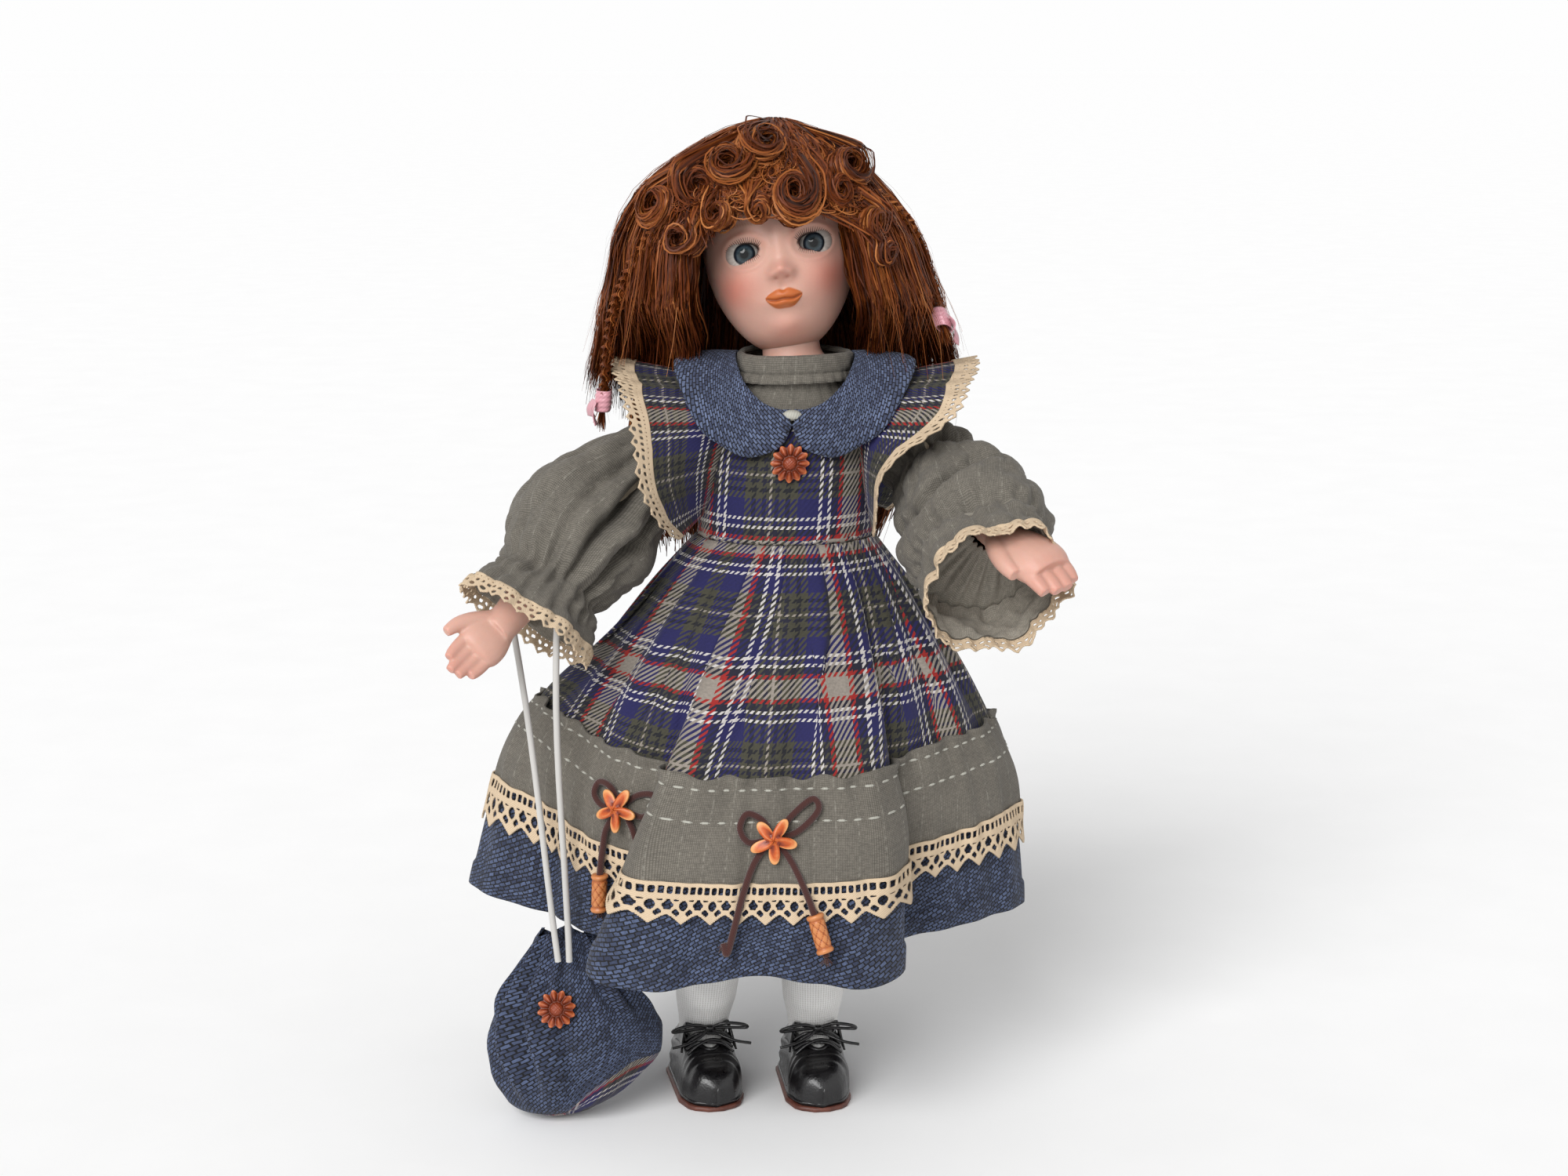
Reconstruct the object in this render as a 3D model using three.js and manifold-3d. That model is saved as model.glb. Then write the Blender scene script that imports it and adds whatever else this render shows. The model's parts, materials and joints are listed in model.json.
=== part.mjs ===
// A bisque doll in a plaid pinafore, made as the separate pieces that such a doll is sewn, tied and dressed from.
// Millimetres, +Z up. It stands on the floor at z = 0 and faces -Y, so its own right is at -X.
import * as THREE from "three";
import { mergeVertices } from "three/addons/utils/BufferGeometryUtils.js";
import Module from "manifold-3d";

const wasm = await Module();
wasm.setup();

// Fits and walls
const GAP = 0.4; // space between neighbouring pieces
const JOINT_GAP = 0.8; // space where one piece turns against another
const SLIVER = 0.03; // detail finer than this is merged after a cut
const KNOT_SLIVER = 0.2; // the same, where cords run into a knot
const CLOTH = 1; // wall of a cloth piece
const KNIT = 0.8; // wall of a stocking
const PORCELAIN = 3; // wall of the hollow head
const LEAN = 0.055; // sideways lean of the standing figure, per unit of height
const DEPTH_SHIFT = 12.8; // moves the figure along Y so that the origin is under the middle of its box

// Legs and shoes
const HIP_Z = 178;
const HIP_X = 16; // half of the space between the hip joints
const ANKLE_X = 23; // half of the space between the ankles
const ANKLE_Z = 22;
const THIGH_R = 13.5;
const KNEE_Z = 104; // where the cloth thigh ends and the bisque leg starts
const KNEE_R = 12.6;
const CALF_R = 12.4;
const CALF_Z = 78;
const SHIN_R = 10.8;
const SHIN_Z = 48;
const ANKLE_R = 9;
const STOCKING_TOP_Z = 98;
const FOOT_HALF_W = 8.6;
const FOOT_HALF_L = 21;
const FOOT_HALF_H = 7;
const FOOT_AHEAD = 11; // from the ankle's line to the middle of the foot
const SOLE = 2.2; // thickness of a sole
const SOLE_RIM = 1; // how far the sole stands out past the upper
const INSOLE = 1.4; // leather under the foot
const UPPER = 1.6; // wall of the shoe's upper beside the ankle
const SHOE_TOP_Z = 27;
const TOE_LENGTH = 6; // upper in front of the foot
const TOE_TURN_RIGHT = 11; // degrees that the right shoe is turned
const TOE_TURN_LEFT = 7; // degrees that the left shoe is turned
const LACE_R = 0.8; // half thickness of a shoelace
const LACE_LOOP = 8; // length of a shoelace's loop

// Torso
const SEAT_HALF_W = 29;
const SEAT_HALF_D = 18;
const HIP_HALF_W = 33;
const HIP_HALF_D = 24;
const HIP_LINE_Z = 206;
const WAIST_Z = 233;
const WAIST_HALF_W = 31.5;
const WAIST_HALF_D = 24.5;
const CHEST_Z = 262;
const CHEST_HALF_W = 31.5;
const CHEST_HALF_D = 25;
const SHOULDER_Z = 273; // height of the shoulder joints
const SHOULDER_HALF_W = 30.5;
const SHOULDER_HALF_D = 23;
const SLOPE_Z = 288; // where the shoulders slope in to the neck
const SLOPE_HALF_W = 25;
const SLOPE_HALF_D = 19.5;
const NECK_STUB_R = 18.3; // cloth neck around the head's round neck end
const NECK_STUB_TOP_Z = 303.5;
const NECK_STUB_LOW_Z = 294;
const NECK_BALL_R = 14.6;
const NECK_PIVOT_Z = 297;
const NECK_R = 11.4;
const TIE_R = 0.9; // half thickness of the neck tie

// Head, measured up from the neck pivot before the head is tilted
const HEAD_ROLL = -9.5; // degrees to the doll's right
const HEAD_NOD = -7; // degrees up
const HEAD_YAW = 6; // degrees to the doll's left
const SKULL_Z = 54; // height of the skull's middle
const SKULL_HALF_W = 30.5;
const SKULL_FRONT = 33;
const SKULL_BACK = 35;
const SKULL_UP = 34;
const CHIN_DOWN = 45; // from the skull's middle to under the chin
const JAW_NARROW = 0.24; // share of the width that the jaw loses
const EYE_Z = 50;
const EYE_X = 13.3;
const EYE_R = 8; // glass eye
const EYE_INSET = 7; // from the face's surface to the eye's middle
const EYE_OPEN_HALF_W = 7;
const EYE_OPEN_HALF_H = 4.3;
const NOSE_OUT = 6;
const LIPS_OUT = 2.4;
const CHIN_OUT = 2.6;
const CHEEK_OUT = 2.4;
const CROWN_CUT_Z = 74; // height of the open crown's rim

// Hair
const CAP = 1.2; // wall of the wig's net cap
const CAP_ROOM = 1; // space under the net cap
const HAIR_OVER = 12; // hair above the skull's top
const HAIR_TOP_Z = NECK_PIVOT_Z + SKULL_Z + SKULL_UP + HAIR_OVER;
const HAIR_FALL = 86; // from the hair's top to where the side hair ends above the shoulders
const HAIR_LOW_Z = HAIR_TOP_Z - HAIR_FALL;
const HAIR_CENTRE_Y = 8;
const HAIR_HALF_LOW = 68;
const HAIR_DEPTH = 0.79; // depth of the hair as a share of its width
const FACE_HALF_W = 29; // half width of the face between the side hair
const FACE_TOP_Z = 68; // top of the face's window, over the neck pivot
// Rings of the hair from its low edge to its top, as shares of its fall and half width: drop, sideways place, half width
const HAIR_RINGS = [
  [1, -0.12, 1],
  [0.58, -0.22, 0.84],
  [0.3, -0.25, 0.735],
  [0.14, -0.265, 0.544],
  [0.047, -0.22, 0.353],
  [0, -0.162, 0.124],
];
// Middle of each rolled curl of the fringe, in the same shares: sideways place, drop
const CURLS = [
  [-0.68, 0.49],
  [-0.6, 0.23],
  [-0.43, 0.4],
  [-0.37, 0.2],
  [-0.18, 0.34],
  [-0.04, 0.27],
  [0.25, 0.35],
  [0.37, 0.55],
];
// Course of each braid: degrees around from the doll's left, drop as a share of the hair's fall
const BRAIDS = {
  left: [[30, 0.3], [14, 0.43], [4, 0.59], [6, 0.8], [14, 0.92]],
  right: [[138, 0.48], [150, 0.66], [156, 0.85], [160, 1.06], [162, 1.29]],
};
const CURL_R = 8; // radius of a rolled curl
const CURL_THICK = 2.9; // half thickness of a rolled curl
const BRAID_R = 2.4;
const RIBBON_WIDE = 8;
const RIBBON = 0.9; // wall of a ribbon
const BACK_HAIR_LOW_Z = 222;
const BACK_HAIR_HALF_W = 56;
const BACK_HAIR = 9; // thickness of the back hair
const BACK_HAIR_X = -8; // sideways hang of the back hair
const BACK_HAIR_Y = 52; // how far behind the neck its low end hangs
const BACK_HAIR_CURVE = 9; // how far its sides come forward
const THROAT_ROOM = 3; // space between the neckband and the hair
const THROAT_FLARE = 6;
const CUTTER = 400; // a block larger than the head, to cut with

// Arms
const ARM_R = 9.4; // cloth upper arm
const ELBOW_R = 8.6;
const WRIST_R = 6.4;
const PALM_HALF_W = 9.6;
const PALM_HALF_T = 4.9;
const THUMB_R = 3;
// Elbow, wrist and finger tips from the shoulder joint, for the right arm and the left arm
const RIGHT_REACH = [
  [-35, -22, -30],
  [-65, -64, -62],
  [-83, -82, -79],
];
const LEFT_REACH = [
  [29, -18, -21],
  [40, -62, -29],
  [55, -97, -39],
];

// Blouse
const BAND_R = 22.6; // neckband's outer radius
const BAND_LOW_Z = 297;
const BAND_TOP_Z = 307;
const SLEEVE_TOP_R = 13;
const SLEEVE_FOLDS = 5;
const SLEEVE_FOLD = 1.3; // height of a sleeve's folds
const LACE = 1; // wall of a lace
const CUFF_LACE_LONG = 5;
// Right sleeve, from the shoulder joint: the middle of each ring, then its half sizes
const RIGHT_SLEEVE = [
  [-16, -5, -12, 20, 20],
  [-38, -23, -33, 32, 27],
  [-50, -42, -51, 25, 22],
  [-57, -53, -62, 28, 25],
];
const LEFT_SLEEVE = [
  [16, -6, -12, 20, 20],
  [31, -30, -29, 31, 31],
  [36, -55, -40, 29, 29],
  [39, -71, -46, 27, 27],
];

// Pinafore
const COLLAR = 1.6; // thickness of the collar
const COLLAR_OVER = 13; // how far the collar reaches past the bodice's shoulder
const COLLAR_SHOULDER_Z = 303;
const COLLAR_SEAM_Z = 296; // height of its seam at the front
const COLLAR_DROP = 25; // how far the collar falls at the front
const COLLAR_OPEN = 11; // how much lower its seam runs at the front, below the neckband
const COLLAR_AWAY = 1.6; // how far that low seam stands off the neck
const NECKLINE_R = 15; // radius of the scoop at the front of the bodice's neckline
const NECKLINE_Z = 298; // height of the scoop's middle
const ARMHOLE_R = 11;
const RUFFLE_WIDE = 40;
const RUFFLE_RISE = 22; // how far the ruffle's seam runs above the shoulder joint
const RUFFLE_DROP = 38; // how far its ends run below the shoulder joint
const RUFFLE_AHEAD = 34; // how far its low front stands out over the sleeve
const RUFFLE_HALF_D = 17; // half depth of the ruffle's seam
const RUFFLE_FLARE = 6; // how far the ruffle's edge lifts
const RUFFLE_SPREAD = 15; // how far it stands to the front and the back
const RUFFLE_TURN = 148; // degrees that it runs down each side of the shoulder
const RUFFLE_LACE_WIDE = 7;
const HEM_Z = 79;
const HEM_R = 103; // mean radius of the hem
const HEM_DEPTH = 0.9; // depth of the hem as a share of its width
const HEM_SHIFT = -6.5; // sideways hang of the hem
const SKIRT_SPREAD = 1.9; // how early the skirt spreads below the waist
const FOLDS = 5; // main folds around the hem
const FOLD = 14; // height of the folds at the hem
const FOLD_SKEW = 9; // degrees that the front valleys move outward
const BAND_TOP = 152; // top of the grey band
const BAND_LOW = 116;
const BAND_LAP = 4; // how far the band laps over the skirt
const HEM_LACE_LOW = 101;
const BUTTON_R = 7.5;
const BUTTON = 2.6; // thickness of a flower button
const PETALS = 12;
const STAR_R = 9;
const STAR = 2.4;
const BOW_R = 1.4; // half thickness of a bow's cord
const BOW_LOOP = 15; // length of a bow's loop
const BOW_TAIL = 40; // how far a bow's tail hangs
const BEAD_R = 2.9;
const BEAD_LONG = 15;
const BOW_Z = 134;
const FRONT_BOW_TURN = 3; // degrees around the hem from the middle of the front
const SIDE_BOW_TURN = -40;
const FRONT_BOW_FAR = 1.25; // how far aside the beaded tail hangs: more than 0 is the doll's left
const SIDE_BOW_FAR = -0.6;
const PLAIN_TAIL_FAR = 0.7; // how far the other tail hangs to its own side

// Bag
const BAG_X = -75; // middle of the bag
const BAG_LOW_Z = 3;
const BAG_NECK_Z = 61;
const BAG_HIGH_Z = 70;
const BAG_BELLY_Z = 34;
const BAG_HALF_W = 33;
const BAG_HALF_D = 16;
const BAG_FOOT_HALF_W = 22;
const BAG_NECK_HALF_W = 10;
const BAG_FRILL_HALF_W = 15;
const BAG_BASE_Z = 21; // top of the plaid base
const BAG_CORD_R = 1.3;
const LOOP_SLACK = 3.6; // the cord loop's room on the forearm, so that it can swing
const CORD_ALONG = 0.25; // where the cord hangs on the forearm, from wrist to elbow

// Colours
const BISQUE = "#e8c2ab";
const MUSLIN = "#d9cbb4";
const GLASS = "#7f93a3";
const HAIR = "#7a3d20";
const PINK = "#d99aa0";
const LINEN = "#8f9287";
const CREAM = "#d8cdb9";
const PLAID = "#3b3f6e";
const DENIM = "#55668a";
const RUST = "#b8562a";
const SUEDE = "#6b4630";
const KNITTED = "#ece9e4";
const LEATHER = "#1c1a1c";
const SOLE_BROWN = "#6d3b2c";
const SATIN = "#eeeae4";

const TURN = 2 * Math.PI;
const AHEAD = new THREE.Vector3(0, -1, 0);
const UP = new THREE.Vector3(0, 0, 1);
const vec = (x, y, z) => new THREE.Vector3(x, y, z);
const radians = THREE.MathUtils.degToRad;
const mix = THREE.MathUtils.lerp;

// Solids and surfaces

function solid(geometry) {
  const bare = geometry.clone();
  bare.deleteAttribute("normal");
  bare.deleteAttribute("uv");
  const merged = mergeVertices(bare, 1e-3);
  const mesh = new wasm.Mesh({
    numProp: 3,
    vertProperties: merged.attributes.position.array,
    triVerts: new Uint32Array(merged.index.array),
  });
  return new wasm.Manifold(mesh);
}

function surface(manifold, finest = SLIVER) {
  const mesh = manifold.simplify(finest).getMesh();
  const geometry = new THREE.BufferGeometry();
  geometry.setAttribute("position", new THREE.BufferAttribute(mesh.vertProperties, 3));
  geometry.setIndex(new THREE.BufferAttribute(mesh.triVerts, 1));
  return geometry;
}

const join = (...parts) => surface(parts.map(solid).reduce((a, b) => a.add(b)));
const cut = (whole, ...tools) => surface(tools.map(solid).reduce((a, b) => a.subtract(b), solid(whole)));

// Closes a run of rings into a skin that faces out, with a cap at each end
function skin(rings) {
  const sides = rings[0].length;
  const points = rings.flat();
  const index = [];
  for (let r = 0; r < rings.length - 1; r++) {
    const a = r * sides;
    const b = a + sides;
    for (let i = 0; i < sides; i++) {
      const j = (i + 1) % sides;
      index.push(a + i, a + j, b + j, a + i, b + j, b + i);
    }
  }
  cap(points, index, rings[0], 0, true);
  cap(points, index, rings.at(-1), (rings.length - 1) * sides, false);
  const geometry = new THREE.BufferGeometry().setFromPoints(points);
  geometry.setIndex(facingOut(points, index));
  return geometry;
}

function cap(points, index, ring, start, reversed) {
  const middle = ring.reduce((sum, p) => sum.add(p), vec(0, 0, 0)).divideScalar(ring.length);
  const centre = points.push(middle) - 1;
  ring.forEach((_, i) => {
    const j = (i + 1) % ring.length;
    index.push(centre, start + (reversed ? j : i), start + (reversed ? i : j));
  });
}

function facingOut(points, index) {
  let volume = 0;
  const cross = vec(0, 0, 0);
  for (let i = 0; i < index.length; i += 3) {
    cross.crossVectors(points[index[i + 1]], points[index[i + 2]]);
    volume += points[index[i]].dot(cross);
  }
  return volume > 0 ? index : index.toReversed();
}

// A closed wall between an outer and an inner run of rings. Both sides share their diagonals, so layers stay apart.
function wall(outer, inner) {
  const sides = outer[0].length;
  const points = [...outer.flat(), ...inner.flat()];
  const across = outer.length * sides;
  const last = (outer.length - 1) * sides;
  const index = [];
  for (let i = 0; i < sides; i++) {
    const j = (i + 1) % sides;
    for (let a = 0; a < last; a += sides) {
      const b = a + sides;
      index.push(a + i, a + j, b + j, a + i, b + j, b + i);
      const c = across + a;
      const d = across + b;
      index.push(c + i, d + j, c + j, c + i, d + i, d + j);
    }
    index.push(j, i, across + i, j, across + i, across + j);
    const end = across + last;
    index.push(last + i, last + j, end + j, last + i, end + j, end + i);
  }
  const geometry = new THREE.BufferGeometry().setFromPoints(points);
  geometry.setIndex(facingOut(points, index));
  return geometry;
}

// A closed strip of cloth. Each row has the points under it and the points over it, which share their diagonals.
function strip(rows) {
  const wide = rows[0][0].length;
  const points = [0, 1].flatMap((layer) => rows.flatMap((row) => row[layer]));
  const over = rows.length * wide;
  const last = over - wide;
  const index = [];
  const quad = (a, b, c, d) => index.push(a, b, c, a, c, d);
  for (let a = 0; a < last; a += wide) {
    for (let i = a; i < a + wide - 1; i++) {
      quad(i, i + 1, i + wide + 1, i + wide);
      index.push(over + i, over + i + wide + 1, over + i + 1);
      index.push(over + i, over + i + wide, over + i + wide + 1);
    }
    const b = a + wide - 1;
    quad(a, a + wide, over + a + wide, over + a);
    quad(b + wide, b, over + b, over + b + wide);
  }
  for (let i = 0; i < wide - 1; i++) {
    quad(i + 1, i, over + i, over + i + 1);
    quad(last + i, last + i + 1, over + last + i + 1, over + last + i);
  }
  const geometry = new THREE.BufferGeometry().setFromPoints(points);
  geometry.setIndex(facingOut(points, index));
  return geometry;
}

const ring = (sides, place) => Array.from({ length: sides }, (_, i) => place((TURN * i) / sides));
const steps = (count, from, to) => Array.from({ length: count + 1 }, (_, i) => mix(from, to, i / count));

// The value of a table of rows, whose first column rises, at any height
function rowAt(rows, z) {
  let i = 0;
  while (i < rows.length - 2 && z > rows[i + 1][0]) i++;
  const share = THREE.MathUtils.clamp((z - rows[i][0]) / (rows[i + 1][0] - rows[i][0]), 0, 1);
  return rows[i].slice(1).map((value, k) => mix(value, rows[i + 1][k + 1], share));
}

function tube(points, radius, sides, count, closed = false) {
  const path = new THREE.CatmullRomCurve3(points, closed);
  const shape = new THREE.Shape(ring(sides, (a) => new THREE.Vector2(radius * Math.cos(a), radius * Math.sin(a))));
  return new THREE.ExtrudeGeometry(shape, { steps: count, extrudePath: path });
}

function ball(radius, wide, tall, x, y, z) {
  return new THREE.SphereGeometry(radius, wide, tall).rotateX(Math.PI / 2).translate(x, y, z);
}

function ellipsoid(a, b, c, wide, tall) {
  return new THREE.SphereGeometry(1, wide, tall).rotateX(Math.PI / 2).scale(a, b, c);
}

// Rings of given half sizes along a line of points. Each lies across the line, with its second axis nearest to hint.
function ringsAlong(rows, hint, sides, wave = () => 0) {
  return rows.map(({ at, a, b, across }, i) => {
    const before = rows[Math.max(0, i - 1)].at;
    const after = rows[Math.min(rows.length - 1, i + 1)].at;
    const along = across ?? after.clone().sub(before).normalize();
    const second = hint.clone().addScaledVector(along, -hint.dot(along)).normalize();
    const first = vec(0, 0, 0).crossVectors(second, along);
    return ring(sides, (angle) => {
      const swell = wave(angle, i);
      const p = at.clone().addScaledVector(first, (a + swell) * Math.cos(angle));
      return p.addScaledVector(second, (b + swell) * Math.sin(angle));
    });
  });
}

const figure = new THREE.Group();
figure.name = "figure";
const hung = new THREE.Group();
hung.name = "hung_bag";

function add(group, name, geometry, color, roughness = 0.9) {
  const material = new THREE.MeshStandardMaterial({ color, roughness, metalness: 0 });
  const mesh = new THREE.Mesh(geometry, material);
  mesh.name = name;
  group.add(mesh);
}

// Torso and the layers over it
const TORSO_LOW_Z = HIP_Z + THIGH_R + GAP / 4;
const TRUNK = [
  [TORSO_LOW_Z, SEAT_HALF_W, SEAT_HALF_D],
  [HIP_LINE_Z, HIP_HALF_W, HIP_HALF_D],
  [WAIST_Z, WAIST_HALF_W, WAIST_HALF_D],
  [CHEST_Z, CHEST_HALF_W, CHEST_HALF_D],
  [SHOULDER_Z, SHOULDER_HALF_W, SHOULDER_HALF_D],
  [SLOPE_Z, SLOPE_HALF_W, SLOPE_HALF_D],
  [NECK_STUB_LOW_Z, NECK_STUB_R, NECK_STUB_R],
  [NECK_STUB_TOP_Z, NECK_STUB_R, NECK_STUB_R],
];
const TRUNK_SIDES = 20;

function trunkRing(z, extra) {
  const [a, b] = rowAt(TRUNK, z);
  return ring(TRUNK_SIDES, (t) => vec((a + extra) * Math.sin(t), -(b + extra) * Math.cos(t), z));
}

const trunkRings = (heights, extra) => heights.map((z) => trunkRing(z, extra));
const BLOUSE_IN = GAP;
const BLOUSE_OUT = BLOUSE_IN + CLOTH;
const BODICE_IN = BLOUSE_OUT + GAP;
const BODICE_OUT = BODICE_IN + CLOTH;
const SHOULDER_X = SHOULDER_HALF_W + JOINT_GAP + ARM_R;
const BODICE_TOP_Z = SLOPE_Z + 3;

function torso() {
  const body = skin(trunkRings(TRUNK.map((row) => row[0]), 0));
  const socket = ball(NECK_BALL_R + JOINT_GAP, 16, 10, 0, 0, NECK_PIVOT_Z);
  return cut(body, socket);
}

function armholes(layer) {
  const bore = new THREE.CylinderGeometry(ARMHOLE_R, ARMHOLE_R, 4 * SHOULDER_X, 12);
  return cut(layer, bore.rotateZ(Math.PI / 2).translate(0, 0, SHOULDER_Z));
}

// The bodice's neckline is scooped at the front, so the blouse shows above the collar
function neckline(layer) {
  const bore = new THREE.CylinderGeometry(NECKLINE_R, NECKLINE_R, 2 * CHEST_HALF_D, 16);
  return cut(layer, bore.translate(0, -CHEST_HALF_D - 2, NECKLINE_Z));
}

function garment(low, high, inside, outside) {
  const inner = TRUNK.map((row) => row[0]).filter((z) => z > low + GAP && z < high - GAP);
  const heights = [low, ...inner, high];
  return wall(trunkRings(heights, outside), trunkRings(heights, inside));
}

function neckTie() {
  const middle = NECK_STUB_R + GAP + TIE_R;
  const z = (BAND_TOP_Z + NECK_STUB_TOP_Z) / 2 - 4 * TIE_R;
  return new THREE.TorusGeometry(middle, TIE_R, 5, 18).translate(0, 0, z);
}

function neckband() {
  const place = (radius, z) => ring(TRUNK_SIDES, (t) => vec(radius * Math.sin(t), -radius * Math.cos(t), z));
  const heights = [BAND_LOW_Z, BAND_TOP_Z];
  return wall(
    heights.map((z) => place(BAND_R, z)),
    heights.map((z) => place(BAND_R - CLOTH, z)),
  );
}

// Head
const SKULL_WIDE = 28;
const SKULL_TALL = 22;
const bump = (x, z, cx, cz, sx, sz) => Math.exp(-(((x - cx) / sx) ** 2) - ((z - cz) / sz) ** 2);

// How far the face stands out, forward, at a place measured from the head's own middle line
function features(x, z) {
  const side = Math.abs(x);
  let out = NOSE_OUT * bump(x, z, 0, EYE_Z - 9.5, 3.6, 3.6);
  out += 0.35 * NOSE_OUT * bump(x, z, 0, EYE_Z - 2, 3.4, 8);
  out += 0.3 * NOSE_OUT * bump(side, z, 3.8, EYE_Z - 11, 2.2, 2.2);
  out += LIPS_OUT * bump(x, z, 0, EYE_Z - 20.3, 6.5, 3.2);
  out += CHIN_OUT * bump(x, z, 0, EYE_Z - 31, 7, 5);
  out += CHEEK_OUT * bump(side, z, 17, EYE_Z - 14, 9, 9);
  out -= 2.4 * bump(side, z, EYE_X, EYE_Z, 7.5, 4.6);
  return out;
}

// A point of the skull's surface in the head's own frame, pushed out by extra
function skullPoint(around, up, extra) {
  const flat = Math.cos(up);
  const rise = Math.sin(up);
  const z = SKULL_Z + rise * ((rise > 0 ? SKULL_UP : CHIN_DOWN) + extra);
  const jaw = rise < 0 ? 1 - JAW_NARROW * rise * rise : 1;
  const x = Math.sin(around) * flat * (SKULL_HALF_W + extra) * jaw;
  const ahead = Math.cos(around);
  const reach = (ahead > 0 ? SKULL_FRONT : SKULL_BACK) + extra;
  const front = THREE.MathUtils.smoothstep(ahead * flat, 0, 0.5);
  return vec(x, -ahead * flat * reach - front * features(x, z), z);
}

function skull(extra, wide, tall) {
  const levels = steps(tall, -Math.PI / 2, Math.PI / 2).slice(1, -1);
  return skin(levels.map((up) => ring(wide, (around) => skullPoint(around, up, extra))));
}

const faceY = (x, z) => {
  const rise = (z - SKULL_Z) / CHIN_DOWN;
  const jaw = 1 - JAW_NARROW * rise * rise;
  const flat = Math.sqrt(1 - rise * rise);
  const share = Math.sqrt(1 - (x / (SKULL_HALF_W * jaw * flat)) ** 2);
  return -share * flat * SKULL_FRONT - features(x, z);
};
const EYE_Y = faceY(EYE_X, EYE_Z) + EYE_INSET;

function eyePlace(side) {
  return vec(side * EYE_X, EYE_Y, EYE_Z);
}

function crownCutter(z) {
  return new THREE.BoxGeometry(CUTTER, CUTTER, CUTTER).translate(0, 0, z + CUTTER / 2);
}

function head() {
  const neck = new THREE.CylinderGeometry(NECK_R, NECK_R, SKULL_Z - 20, 16).rotateX(Math.PI / 2);
  neck.translate(0, 0, (SKULL_Z - 20) / 2);
  const whole = join(skull(0, SKULL_WIDE, SKULL_TALL), neck, ball(NECK_BALL_R, 16, 10, 0, 0, 0));
  const inside = ellipsoid(
    SKULL_HALF_W - PORCELAIN,
    SKULL_FRONT - PORCELAIN,
    SKULL_UP - PORCELAIN,
    12,
    8,
  ).translate(0, 0, SKULL_Z);
  const sockets = [-1, 1].flatMap((side) => {
    const at = eyePlace(side);
    const socket = ball(EYE_R + GAP, 12, 8, at.x, at.y, at.z);
    const slit = ellipsoid(EYE_OPEN_HALF_W, 3 * EYE_INSET, EYE_OPEN_HALF_H, 14, 6);
    return [socket, slit.translate(at.x, at.y - 2 * EYE_INSET, at.z)];
  });
  return cut(whole, inside, crownCutter(CROWN_CUT_Z), ...sockets);
}

function eye(side) {
  const at = eyePlace(side);
  return ball(EYE_R, 12, 8, at.x, at.y, at.z);
}

function pate() {
  const dome = skull(0, 16, 10);
  const below = new THREE.BoxGeometry(CUTTER, CUTTER, CUTTER).translate(0, 0, CROWN_CUT_Z + GAP - CUTTER / 2);
  const hollow = skull(-PORCELAIN, 16, 10);
  return cut(dome, below, hollow);
}

function wigCap() {
  const outer = skull(CAP_ROOM + CAP, 16, 10);
  const below = new THREE.BoxGeometry(CUTTER, CUTTER, CUTTER).translate(0, 0, FACE_TOP_Z - CUTTER / 2);
  return cut(outer, skull(CAP_ROOM, 16, 10), below);
}

const headGroup = new THREE.Group();
headGroup.name = "head_group";
headGroup.position.set(0, 0, NECK_PIVOT_Z);
headGroup.rotation.set(radians(HEAD_NOD), radians(HEAD_ROLL), radians(HEAD_YAW), "YXZ");
headGroup.updateMatrix();
const inHead = (geometry) => geometry.applyMatrix4(headGroup.matrix);

// Hair. Its rings are set by height, sideways place and half width.
const HAIR_ROWS = HAIR_RINGS.map(([drop, x, half]) => [
  HAIR_TOP_Z - drop * HAIR_FALL,
  x * HAIR_HALF_LOW,
  half * HAIR_HALF_LOW,
]);
const CROWN_X = HAIR_ROWS.at(-1)[1];

// A point of the hair's outside: angle 0 is the doll's left, a quarter turn is the front
function hairPoint(angle, z, extra) {
  const [x, half] = rowAt(HAIR_ROWS, z);
  const deep = half * HAIR_DEPTH + extra;
  return vec(x + (half + extra) * Math.cos(angle), HAIR_CENTRE_Y - deep * Math.sin(angle), z);
}

function hairDome(extra) {
  const heights = [
    ...steps(2, HAIR_LOW_Z - extra, HAIR_ROWS[1][0]),
    ...HAIR_ROWS.slice(2, -1).map((row) => row[0]),
    HAIR_TOP_Z + extra,
  ];
  return skin(heights.map((z) => ring(26, (angle) => hairPoint(angle, z, extra))));
}

function wig() {
  const under = inHead(skull(CAP_ROOM + CAP + GAP, 16, 10));
  const windowWide = 2 * FACE_HALF_W;
  const tall = FACE_TOP_Z + HAIR_FALL;
  const block = new THREE.BoxGeometry(windowWide, CUTTER, tall);
  const face = inHead(block.translate(0, -CUTTER / 2 - GAP, FACE_TOP_Z - tall / 2));
  const inner = BAND_R + THROAT_ROOM;
  const throat = new THREE.CylinderGeometry(inner, inner + THROAT_FLARE, SKULL_Z, 20).rotateX(Math.PI / 2);
  throat.translate(0, 0, BAND_TOP_Z);
  return cut(hairDome(0), under, face, throat);
}

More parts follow.
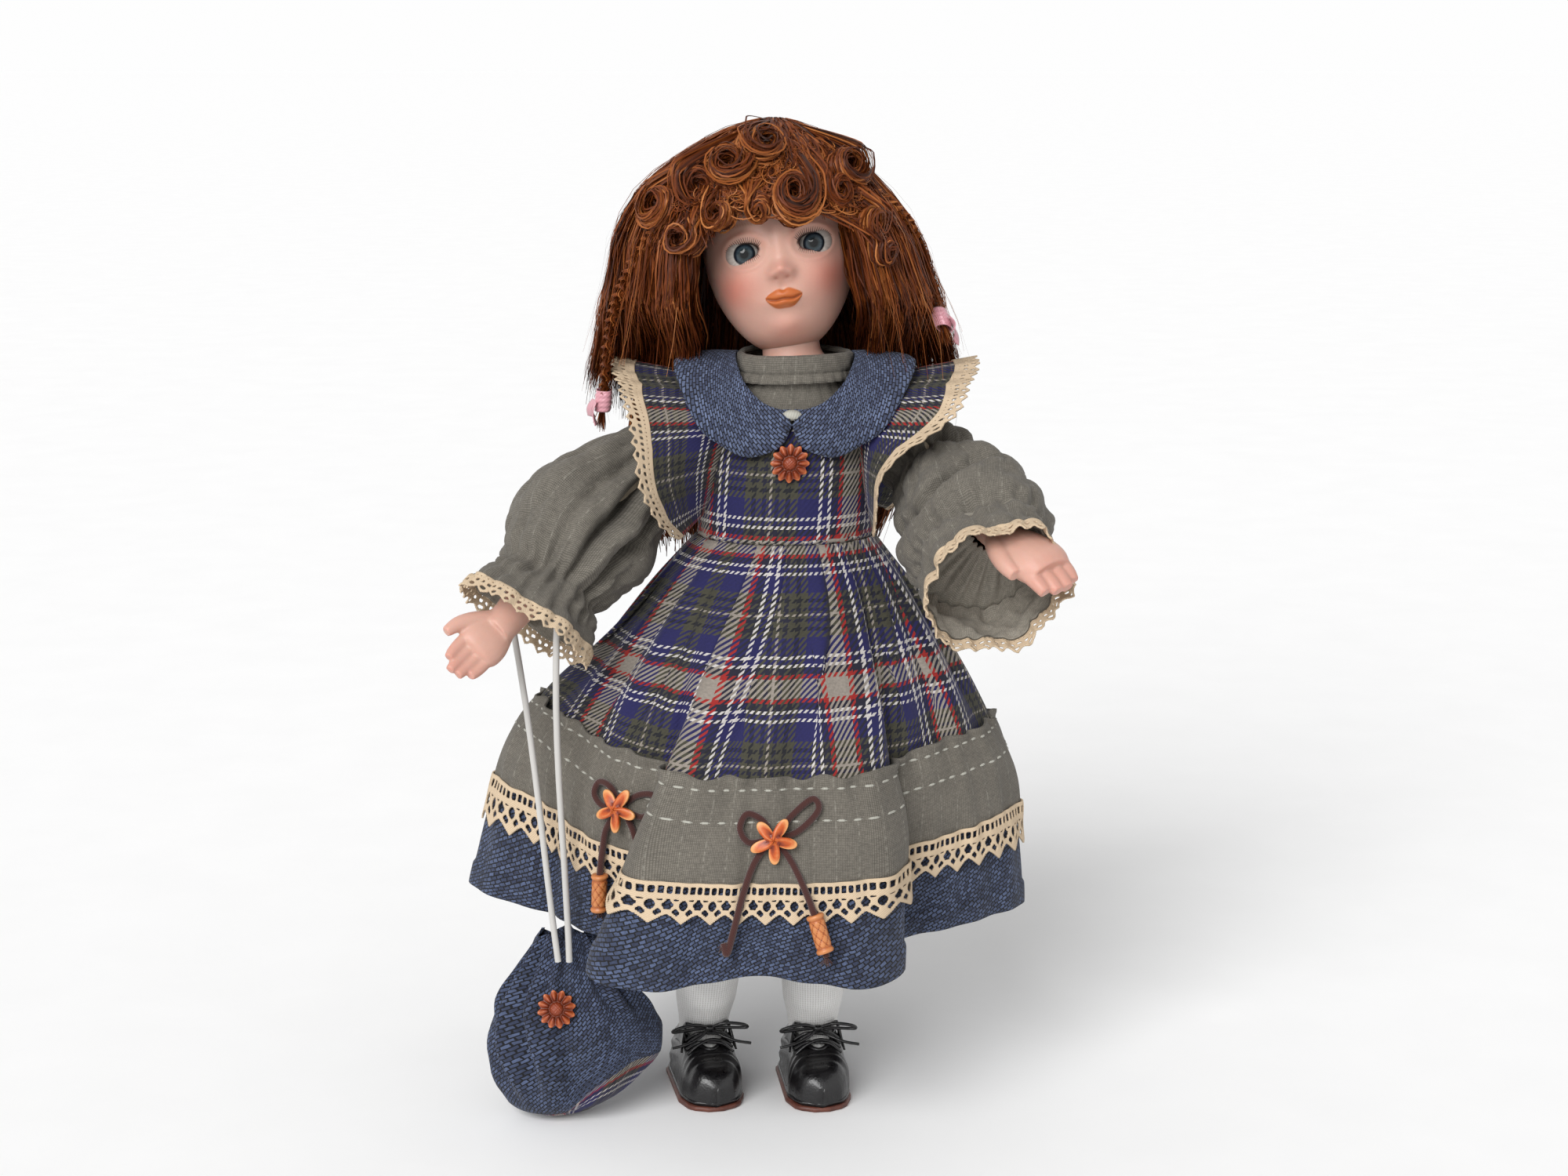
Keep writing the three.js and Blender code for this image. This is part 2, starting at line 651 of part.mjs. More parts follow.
function fringe() {
  const places = CURLS.map(([across, drop]) => {
    const x = across * HAIR_HALF_LOW;
    const z = HAIR_TOP_Z - drop * HAIR_FALL;
    const [middle, half] = rowAt(HAIR_ROWS, z);
    const angle = Math.acos(THREE.MathUtils.clamp((x - middle) / (half + CURL_THICK), -1, 1));
    return hairPoint(angle, z, GAP + CURL_THICK);
  });
  const rolls = places.map((p) => {
    const roll = new THREE.CylinderGeometry(CURL_R, CURL_R, 2 * CURL_THICK, 10);
    const facing = new THREE.Quaternion().setFromUnitVectors(AHEAD, p.clone().sub(vec(CROWN_X, 2.5 * CURL_R, p.z)).normalize());
    return roll.applyQuaternion(facing).translate(p.x, p.y, p.z);
  });
  const root = tube(places, CURL_THICK, 4, 10);
  const face = inHead(skull(CAP_ROOM + CAP + GAP, 16, 10));
  return surface(solid(cut(join(root, ...rolls), hairDome(GAP), face)), KNOT_SLIVER);
}

function braid(places) {
  const points = places.map(([angle, drop], i) => {
    const z = HAIR_TOP_Z - drop * HAIR_FALL;
    const lift = i < places.length - 2 ? BRAID_R : BRAID_R + 2 * GAP + 3 * RIBBON;
    const on = hairPoint(radians(angle), Math.max(z, HAIR_LOW_Z), GAP + lift);
    return on.setZ(z);
  });
  return { points, geometry: cut(tube(points, BRAID_R, 6, 12), hairDome(GAP), inHead(skull(GAP, 16, 10))) };
}

function ribbon(points) {
  const end = points.at(-1);
  const along = end.clone().sub(points.at(-2)).normalize();
  const inner = BRAID_R + GAP + 0.3;
  const profile = [
    [inner, 0],
    [inner + RIBBON, 0],
    [inner + 2 * RIBBON, RIBBON_WIDE / 2],
    [inner + RIBBON, RIBBON_WIDE],
    [inner, RIBBON_WIDE],
    [inner, 0],
  ].map(([r, h]) => new THREE.Vector2(r, h));
  const facing = new THREE.Quaternion().setFromUnitVectors(vec(0, 1, 0), along.negate());
  return new THREE.LatheGeometry(profile, 12).applyQuaternion(facing).translate(end.x, end.y, end.z);
}

function backHair() {
  const top = HAIR_LOW_Z - GAP;
  const rows = [
    [BACK_HAIR_LOW_Z, BACK_HAIR_HALF_W * 0.8, BACK_HAIR_Y],
    [mix(BACK_HAIR_LOW_Z, top, 0.35), BACK_HAIR_HALF_W, 0.98 * BACK_HAIR_Y],
    [mix(BACK_HAIR_LOW_Z, top, 0.75), BACK_HAIR_HALF_W, 0.94 * BACK_HAIR_Y],
    [top, BACK_HAIR_HALF_W * 0.95, 0.885 * BACK_HAIR_Y],
  ];
  const section = (z, half, back) =>
    ring(24, (t) => {
      const x = half * Math.cos(t);
      const curve = BACK_HAIR_CURVE * (x / half) ** 2;
      const edge = BACK_HAIR * (Math.sqrt(Math.max(0, 1 - (x / half) ** 6)) + 0.1);
      return vec(x + BACK_HAIR_X, back - curve + (edge / 2) * Math.sin(t), z);
    });
  return skin(rows.map(([z, half, back]) => section(z, half, back)));
}

// Arms
const shoulder = (side) => vec(side * SHOULDER_X, 0, SHOULDER_Z);
const reach = (side) => (side < 0 ? RIGHT_REACH : LEFT_REACH).map((p) => shoulder(side).add(vec(...p)));

function upperArm(side) {
  const from = shoulder(side);
  const [elbow] = reach(side);
  const along = elbow.clone().sub(from).normalize();
  const long = from.distanceTo(elbow) - ELBOW_R - JOINT_GAP;
  const bend = [-80, -60, -35, 0].map(radians);
  const rounded = bend.map((a) => ({ d: ARM_R * Math.sin(a), r: ARM_R * Math.cos(a) }));
  const shaft = [{ d: 0.55 * long, r: 1.05 * ARM_R }, { d: long, r: ELBOW_R }];
  const rows = [...rounded, ...shaft].map(({ d, r }) => ({
    at: from.clone().addScaledVector(along, d),
    a: r,
    b: r,
    across: along,
  }));
  return skin(ringsAlong(rows, UP, 14));
}

// The round top of a forearm, which turns in the hollow end of the cloth arm
function roundEnd(elbow, wrist) {
  const across = wrist.clone().sub(elbow).normalize();
  return [-75, -45, 0].map(radians).map((bend) => ({
    at: elbow.clone().addScaledVector(across, ELBOW_R * Math.sin(bend)),
    a: ELBOW_R * Math.cos(bend),
    b: ELBOW_R * Math.cos(bend),
    across,
  }));
}

function forearm(side) {
  const [elbow, wrist, tip] = reach(side);
  const at = (p, q, share) => p.clone().lerp(q, share);
  const rows = [
    ...roundEnd(elbow, wrist),
    { at: at(elbow, wrist, 0.5), a: ELBOW_R, b: ELBOW_R },
    { at: wrist.clone(), a: WRIST_R, b: WRIST_R },
    { at: at(wrist, tip, 0.3), a: 0.85 * PALM_HALF_W, b: PALM_HALF_T },
    { at: at(wrist, tip, 0.55), a: PALM_HALF_W, b: PALM_HALF_T },
    { at: at(wrist, tip, 0.9), a: 0.8 * PALM_HALF_W, b: 0.8 * PALM_HALF_T },
    { at: tip.clone(), a: 0.4 * PALM_HALF_W, b: 0.4 * PALM_HALF_T },
  ];
  const hint = side < 0 ? AHEAD : vec(0.5, 0, 1);
  const limb = skin(ringsAlong(rows, hint, 12));
  const along = tip.clone().sub(wrist).normalize();
  const flat = hint.clone().addScaledVector(along, -hint.dot(along)).normalize();
  const out = vec(0, 0, 0).crossVectors(flat, along);
  if (side < 0 ? out.z < 0 : out.x > 0) out.negate();
  const root = at(wrist, tip, 0.3).addScaledVector(out, 0.4 * PALM_HALF_W);
  const knuckle = at(wrist, tip, 0.5).addScaledVector(out, 1.15 * PALM_HALF_W);
  const end = at(wrist, tip, 0.72).addScaledVector(out, 1.35 * PALM_HALF_W);
  return join(limb, tube([root, knuckle, end], THUMB_R, 8, 4));
}

// Sleeves
function sleeveRows(side) {
  const from = shoulder(side);
  const start = vec(side * (Math.max(CHEST_HALF_W, SHOULDER_HALF_W) + BODICE_OUT + GAP), 0, SHOULDER_Z);
  const rows = (side < 0 ? RIGHT_SLEEVE : LEFT_SLEEVE).map(([x, y, z, a, b]) => ({
    at: from.clone().add(vec(x, y, z)),
    a,
    b,
  }));
  return [{ at: start, a: SLEEVE_TOP_R, b: SLEEVE_TOP_R, across: vec(side, 0, 0) }, ...rows];
}

const sleeveHint = (side) => (side < 0 ? AHEAD : UP);
const pleat = (angle) => SLEEVE_FOLD * Math.cos(SLEEVE_FOLDS * angle);

function tubeWall(rows, hint, thick, sides) {
  const outer = ringsAlong(rows, hint, sides, (angle, i) => (i ? pleat(angle) : 0));
  const inner = ringsAlong(rows, hint, sides, (angle, i) => (i ? pleat(angle) : 0) - thick);
  return wall(outer, inner);
}

const SLEEVE_SIDES = 20;

function sleeve(side) {
  const rows = sleeveRows(side);
  const smooth = [];
  const path = new THREE.CatmullRomCurve3(rows.map((row) => row.at));
  const count = rows.length - 1;
  for (let i = 0; i <= 2 * count; i++) {
    const low = Math.min(count - 1, Math.floor(i / 2));
    const share = i / 2 - low;
    smooth.push({
      at: path.getPoint(i / 2 / count),
      a: mix(rows[low].a, rows[low + 1].a, share),
      b: mix(rows[low].b, rows[low + 1].b, share),
      across: i === 0 ? rows[0].across : undefined,
    });
  }
  return tubeWall(smooth, sleeveHint(side), CLOTH, SLEEVE_SIDES);
}

function cuffLace(side) {
  const rows = sleeveRows(side);
  const last = rows.at(-1);
  const along = last.at.clone().sub(rows.at(-2).at).normalize();
  const at = (d) => last.at.clone().addScaledVector(along, d);
  const ringRow = (d) => ({ at: at(d), a: last.a, b: last.b, across: along });
  const lace = [ringRow(GAP + 0.6), ringRow(CUFF_LACE_LONG)];
  const hint = sleeveHint(side);
  const outer = ringsAlong(lace, hint, SLEEVE_SIDES, (angle) => pleat(angle));
  const inner = ringsAlong(lace, hint, SLEEVE_SIDES, (angle) => pleat(angle) - LACE);
  return wall(outer, inner);
}

// Collar: each lobe runs from the front around one side to the back, flat over the shoulder and falling on the chest
function collar(side) {
  const start = radians(5);
  const rows = steps(12, start, radians(172)).map((t) => {
    const front = Math.abs(Math.cos(t));
    const taper = Math.sin(Math.min(1, (t - start) / radians(30)) * (Math.PI / 2));
    const out = (r, z) => vec(side * r * Math.sin(t), -r * Math.cos(t), z);
    const ahead = Math.max(0, Math.cos(t)) ** 2;
    const seam = BAND_R + GAP + COLLAR_AWAY * ahead;
    const seamZ = mix(COLLAR_SHOULDER_Z + 2, COLLAR_SEAM_Z, front ** 2) - COLLAR_OPEN * ahead;
    const half = SHOULDER_HALF_W + BODICE_OUT + COLLAR_OVER;
    const deep = CHEST_HALF_D + BODICE_OUT + GAP + 0.8;
    const edge = (half * deep) / Math.hypot(deep * Math.sin(t), half * Math.cos(t));
    const fall = mix(0, COLLAR_DROP, front ** 2) * mix(0.7, 1, taper);
    const edgeZ = mix(COLLAR_SHOULDER_Z, COLLAR_SEAM_Z, front ** 2) - fall;
    const under = [out(seam, seamZ), out(mix(seam, edge, 0.8), mix(seamZ, edgeZ, 0.25)), out(edge, edgeZ)];
    const lift = out(0.6 * COLLAR, COLLAR).setZ(COLLAR);
    const over = under.map((p) => p.clone().add(lift));
    return [...under, ...over.reverse()];
  });
  return skin(rows);
}

// Ruffle over a shoulder: a strip from the front of the armhole, over the top, to the back
const RUFFLE_STEPS = 24;
const RUFFLE_SHARE = 0.48; // half of the seam's length that the ruffle takes
const RUFFLE_FULL = 0.6; // how soon it grows wide from its ends
const RUFFLE_WAVES = 7;
const RUFFLE_NARROW = { right: 0, left: 0.8 }; // share of its width that the low front loses beside the sleeve

function ruffleRows(side, from, to, thick) {
  return steps(RUFFLE_STEPS, 0.5 - side * RUFFLE_SHARE, 0.5 + side * RUFFLE_SHARE).map((share) => {
    const angle = mix(radians(RUFFLE_TURN), radians(-RUFFLE_TURN), share);
    const narrow = angle > 0 ? RUFFLE_NARROW[side < 0 ? "right" : "left"] : 0;
    const taper = 1 - narrow * THREE.MathUtils.smoothstep(-Math.cos(angle), -0.5, 0.4);
    const swell = Math.sin(Math.PI * share) ** RUFFLE_FULL * taper;
    const ripple = Math.cos(RUFFLE_WAVES * Math.PI * share);
    const below = Math.max(0, -Math.cos(angle));
    const ahead = angle > 0 ? RUFFLE_AHEAD * THREE.MathUtils.smoothstep(-Math.cos(angle), -0.4, 0.5) : 0;
    const seamY = -RUFFLE_HALF_D * Math.sin(angle);
    const seamZ = SHOULDER_Z + RUFFLE_RISE * Math.max(0, Math.cos(angle)) - RUFFLE_DROP * below;
    const [a, b] = rowAt(TRUNK, Math.min(seamZ, BODICE_TOP_Z));
    const beside = Math.sqrt(Math.max(0.2, 1 - (seamY / (b + BODICE_OUT)) ** 2));
    const seamX = (a + BODICE_OUT) * beside + GAP + 0.5;
    const place = (d, lift) => {
      const flare = (RUFFLE_FLARE * d) / RUFFLE_WIDE;
      const spread = (RUFFLE_SPREAD * d) / RUFFLE_WIDE;
      const wave = (1.6 * ripple * d) / RUFFLE_WIDE;
      return vec(
        side * (seamX + d * swell),
        seamY - (spread + wave + lift) * Math.sin(angle) - (ahead * swell * d) / RUFFLE_WIDE,
        seamZ + (flare + wave + lift) * Math.cos(angle),
      );
    };
    return [0, thick].map((lift) => steps(2, from, to).map((d) => place(d, lift)));
  });
}

const ruffle = (side) => strip(ruffleRows(side, 0, RUFFLE_WIDE, CLOTH));
const ruffleLace = (side) =>
  strip(ruffleRows(side, RUFFLE_WIDE + 3 * GAP, RUFFLE_WIDE + RUFFLE_LACE_WIDE, LACE));

// Skirt: one falling surface that the skirt, its band, lace and flounce all follow
const SKIRT_SIDES = 40;
const SKIRT_TOP_Z = WAIST_Z - GAP;
const waistA = WAIST_HALF_W + BODICE_OUT + CLOTH;
const waistB = WAIST_HALF_D + BODICE_OUT + CLOTH;

function skirtPoint(t, z, extra) {
  const fall = (SKIRT_TOP_Z - z) / (SKIRT_TOP_Z - HEM_Z);
  const spread = 1 - (1 - Math.min(fall, 1)) ** SKIRT_SPREAD;
  const phase = t - radians(FOLD_SKEW) * Math.sin(2 * t);
  const fold = FOLD * fall ** 1.3 * Math.cos(FOLDS * phase);
  const a = mix(waistA, HEM_R, spread) + fold + extra;
  const b = mix(waistB, HEM_R * HEM_DEPTH, spread) + fold + extra;
  return vec(HEM_SHIFT * fall + a * Math.sin(t), -b * Math.cos(t), z);
}

function skirtWall(heights, inside, outside) {
  const rings = (extra) => heights.map((z) => ring(SKIRT_SIDES, (t) => skirtPoint(t, z, extra)));
  return wall(rings(outside), rings(inside));
}

const SKIRT_LOW_Z = BAND_TOP - BAND_LAP;
const LEVELS = [SKIRT_LOW_Z - GAP, mix(SKIRT_LOW_Z, BAND_LOW, 0.5), BAND_LOW];
const skirt = () => skirtWall(steps(4, SKIRT_TOP_Z, SKIRT_LOW_Z), -CLOTH, 0);
const flounce = () => skirtWall([...LEVELS, HEM_LACE_LOW, HEM_Z], -CLOTH, 0);
const skirtBand = () => skirtWall([BAND_TOP, ...LEVELS], GAP, GAP + CLOTH);
const hemLace = () => skirtWall([BAND_LOW - GAP, HEM_LACE_LOW], GAP, GAP + LACE);

// Flower buttons, star flowers, bows and beads
function flower(radius, petals, depth, thick) {
  const shape = new THREE.Shape(
    ring(3 * petals, (a) => {
      const r = radius * (1 - depth * (0.5 - 0.5 * Math.cos(petals * a)));
      return new THREE.Vector2(r * Math.cos(a), r * Math.sin(a));
    }),
  );
  return new THREE.ExtrudeGeometry(shape, { depth: thick, bevelEnabled: false });
}

// Stands a flat piece up against a surface point, facing outward
function standAt(geometry, at, outward) {
  const facing = new THREE.Quaternion().setFromUnitVectors(UP, outward);
  return geometry.applyQuaternion(facing).translate(at.x, at.y, at.z);
}

function bow(turn, beadFar) {
  const out = GAP + CLOTH + GAP + BOW_R;
  const place = (dx, dz, lift = 0) => {
    const z = BOW_Z + dz;
    return skirtPoint(radians(turn) + dx / (HEM_R * 0.95), z, out + lift);
  };
  const apart = 1.15 * BOW_R; // the loop's two ends lie beside each other in the knot
  const loop = (sign) =>
    tube(
      [place(sign * 0.8 * BOW_R, apart), place(sign * 0.5 * BOW_LOOP, 6), place(sign * BOW_LOOP, 4, 1),
        place(sign * BOW_LOOP, -3, 1), place(sign * 0.45 * BOW_LOOP, -2.2 * apart), place(sign * 0.8 * BOW_R, -apart)],
      BOW_R,
      5,
      6,
    );
  const clear = BEAD_R - BOW_R + GAP;
  const way = Math.sign(beadFar);
  const tails = [-way * PLAIN_TAIL_FAR, beadFar].map((far) => {
    const sign = Math.sign(far);
    const bend = place(far * 10, -0.5 * BOW_TAIL, clear + 0.6);
    const end = place(far * 15, -BOW_TAIL, clear);
    const straight = [0, 0.25, 0.5, 0.75, 1].map((share) => bend.clone().lerp(end, share));
    return [place(0, 0), place(sign * 6, -0.3 * BOW_TAIL, 0.5), ...straight];
  });
  const knot = place(0, 0, 0.6);
  const tied = join(
    loop(-1),
    loop(1),
    ...tails.map((points) => tube(points, BOW_R, 5, 6)),
    ball(1.5 * BOW_R, 8, 6, knot.x, knot.y, knot.z),
  );
  const cord = surface(solid(tied), KNOT_SLIVER);
  return { cord, tails, knot };
}

function outwardAt(turn, z) {
  const t = radians(turn);
  return skirtPoint(t, z, 1).sub(skirtPoint(t, z, 0)).setZ(0).normalize();
}

function bowStar(turn, knot) {
  const outward = outwardAt(turn, BOW_Z);
  const at = knot.clone().addScaledVector(outward, 1.5 * BOW_R + GAP + 0.6);
  return standAt(flower(STAR_R, 5, 0.55, STAR), at, outward);
}

function bead(points) {
  const path = new THREE.CatmullRomCurve3(points);
  const at = path.getPointAt(0.8);
  const along = path.getTangentAt(0.8);
  const bore = BOW_R + GAP + 0.1;
  const half = BEAD_LONG / 2;
  const profile = [
    [bore, -half],
    [BEAD_R, -half],
    [BEAD_R, half],
    [bore, half],
    [bore, -half],
  ].map(([r, h]) => new THREE.Vector2(r, h));
  const facing = new THREE.Quaternion().setFromUnitVectors(vec(0, 1, 0), along);
  return new THREE.LatheGeometry(profile, 10).applyQuaternion(facing).translate(at.x, at.y, at.z);
}

function bodiceFlower() {
  const z = CHEST_Z + 4;
  const front = CHEST_HALF_D + BODICE_OUT + GAP;
  return standAt(flower(BUTTON_R, PETALS, 0.18, BUTTON), vec(0, -front - 0.2, z), AHEAD);
}

// Legs
const legX = (side, z) => side * mix(ANKLE_X, HIP_X, (z - ANKLE_Z) / (HIP_Z - ANKLE_Z));
const FOOT_Z = SOLE + GAP + INSOLE + 2 * GAP + KNIT + FOOT_HALF_H;
const toeTurn = (side) => radians(side < 0 ? TOE_TURN_RIGHT : TOE_TURN_LEFT);
const atAnkle = (side, geometry) => geometry.rotateZ(toeTurn(side)).translate(legX(side, ANKLE_Z), 0, 0);

function legShape(side, extra, top) {
  const rows = [
    [FOOT_Z, ANKLE_R],
    [ANKLE_Z, ANKLE_R],
    [SHIN_Z, SHIN_R],
    [CALF_Z, CALF_R],
    [KNEE_Z, KNEE_R],
  ];
  const heights = [...rows.map((row) => row[0]).filter((z) => z < top - 1), top];
  const shaft = skin(
    heights.map((z) => {
      const r = rowAt(rows, z)[0] + extra;
      return ring(12, (t) => vec(legX(side, z) + r * Math.cos(t), r * Math.sin(t), z));
    }),
  );
  const foot = ellipsoid(FOOT_HALF_W + extra, FOOT_HALF_L + extra, FOOT_HALF_H + extra, 12, 6);
  return join(shaft, atAnkle(side, foot.translate(0, -FOOT_AHEAD, FOOT_Z)));
}

const lowerLeg = (side) => legShape(side, 0, KNEE_Z);
const stocking = (side) =>
  cut(legShape(side, GAP + KNIT, STOCKING_TOP_Z), legShape(side, GAP, KNEE_Z));

function thigh(side) {
  const bend = [80, 60, 35, 0].map(radians);
  const rounded = bend.map((a) => [HIP_Z + THIGH_R * Math.sin(a), THIGH_R * Math.cos(a)]);
  const rows = [...rounded, [mix(HIP_Z, KNEE_Z, 0.4), 1.06 * THIGH_R], [KNEE_Z + GAP, KNEE_R]];
  return skin(
    rows.map(([z, r]) => {
      const x = legX(side, Math.min(z, HIP_Z));
      return ring(14, (t) => vec(x + r * Math.cos(t), r * Math.sin(t), z));
    }),
  );
}

// Shoe upper: sections from heel to toe, each flat underneath
const SHOE_HALF_W = Math.max(FOOT_HALF_W, ANKLE_R) + KNIT + 3 * GAP + UPPER;
const HEEL_Y = ANKLE_R + KNIT + 3 * GAP + UPPER;
const TOE_Y = -(FOOT_AHEAD + FOOT_HALF_L + KNIT + 2 * GAP + TOE_LENGTH);
const SHOE_LOW_Z = SOLE + GAP;
const TOE_TALL = FOOT_Z + FOOT_HALF_H - SHOE_LOW_Z;
const SHOE_ROWS = [
  [TOE_Y, 0.45 * SHOE_HALF_W, 0.55 * TOE_TALL],
  [mix(TOE_Y, 0, 0.1), 0.78 * SHOE_HALF_W, 0.9 * TOE_TALL],
  [mix(TOE_Y, 0, 0.3), SHOE_HALF_W, 1.08 * TOE_TALL],
  [-HEEL_Y - 4, SHOE_HALF_W, 1.35 * TOE_TALL],
  [-HEEL_Y + 1, SHOE_HALF_W, SHOE_TOP_Z - SHOE_LOW_Z],
  [HEEL_Y * 0.55, SHOE_HALF_W, SHOE_TOP_Z - SHOE_LOW_Z],
  [HEEL_Y, 0.7 * SHOE_HALF_W, SHOE_TOP_Z - SHOE_LOW_Z - 2],
];

function shoeSection(y, half, tall) {
  const arch = steps(10, 0, Math.PI).map((a) => {
    const x = half * Math.sign(Math.cos(a)) * Math.abs(Math.cos(a)) ** 0.55;
    return vec(x, y, SHOE_LOW_Z + tall * Math.sin(a) ** 0.7);
  });
  return arch;
}

function shoe(side) {
  const block = skin(SHOE_ROWS.map(([y, half, tall]) => shoeSection(y, half, tall)));
  const room = legShape(side, 2 * GAP + KNIT, STOCKING_TOP_Z);
  return cut(atAnkle(side, block), room);
}

function sole(side) {
  const edge = SHOE_ROWS.map(([y, half]) => new THREE.Vector2(half + SOLE_RIM, y));
  edge[0].y -= SOLE_RIM;
  edge.at(-1).y += SOLE_RIM;
  const mirrored = edge.map((p) => new THREE.Vector2(-p.x, p.y)).reverse();
  const shape = new THREE.Shape([...edge, ...mirrored]);
  return atAnkle(side, new THREE.ExtrudeGeometry(shape, { depth: SOLE, bevelEnabled: false }));
}

function shoelace(side) {
  const y = -HEEL_Y - 5;
  const z = SHOE_LOW_Z + rowAt(SHOE_ROWS, y)[1] + GAP + LACE_R + 0.8;
  const apart = 1.25 * LACE_R;
  const loop = (sign) =>
    tube(
      [vec(sign * LACE_R, y - apart, z), vec(sign * 0.6 * LACE_LOOP, y - 3.4, z + 1), vec(sign * LACE_LOOP, y - 1, z),
        vec(sign * 0.6 * LACE_LOOP, y + 2.4, z + 0.6), vec(sign * LACE_R, y + apart, z)],
      LACE_R,
      4,
      6,
    );
  const knot = ball(2 * LACE_R, 6, 5, 0, y, z + 0.4);
  const leather = new THREE.BufferGeometry().copy(
    skin(SHOE_ROWS.map(([at, half, tall]) => shoeSection(at, half + GAP, tall + GAP))),
  );
  return atAnkle(side, cut(join(loop(-1), loop(1), knot), leather));
}

// Bag, hung plumb from the right forearm, outside the leaning figure
const [RIGHT_ELBOW, RIGHT_WRIST] = reach(-1);
const hang = RIGHT_WRIST.clone().lerp(RIGHT_ELBOW, CORD_ALONG);
hang.x += LEAN * hang.z;
const BAG_Y = hang.y - 2;

function bagRing(z, half, deep) {
  return ring(24, (t) => {
    const fold = 1 + 0.05 * Math.cos(6 * t);
    return vec(BAG_X + half * fold * Math.cos(t), BAG_Y + deep * fold * Math.sin(t), z);
  });
}

const BAG_ROWS = [
  [BAG_LOW_Z, 0.6 * BAG_FOOT_HALF_W, 0.45 * BAG_HALF_D],
  [BAG_LOW_Z + 5, BAG_FOOT_HALF_W, 0.85 * BAG_HALF_D],
  [BAG_BASE_Z, 0.93 * BAG_HALF_W, 0.97 * BAG_HALF_D],
  [BAG_BELLY_Z, BAG_HALF_W, BAG_HALF_D],
  [mix(BAG_BELLY_Z, BAG_NECK_Z, 0.5), 0.78 * BAG_HALF_W, 0.85 * BAG_HALF_D],
  [BAG_NECK_Z, BAG_NECK_HALF_W, 0.42 * BAG_HALF_D],
  [BAG_HIGH_Z, BAG_FRILL_HALF_W, 0.5 * BAG_HALF_D],
];

function bag() {
  const heights = [BAG_BASE_Z + GAP, ...BAG_ROWS.slice(3).map((row) => row[0])];
  return skin(heights.map((z) => bagRing(z, ...rowAt(BAG_ROWS, z))));
}

function bagBase() {
  return skin(BAG_ROWS.slice(0, 3).map((row) => bagRing(...row)));
}

function bagFlower() {
  const z = mix(BAG_BELLY_Z, BAG_NECK_Z, 0.62);
  const deep = rowAt(BAG_ROWS, z)[1];
  const slope = vec(0, -1, 0.45).normalize();
  const at = vec(BAG_X - 3, BAG_Y - deep, z).addScaledVector(slope, -GAP / 2);
  return standAt(flower(BUTTON_R, PETALS, 0.18, BUTTON), at, slope);
}

function bagCord() {
  const arm = RIGHT_ELBOW.clone().sub(RIGHT_WRIST).normalize();
  const aside = vec(0, 0, 0).crossVectors(arm, UP).normalize();
  const over = vec(0, 0, 0).crossVectors(aside, arm);
  const hold = mix(WRIST_R, ELBOW_R, 2 * CORD_ALONG) + GAP + BAG_CORD_R + LOOP_SLACK;
  const around = (angle) =>
    hang
      .clone()
      .addScaledVector(aside, hold * Math.cos(angle))
      .addScaledVector(over, hold * Math.sin(angle) - LOOP_SLACK);
  const arch = steps(8, Math.PI, 0).map((a) => around(a));
  const foot = vec(BAG_X, BAG_Y, BAG_HIGH_Z + GAP);
  const side = (from, sign) => {
    const to = foot.clone().add(vec(sign * 2.2, 0, 0));
    return [0.12, 0.3, 0.5, 0.7, 0.88, 1].map((share) => {
      const p = from.clone().lerp(to, share);
      const near = Math.sin(Math.PI * share) * 0.35;
      return p.lerp(vec(mix(hang.x, BAG_X, share) + sign * 2.2, p.y, p.z), near);
    });
  };
  const left = side(arch[0], -1).reverse();
  const right = side(arch.at(-1), 1);
  return tube([...left, ...arch, ...right], BAG_CORD_R, 8, 40);
}

// Assembly
const SIDES = { left: 1, right: -1 };

add(figure, "torso", torso(), MUSLIN);
add(figure, "neck_tie", neckTie(), CREAM);
add(figure, "blouse_body", armholes(garment(WAIST_Z, BODICE_TOP_Z, BLOUSE_IN, BLOUSE_OUT)), LINEN);
add(figure, "neckband", neckband(), LINEN);
add(figure, "bodice", neckline(armholes(garment(WAIST_Z, BODICE_TOP_Z, BODICE_IN, BODICE_OUT))), PLAID);
add(figure, "skirt", skirt(), PLAID);
add(figure, "skirt_band", skirtBand(), LINEN);
add(figure, "hem_lace", hemLace(), CREAM);
add(figure, "flounce", flounce(), DENIM);
add(figure, "bodice_flower", bodiceFlower(), RUST, 0.6);
const BOWS = [
  ["front", FRONT_BOW_TURN, FRONT_BOW_FAR],
  ["side", SIDE_BOW_TURN, SIDE_BOW_FAR],
];
for (const [place, turn, far] of BOWS) {
  const made = bow(turn, far);
  const beaded = bead(made.tails[1]);
  add(figure, `${place}_bow`, made.cord, SUEDE);
  add(figure, `${place}_star`, bowStar(turn, made.knot), RUST, 0.7);
  add(figure, `${place}_bead`, beaded, RUST, 0.5);
}

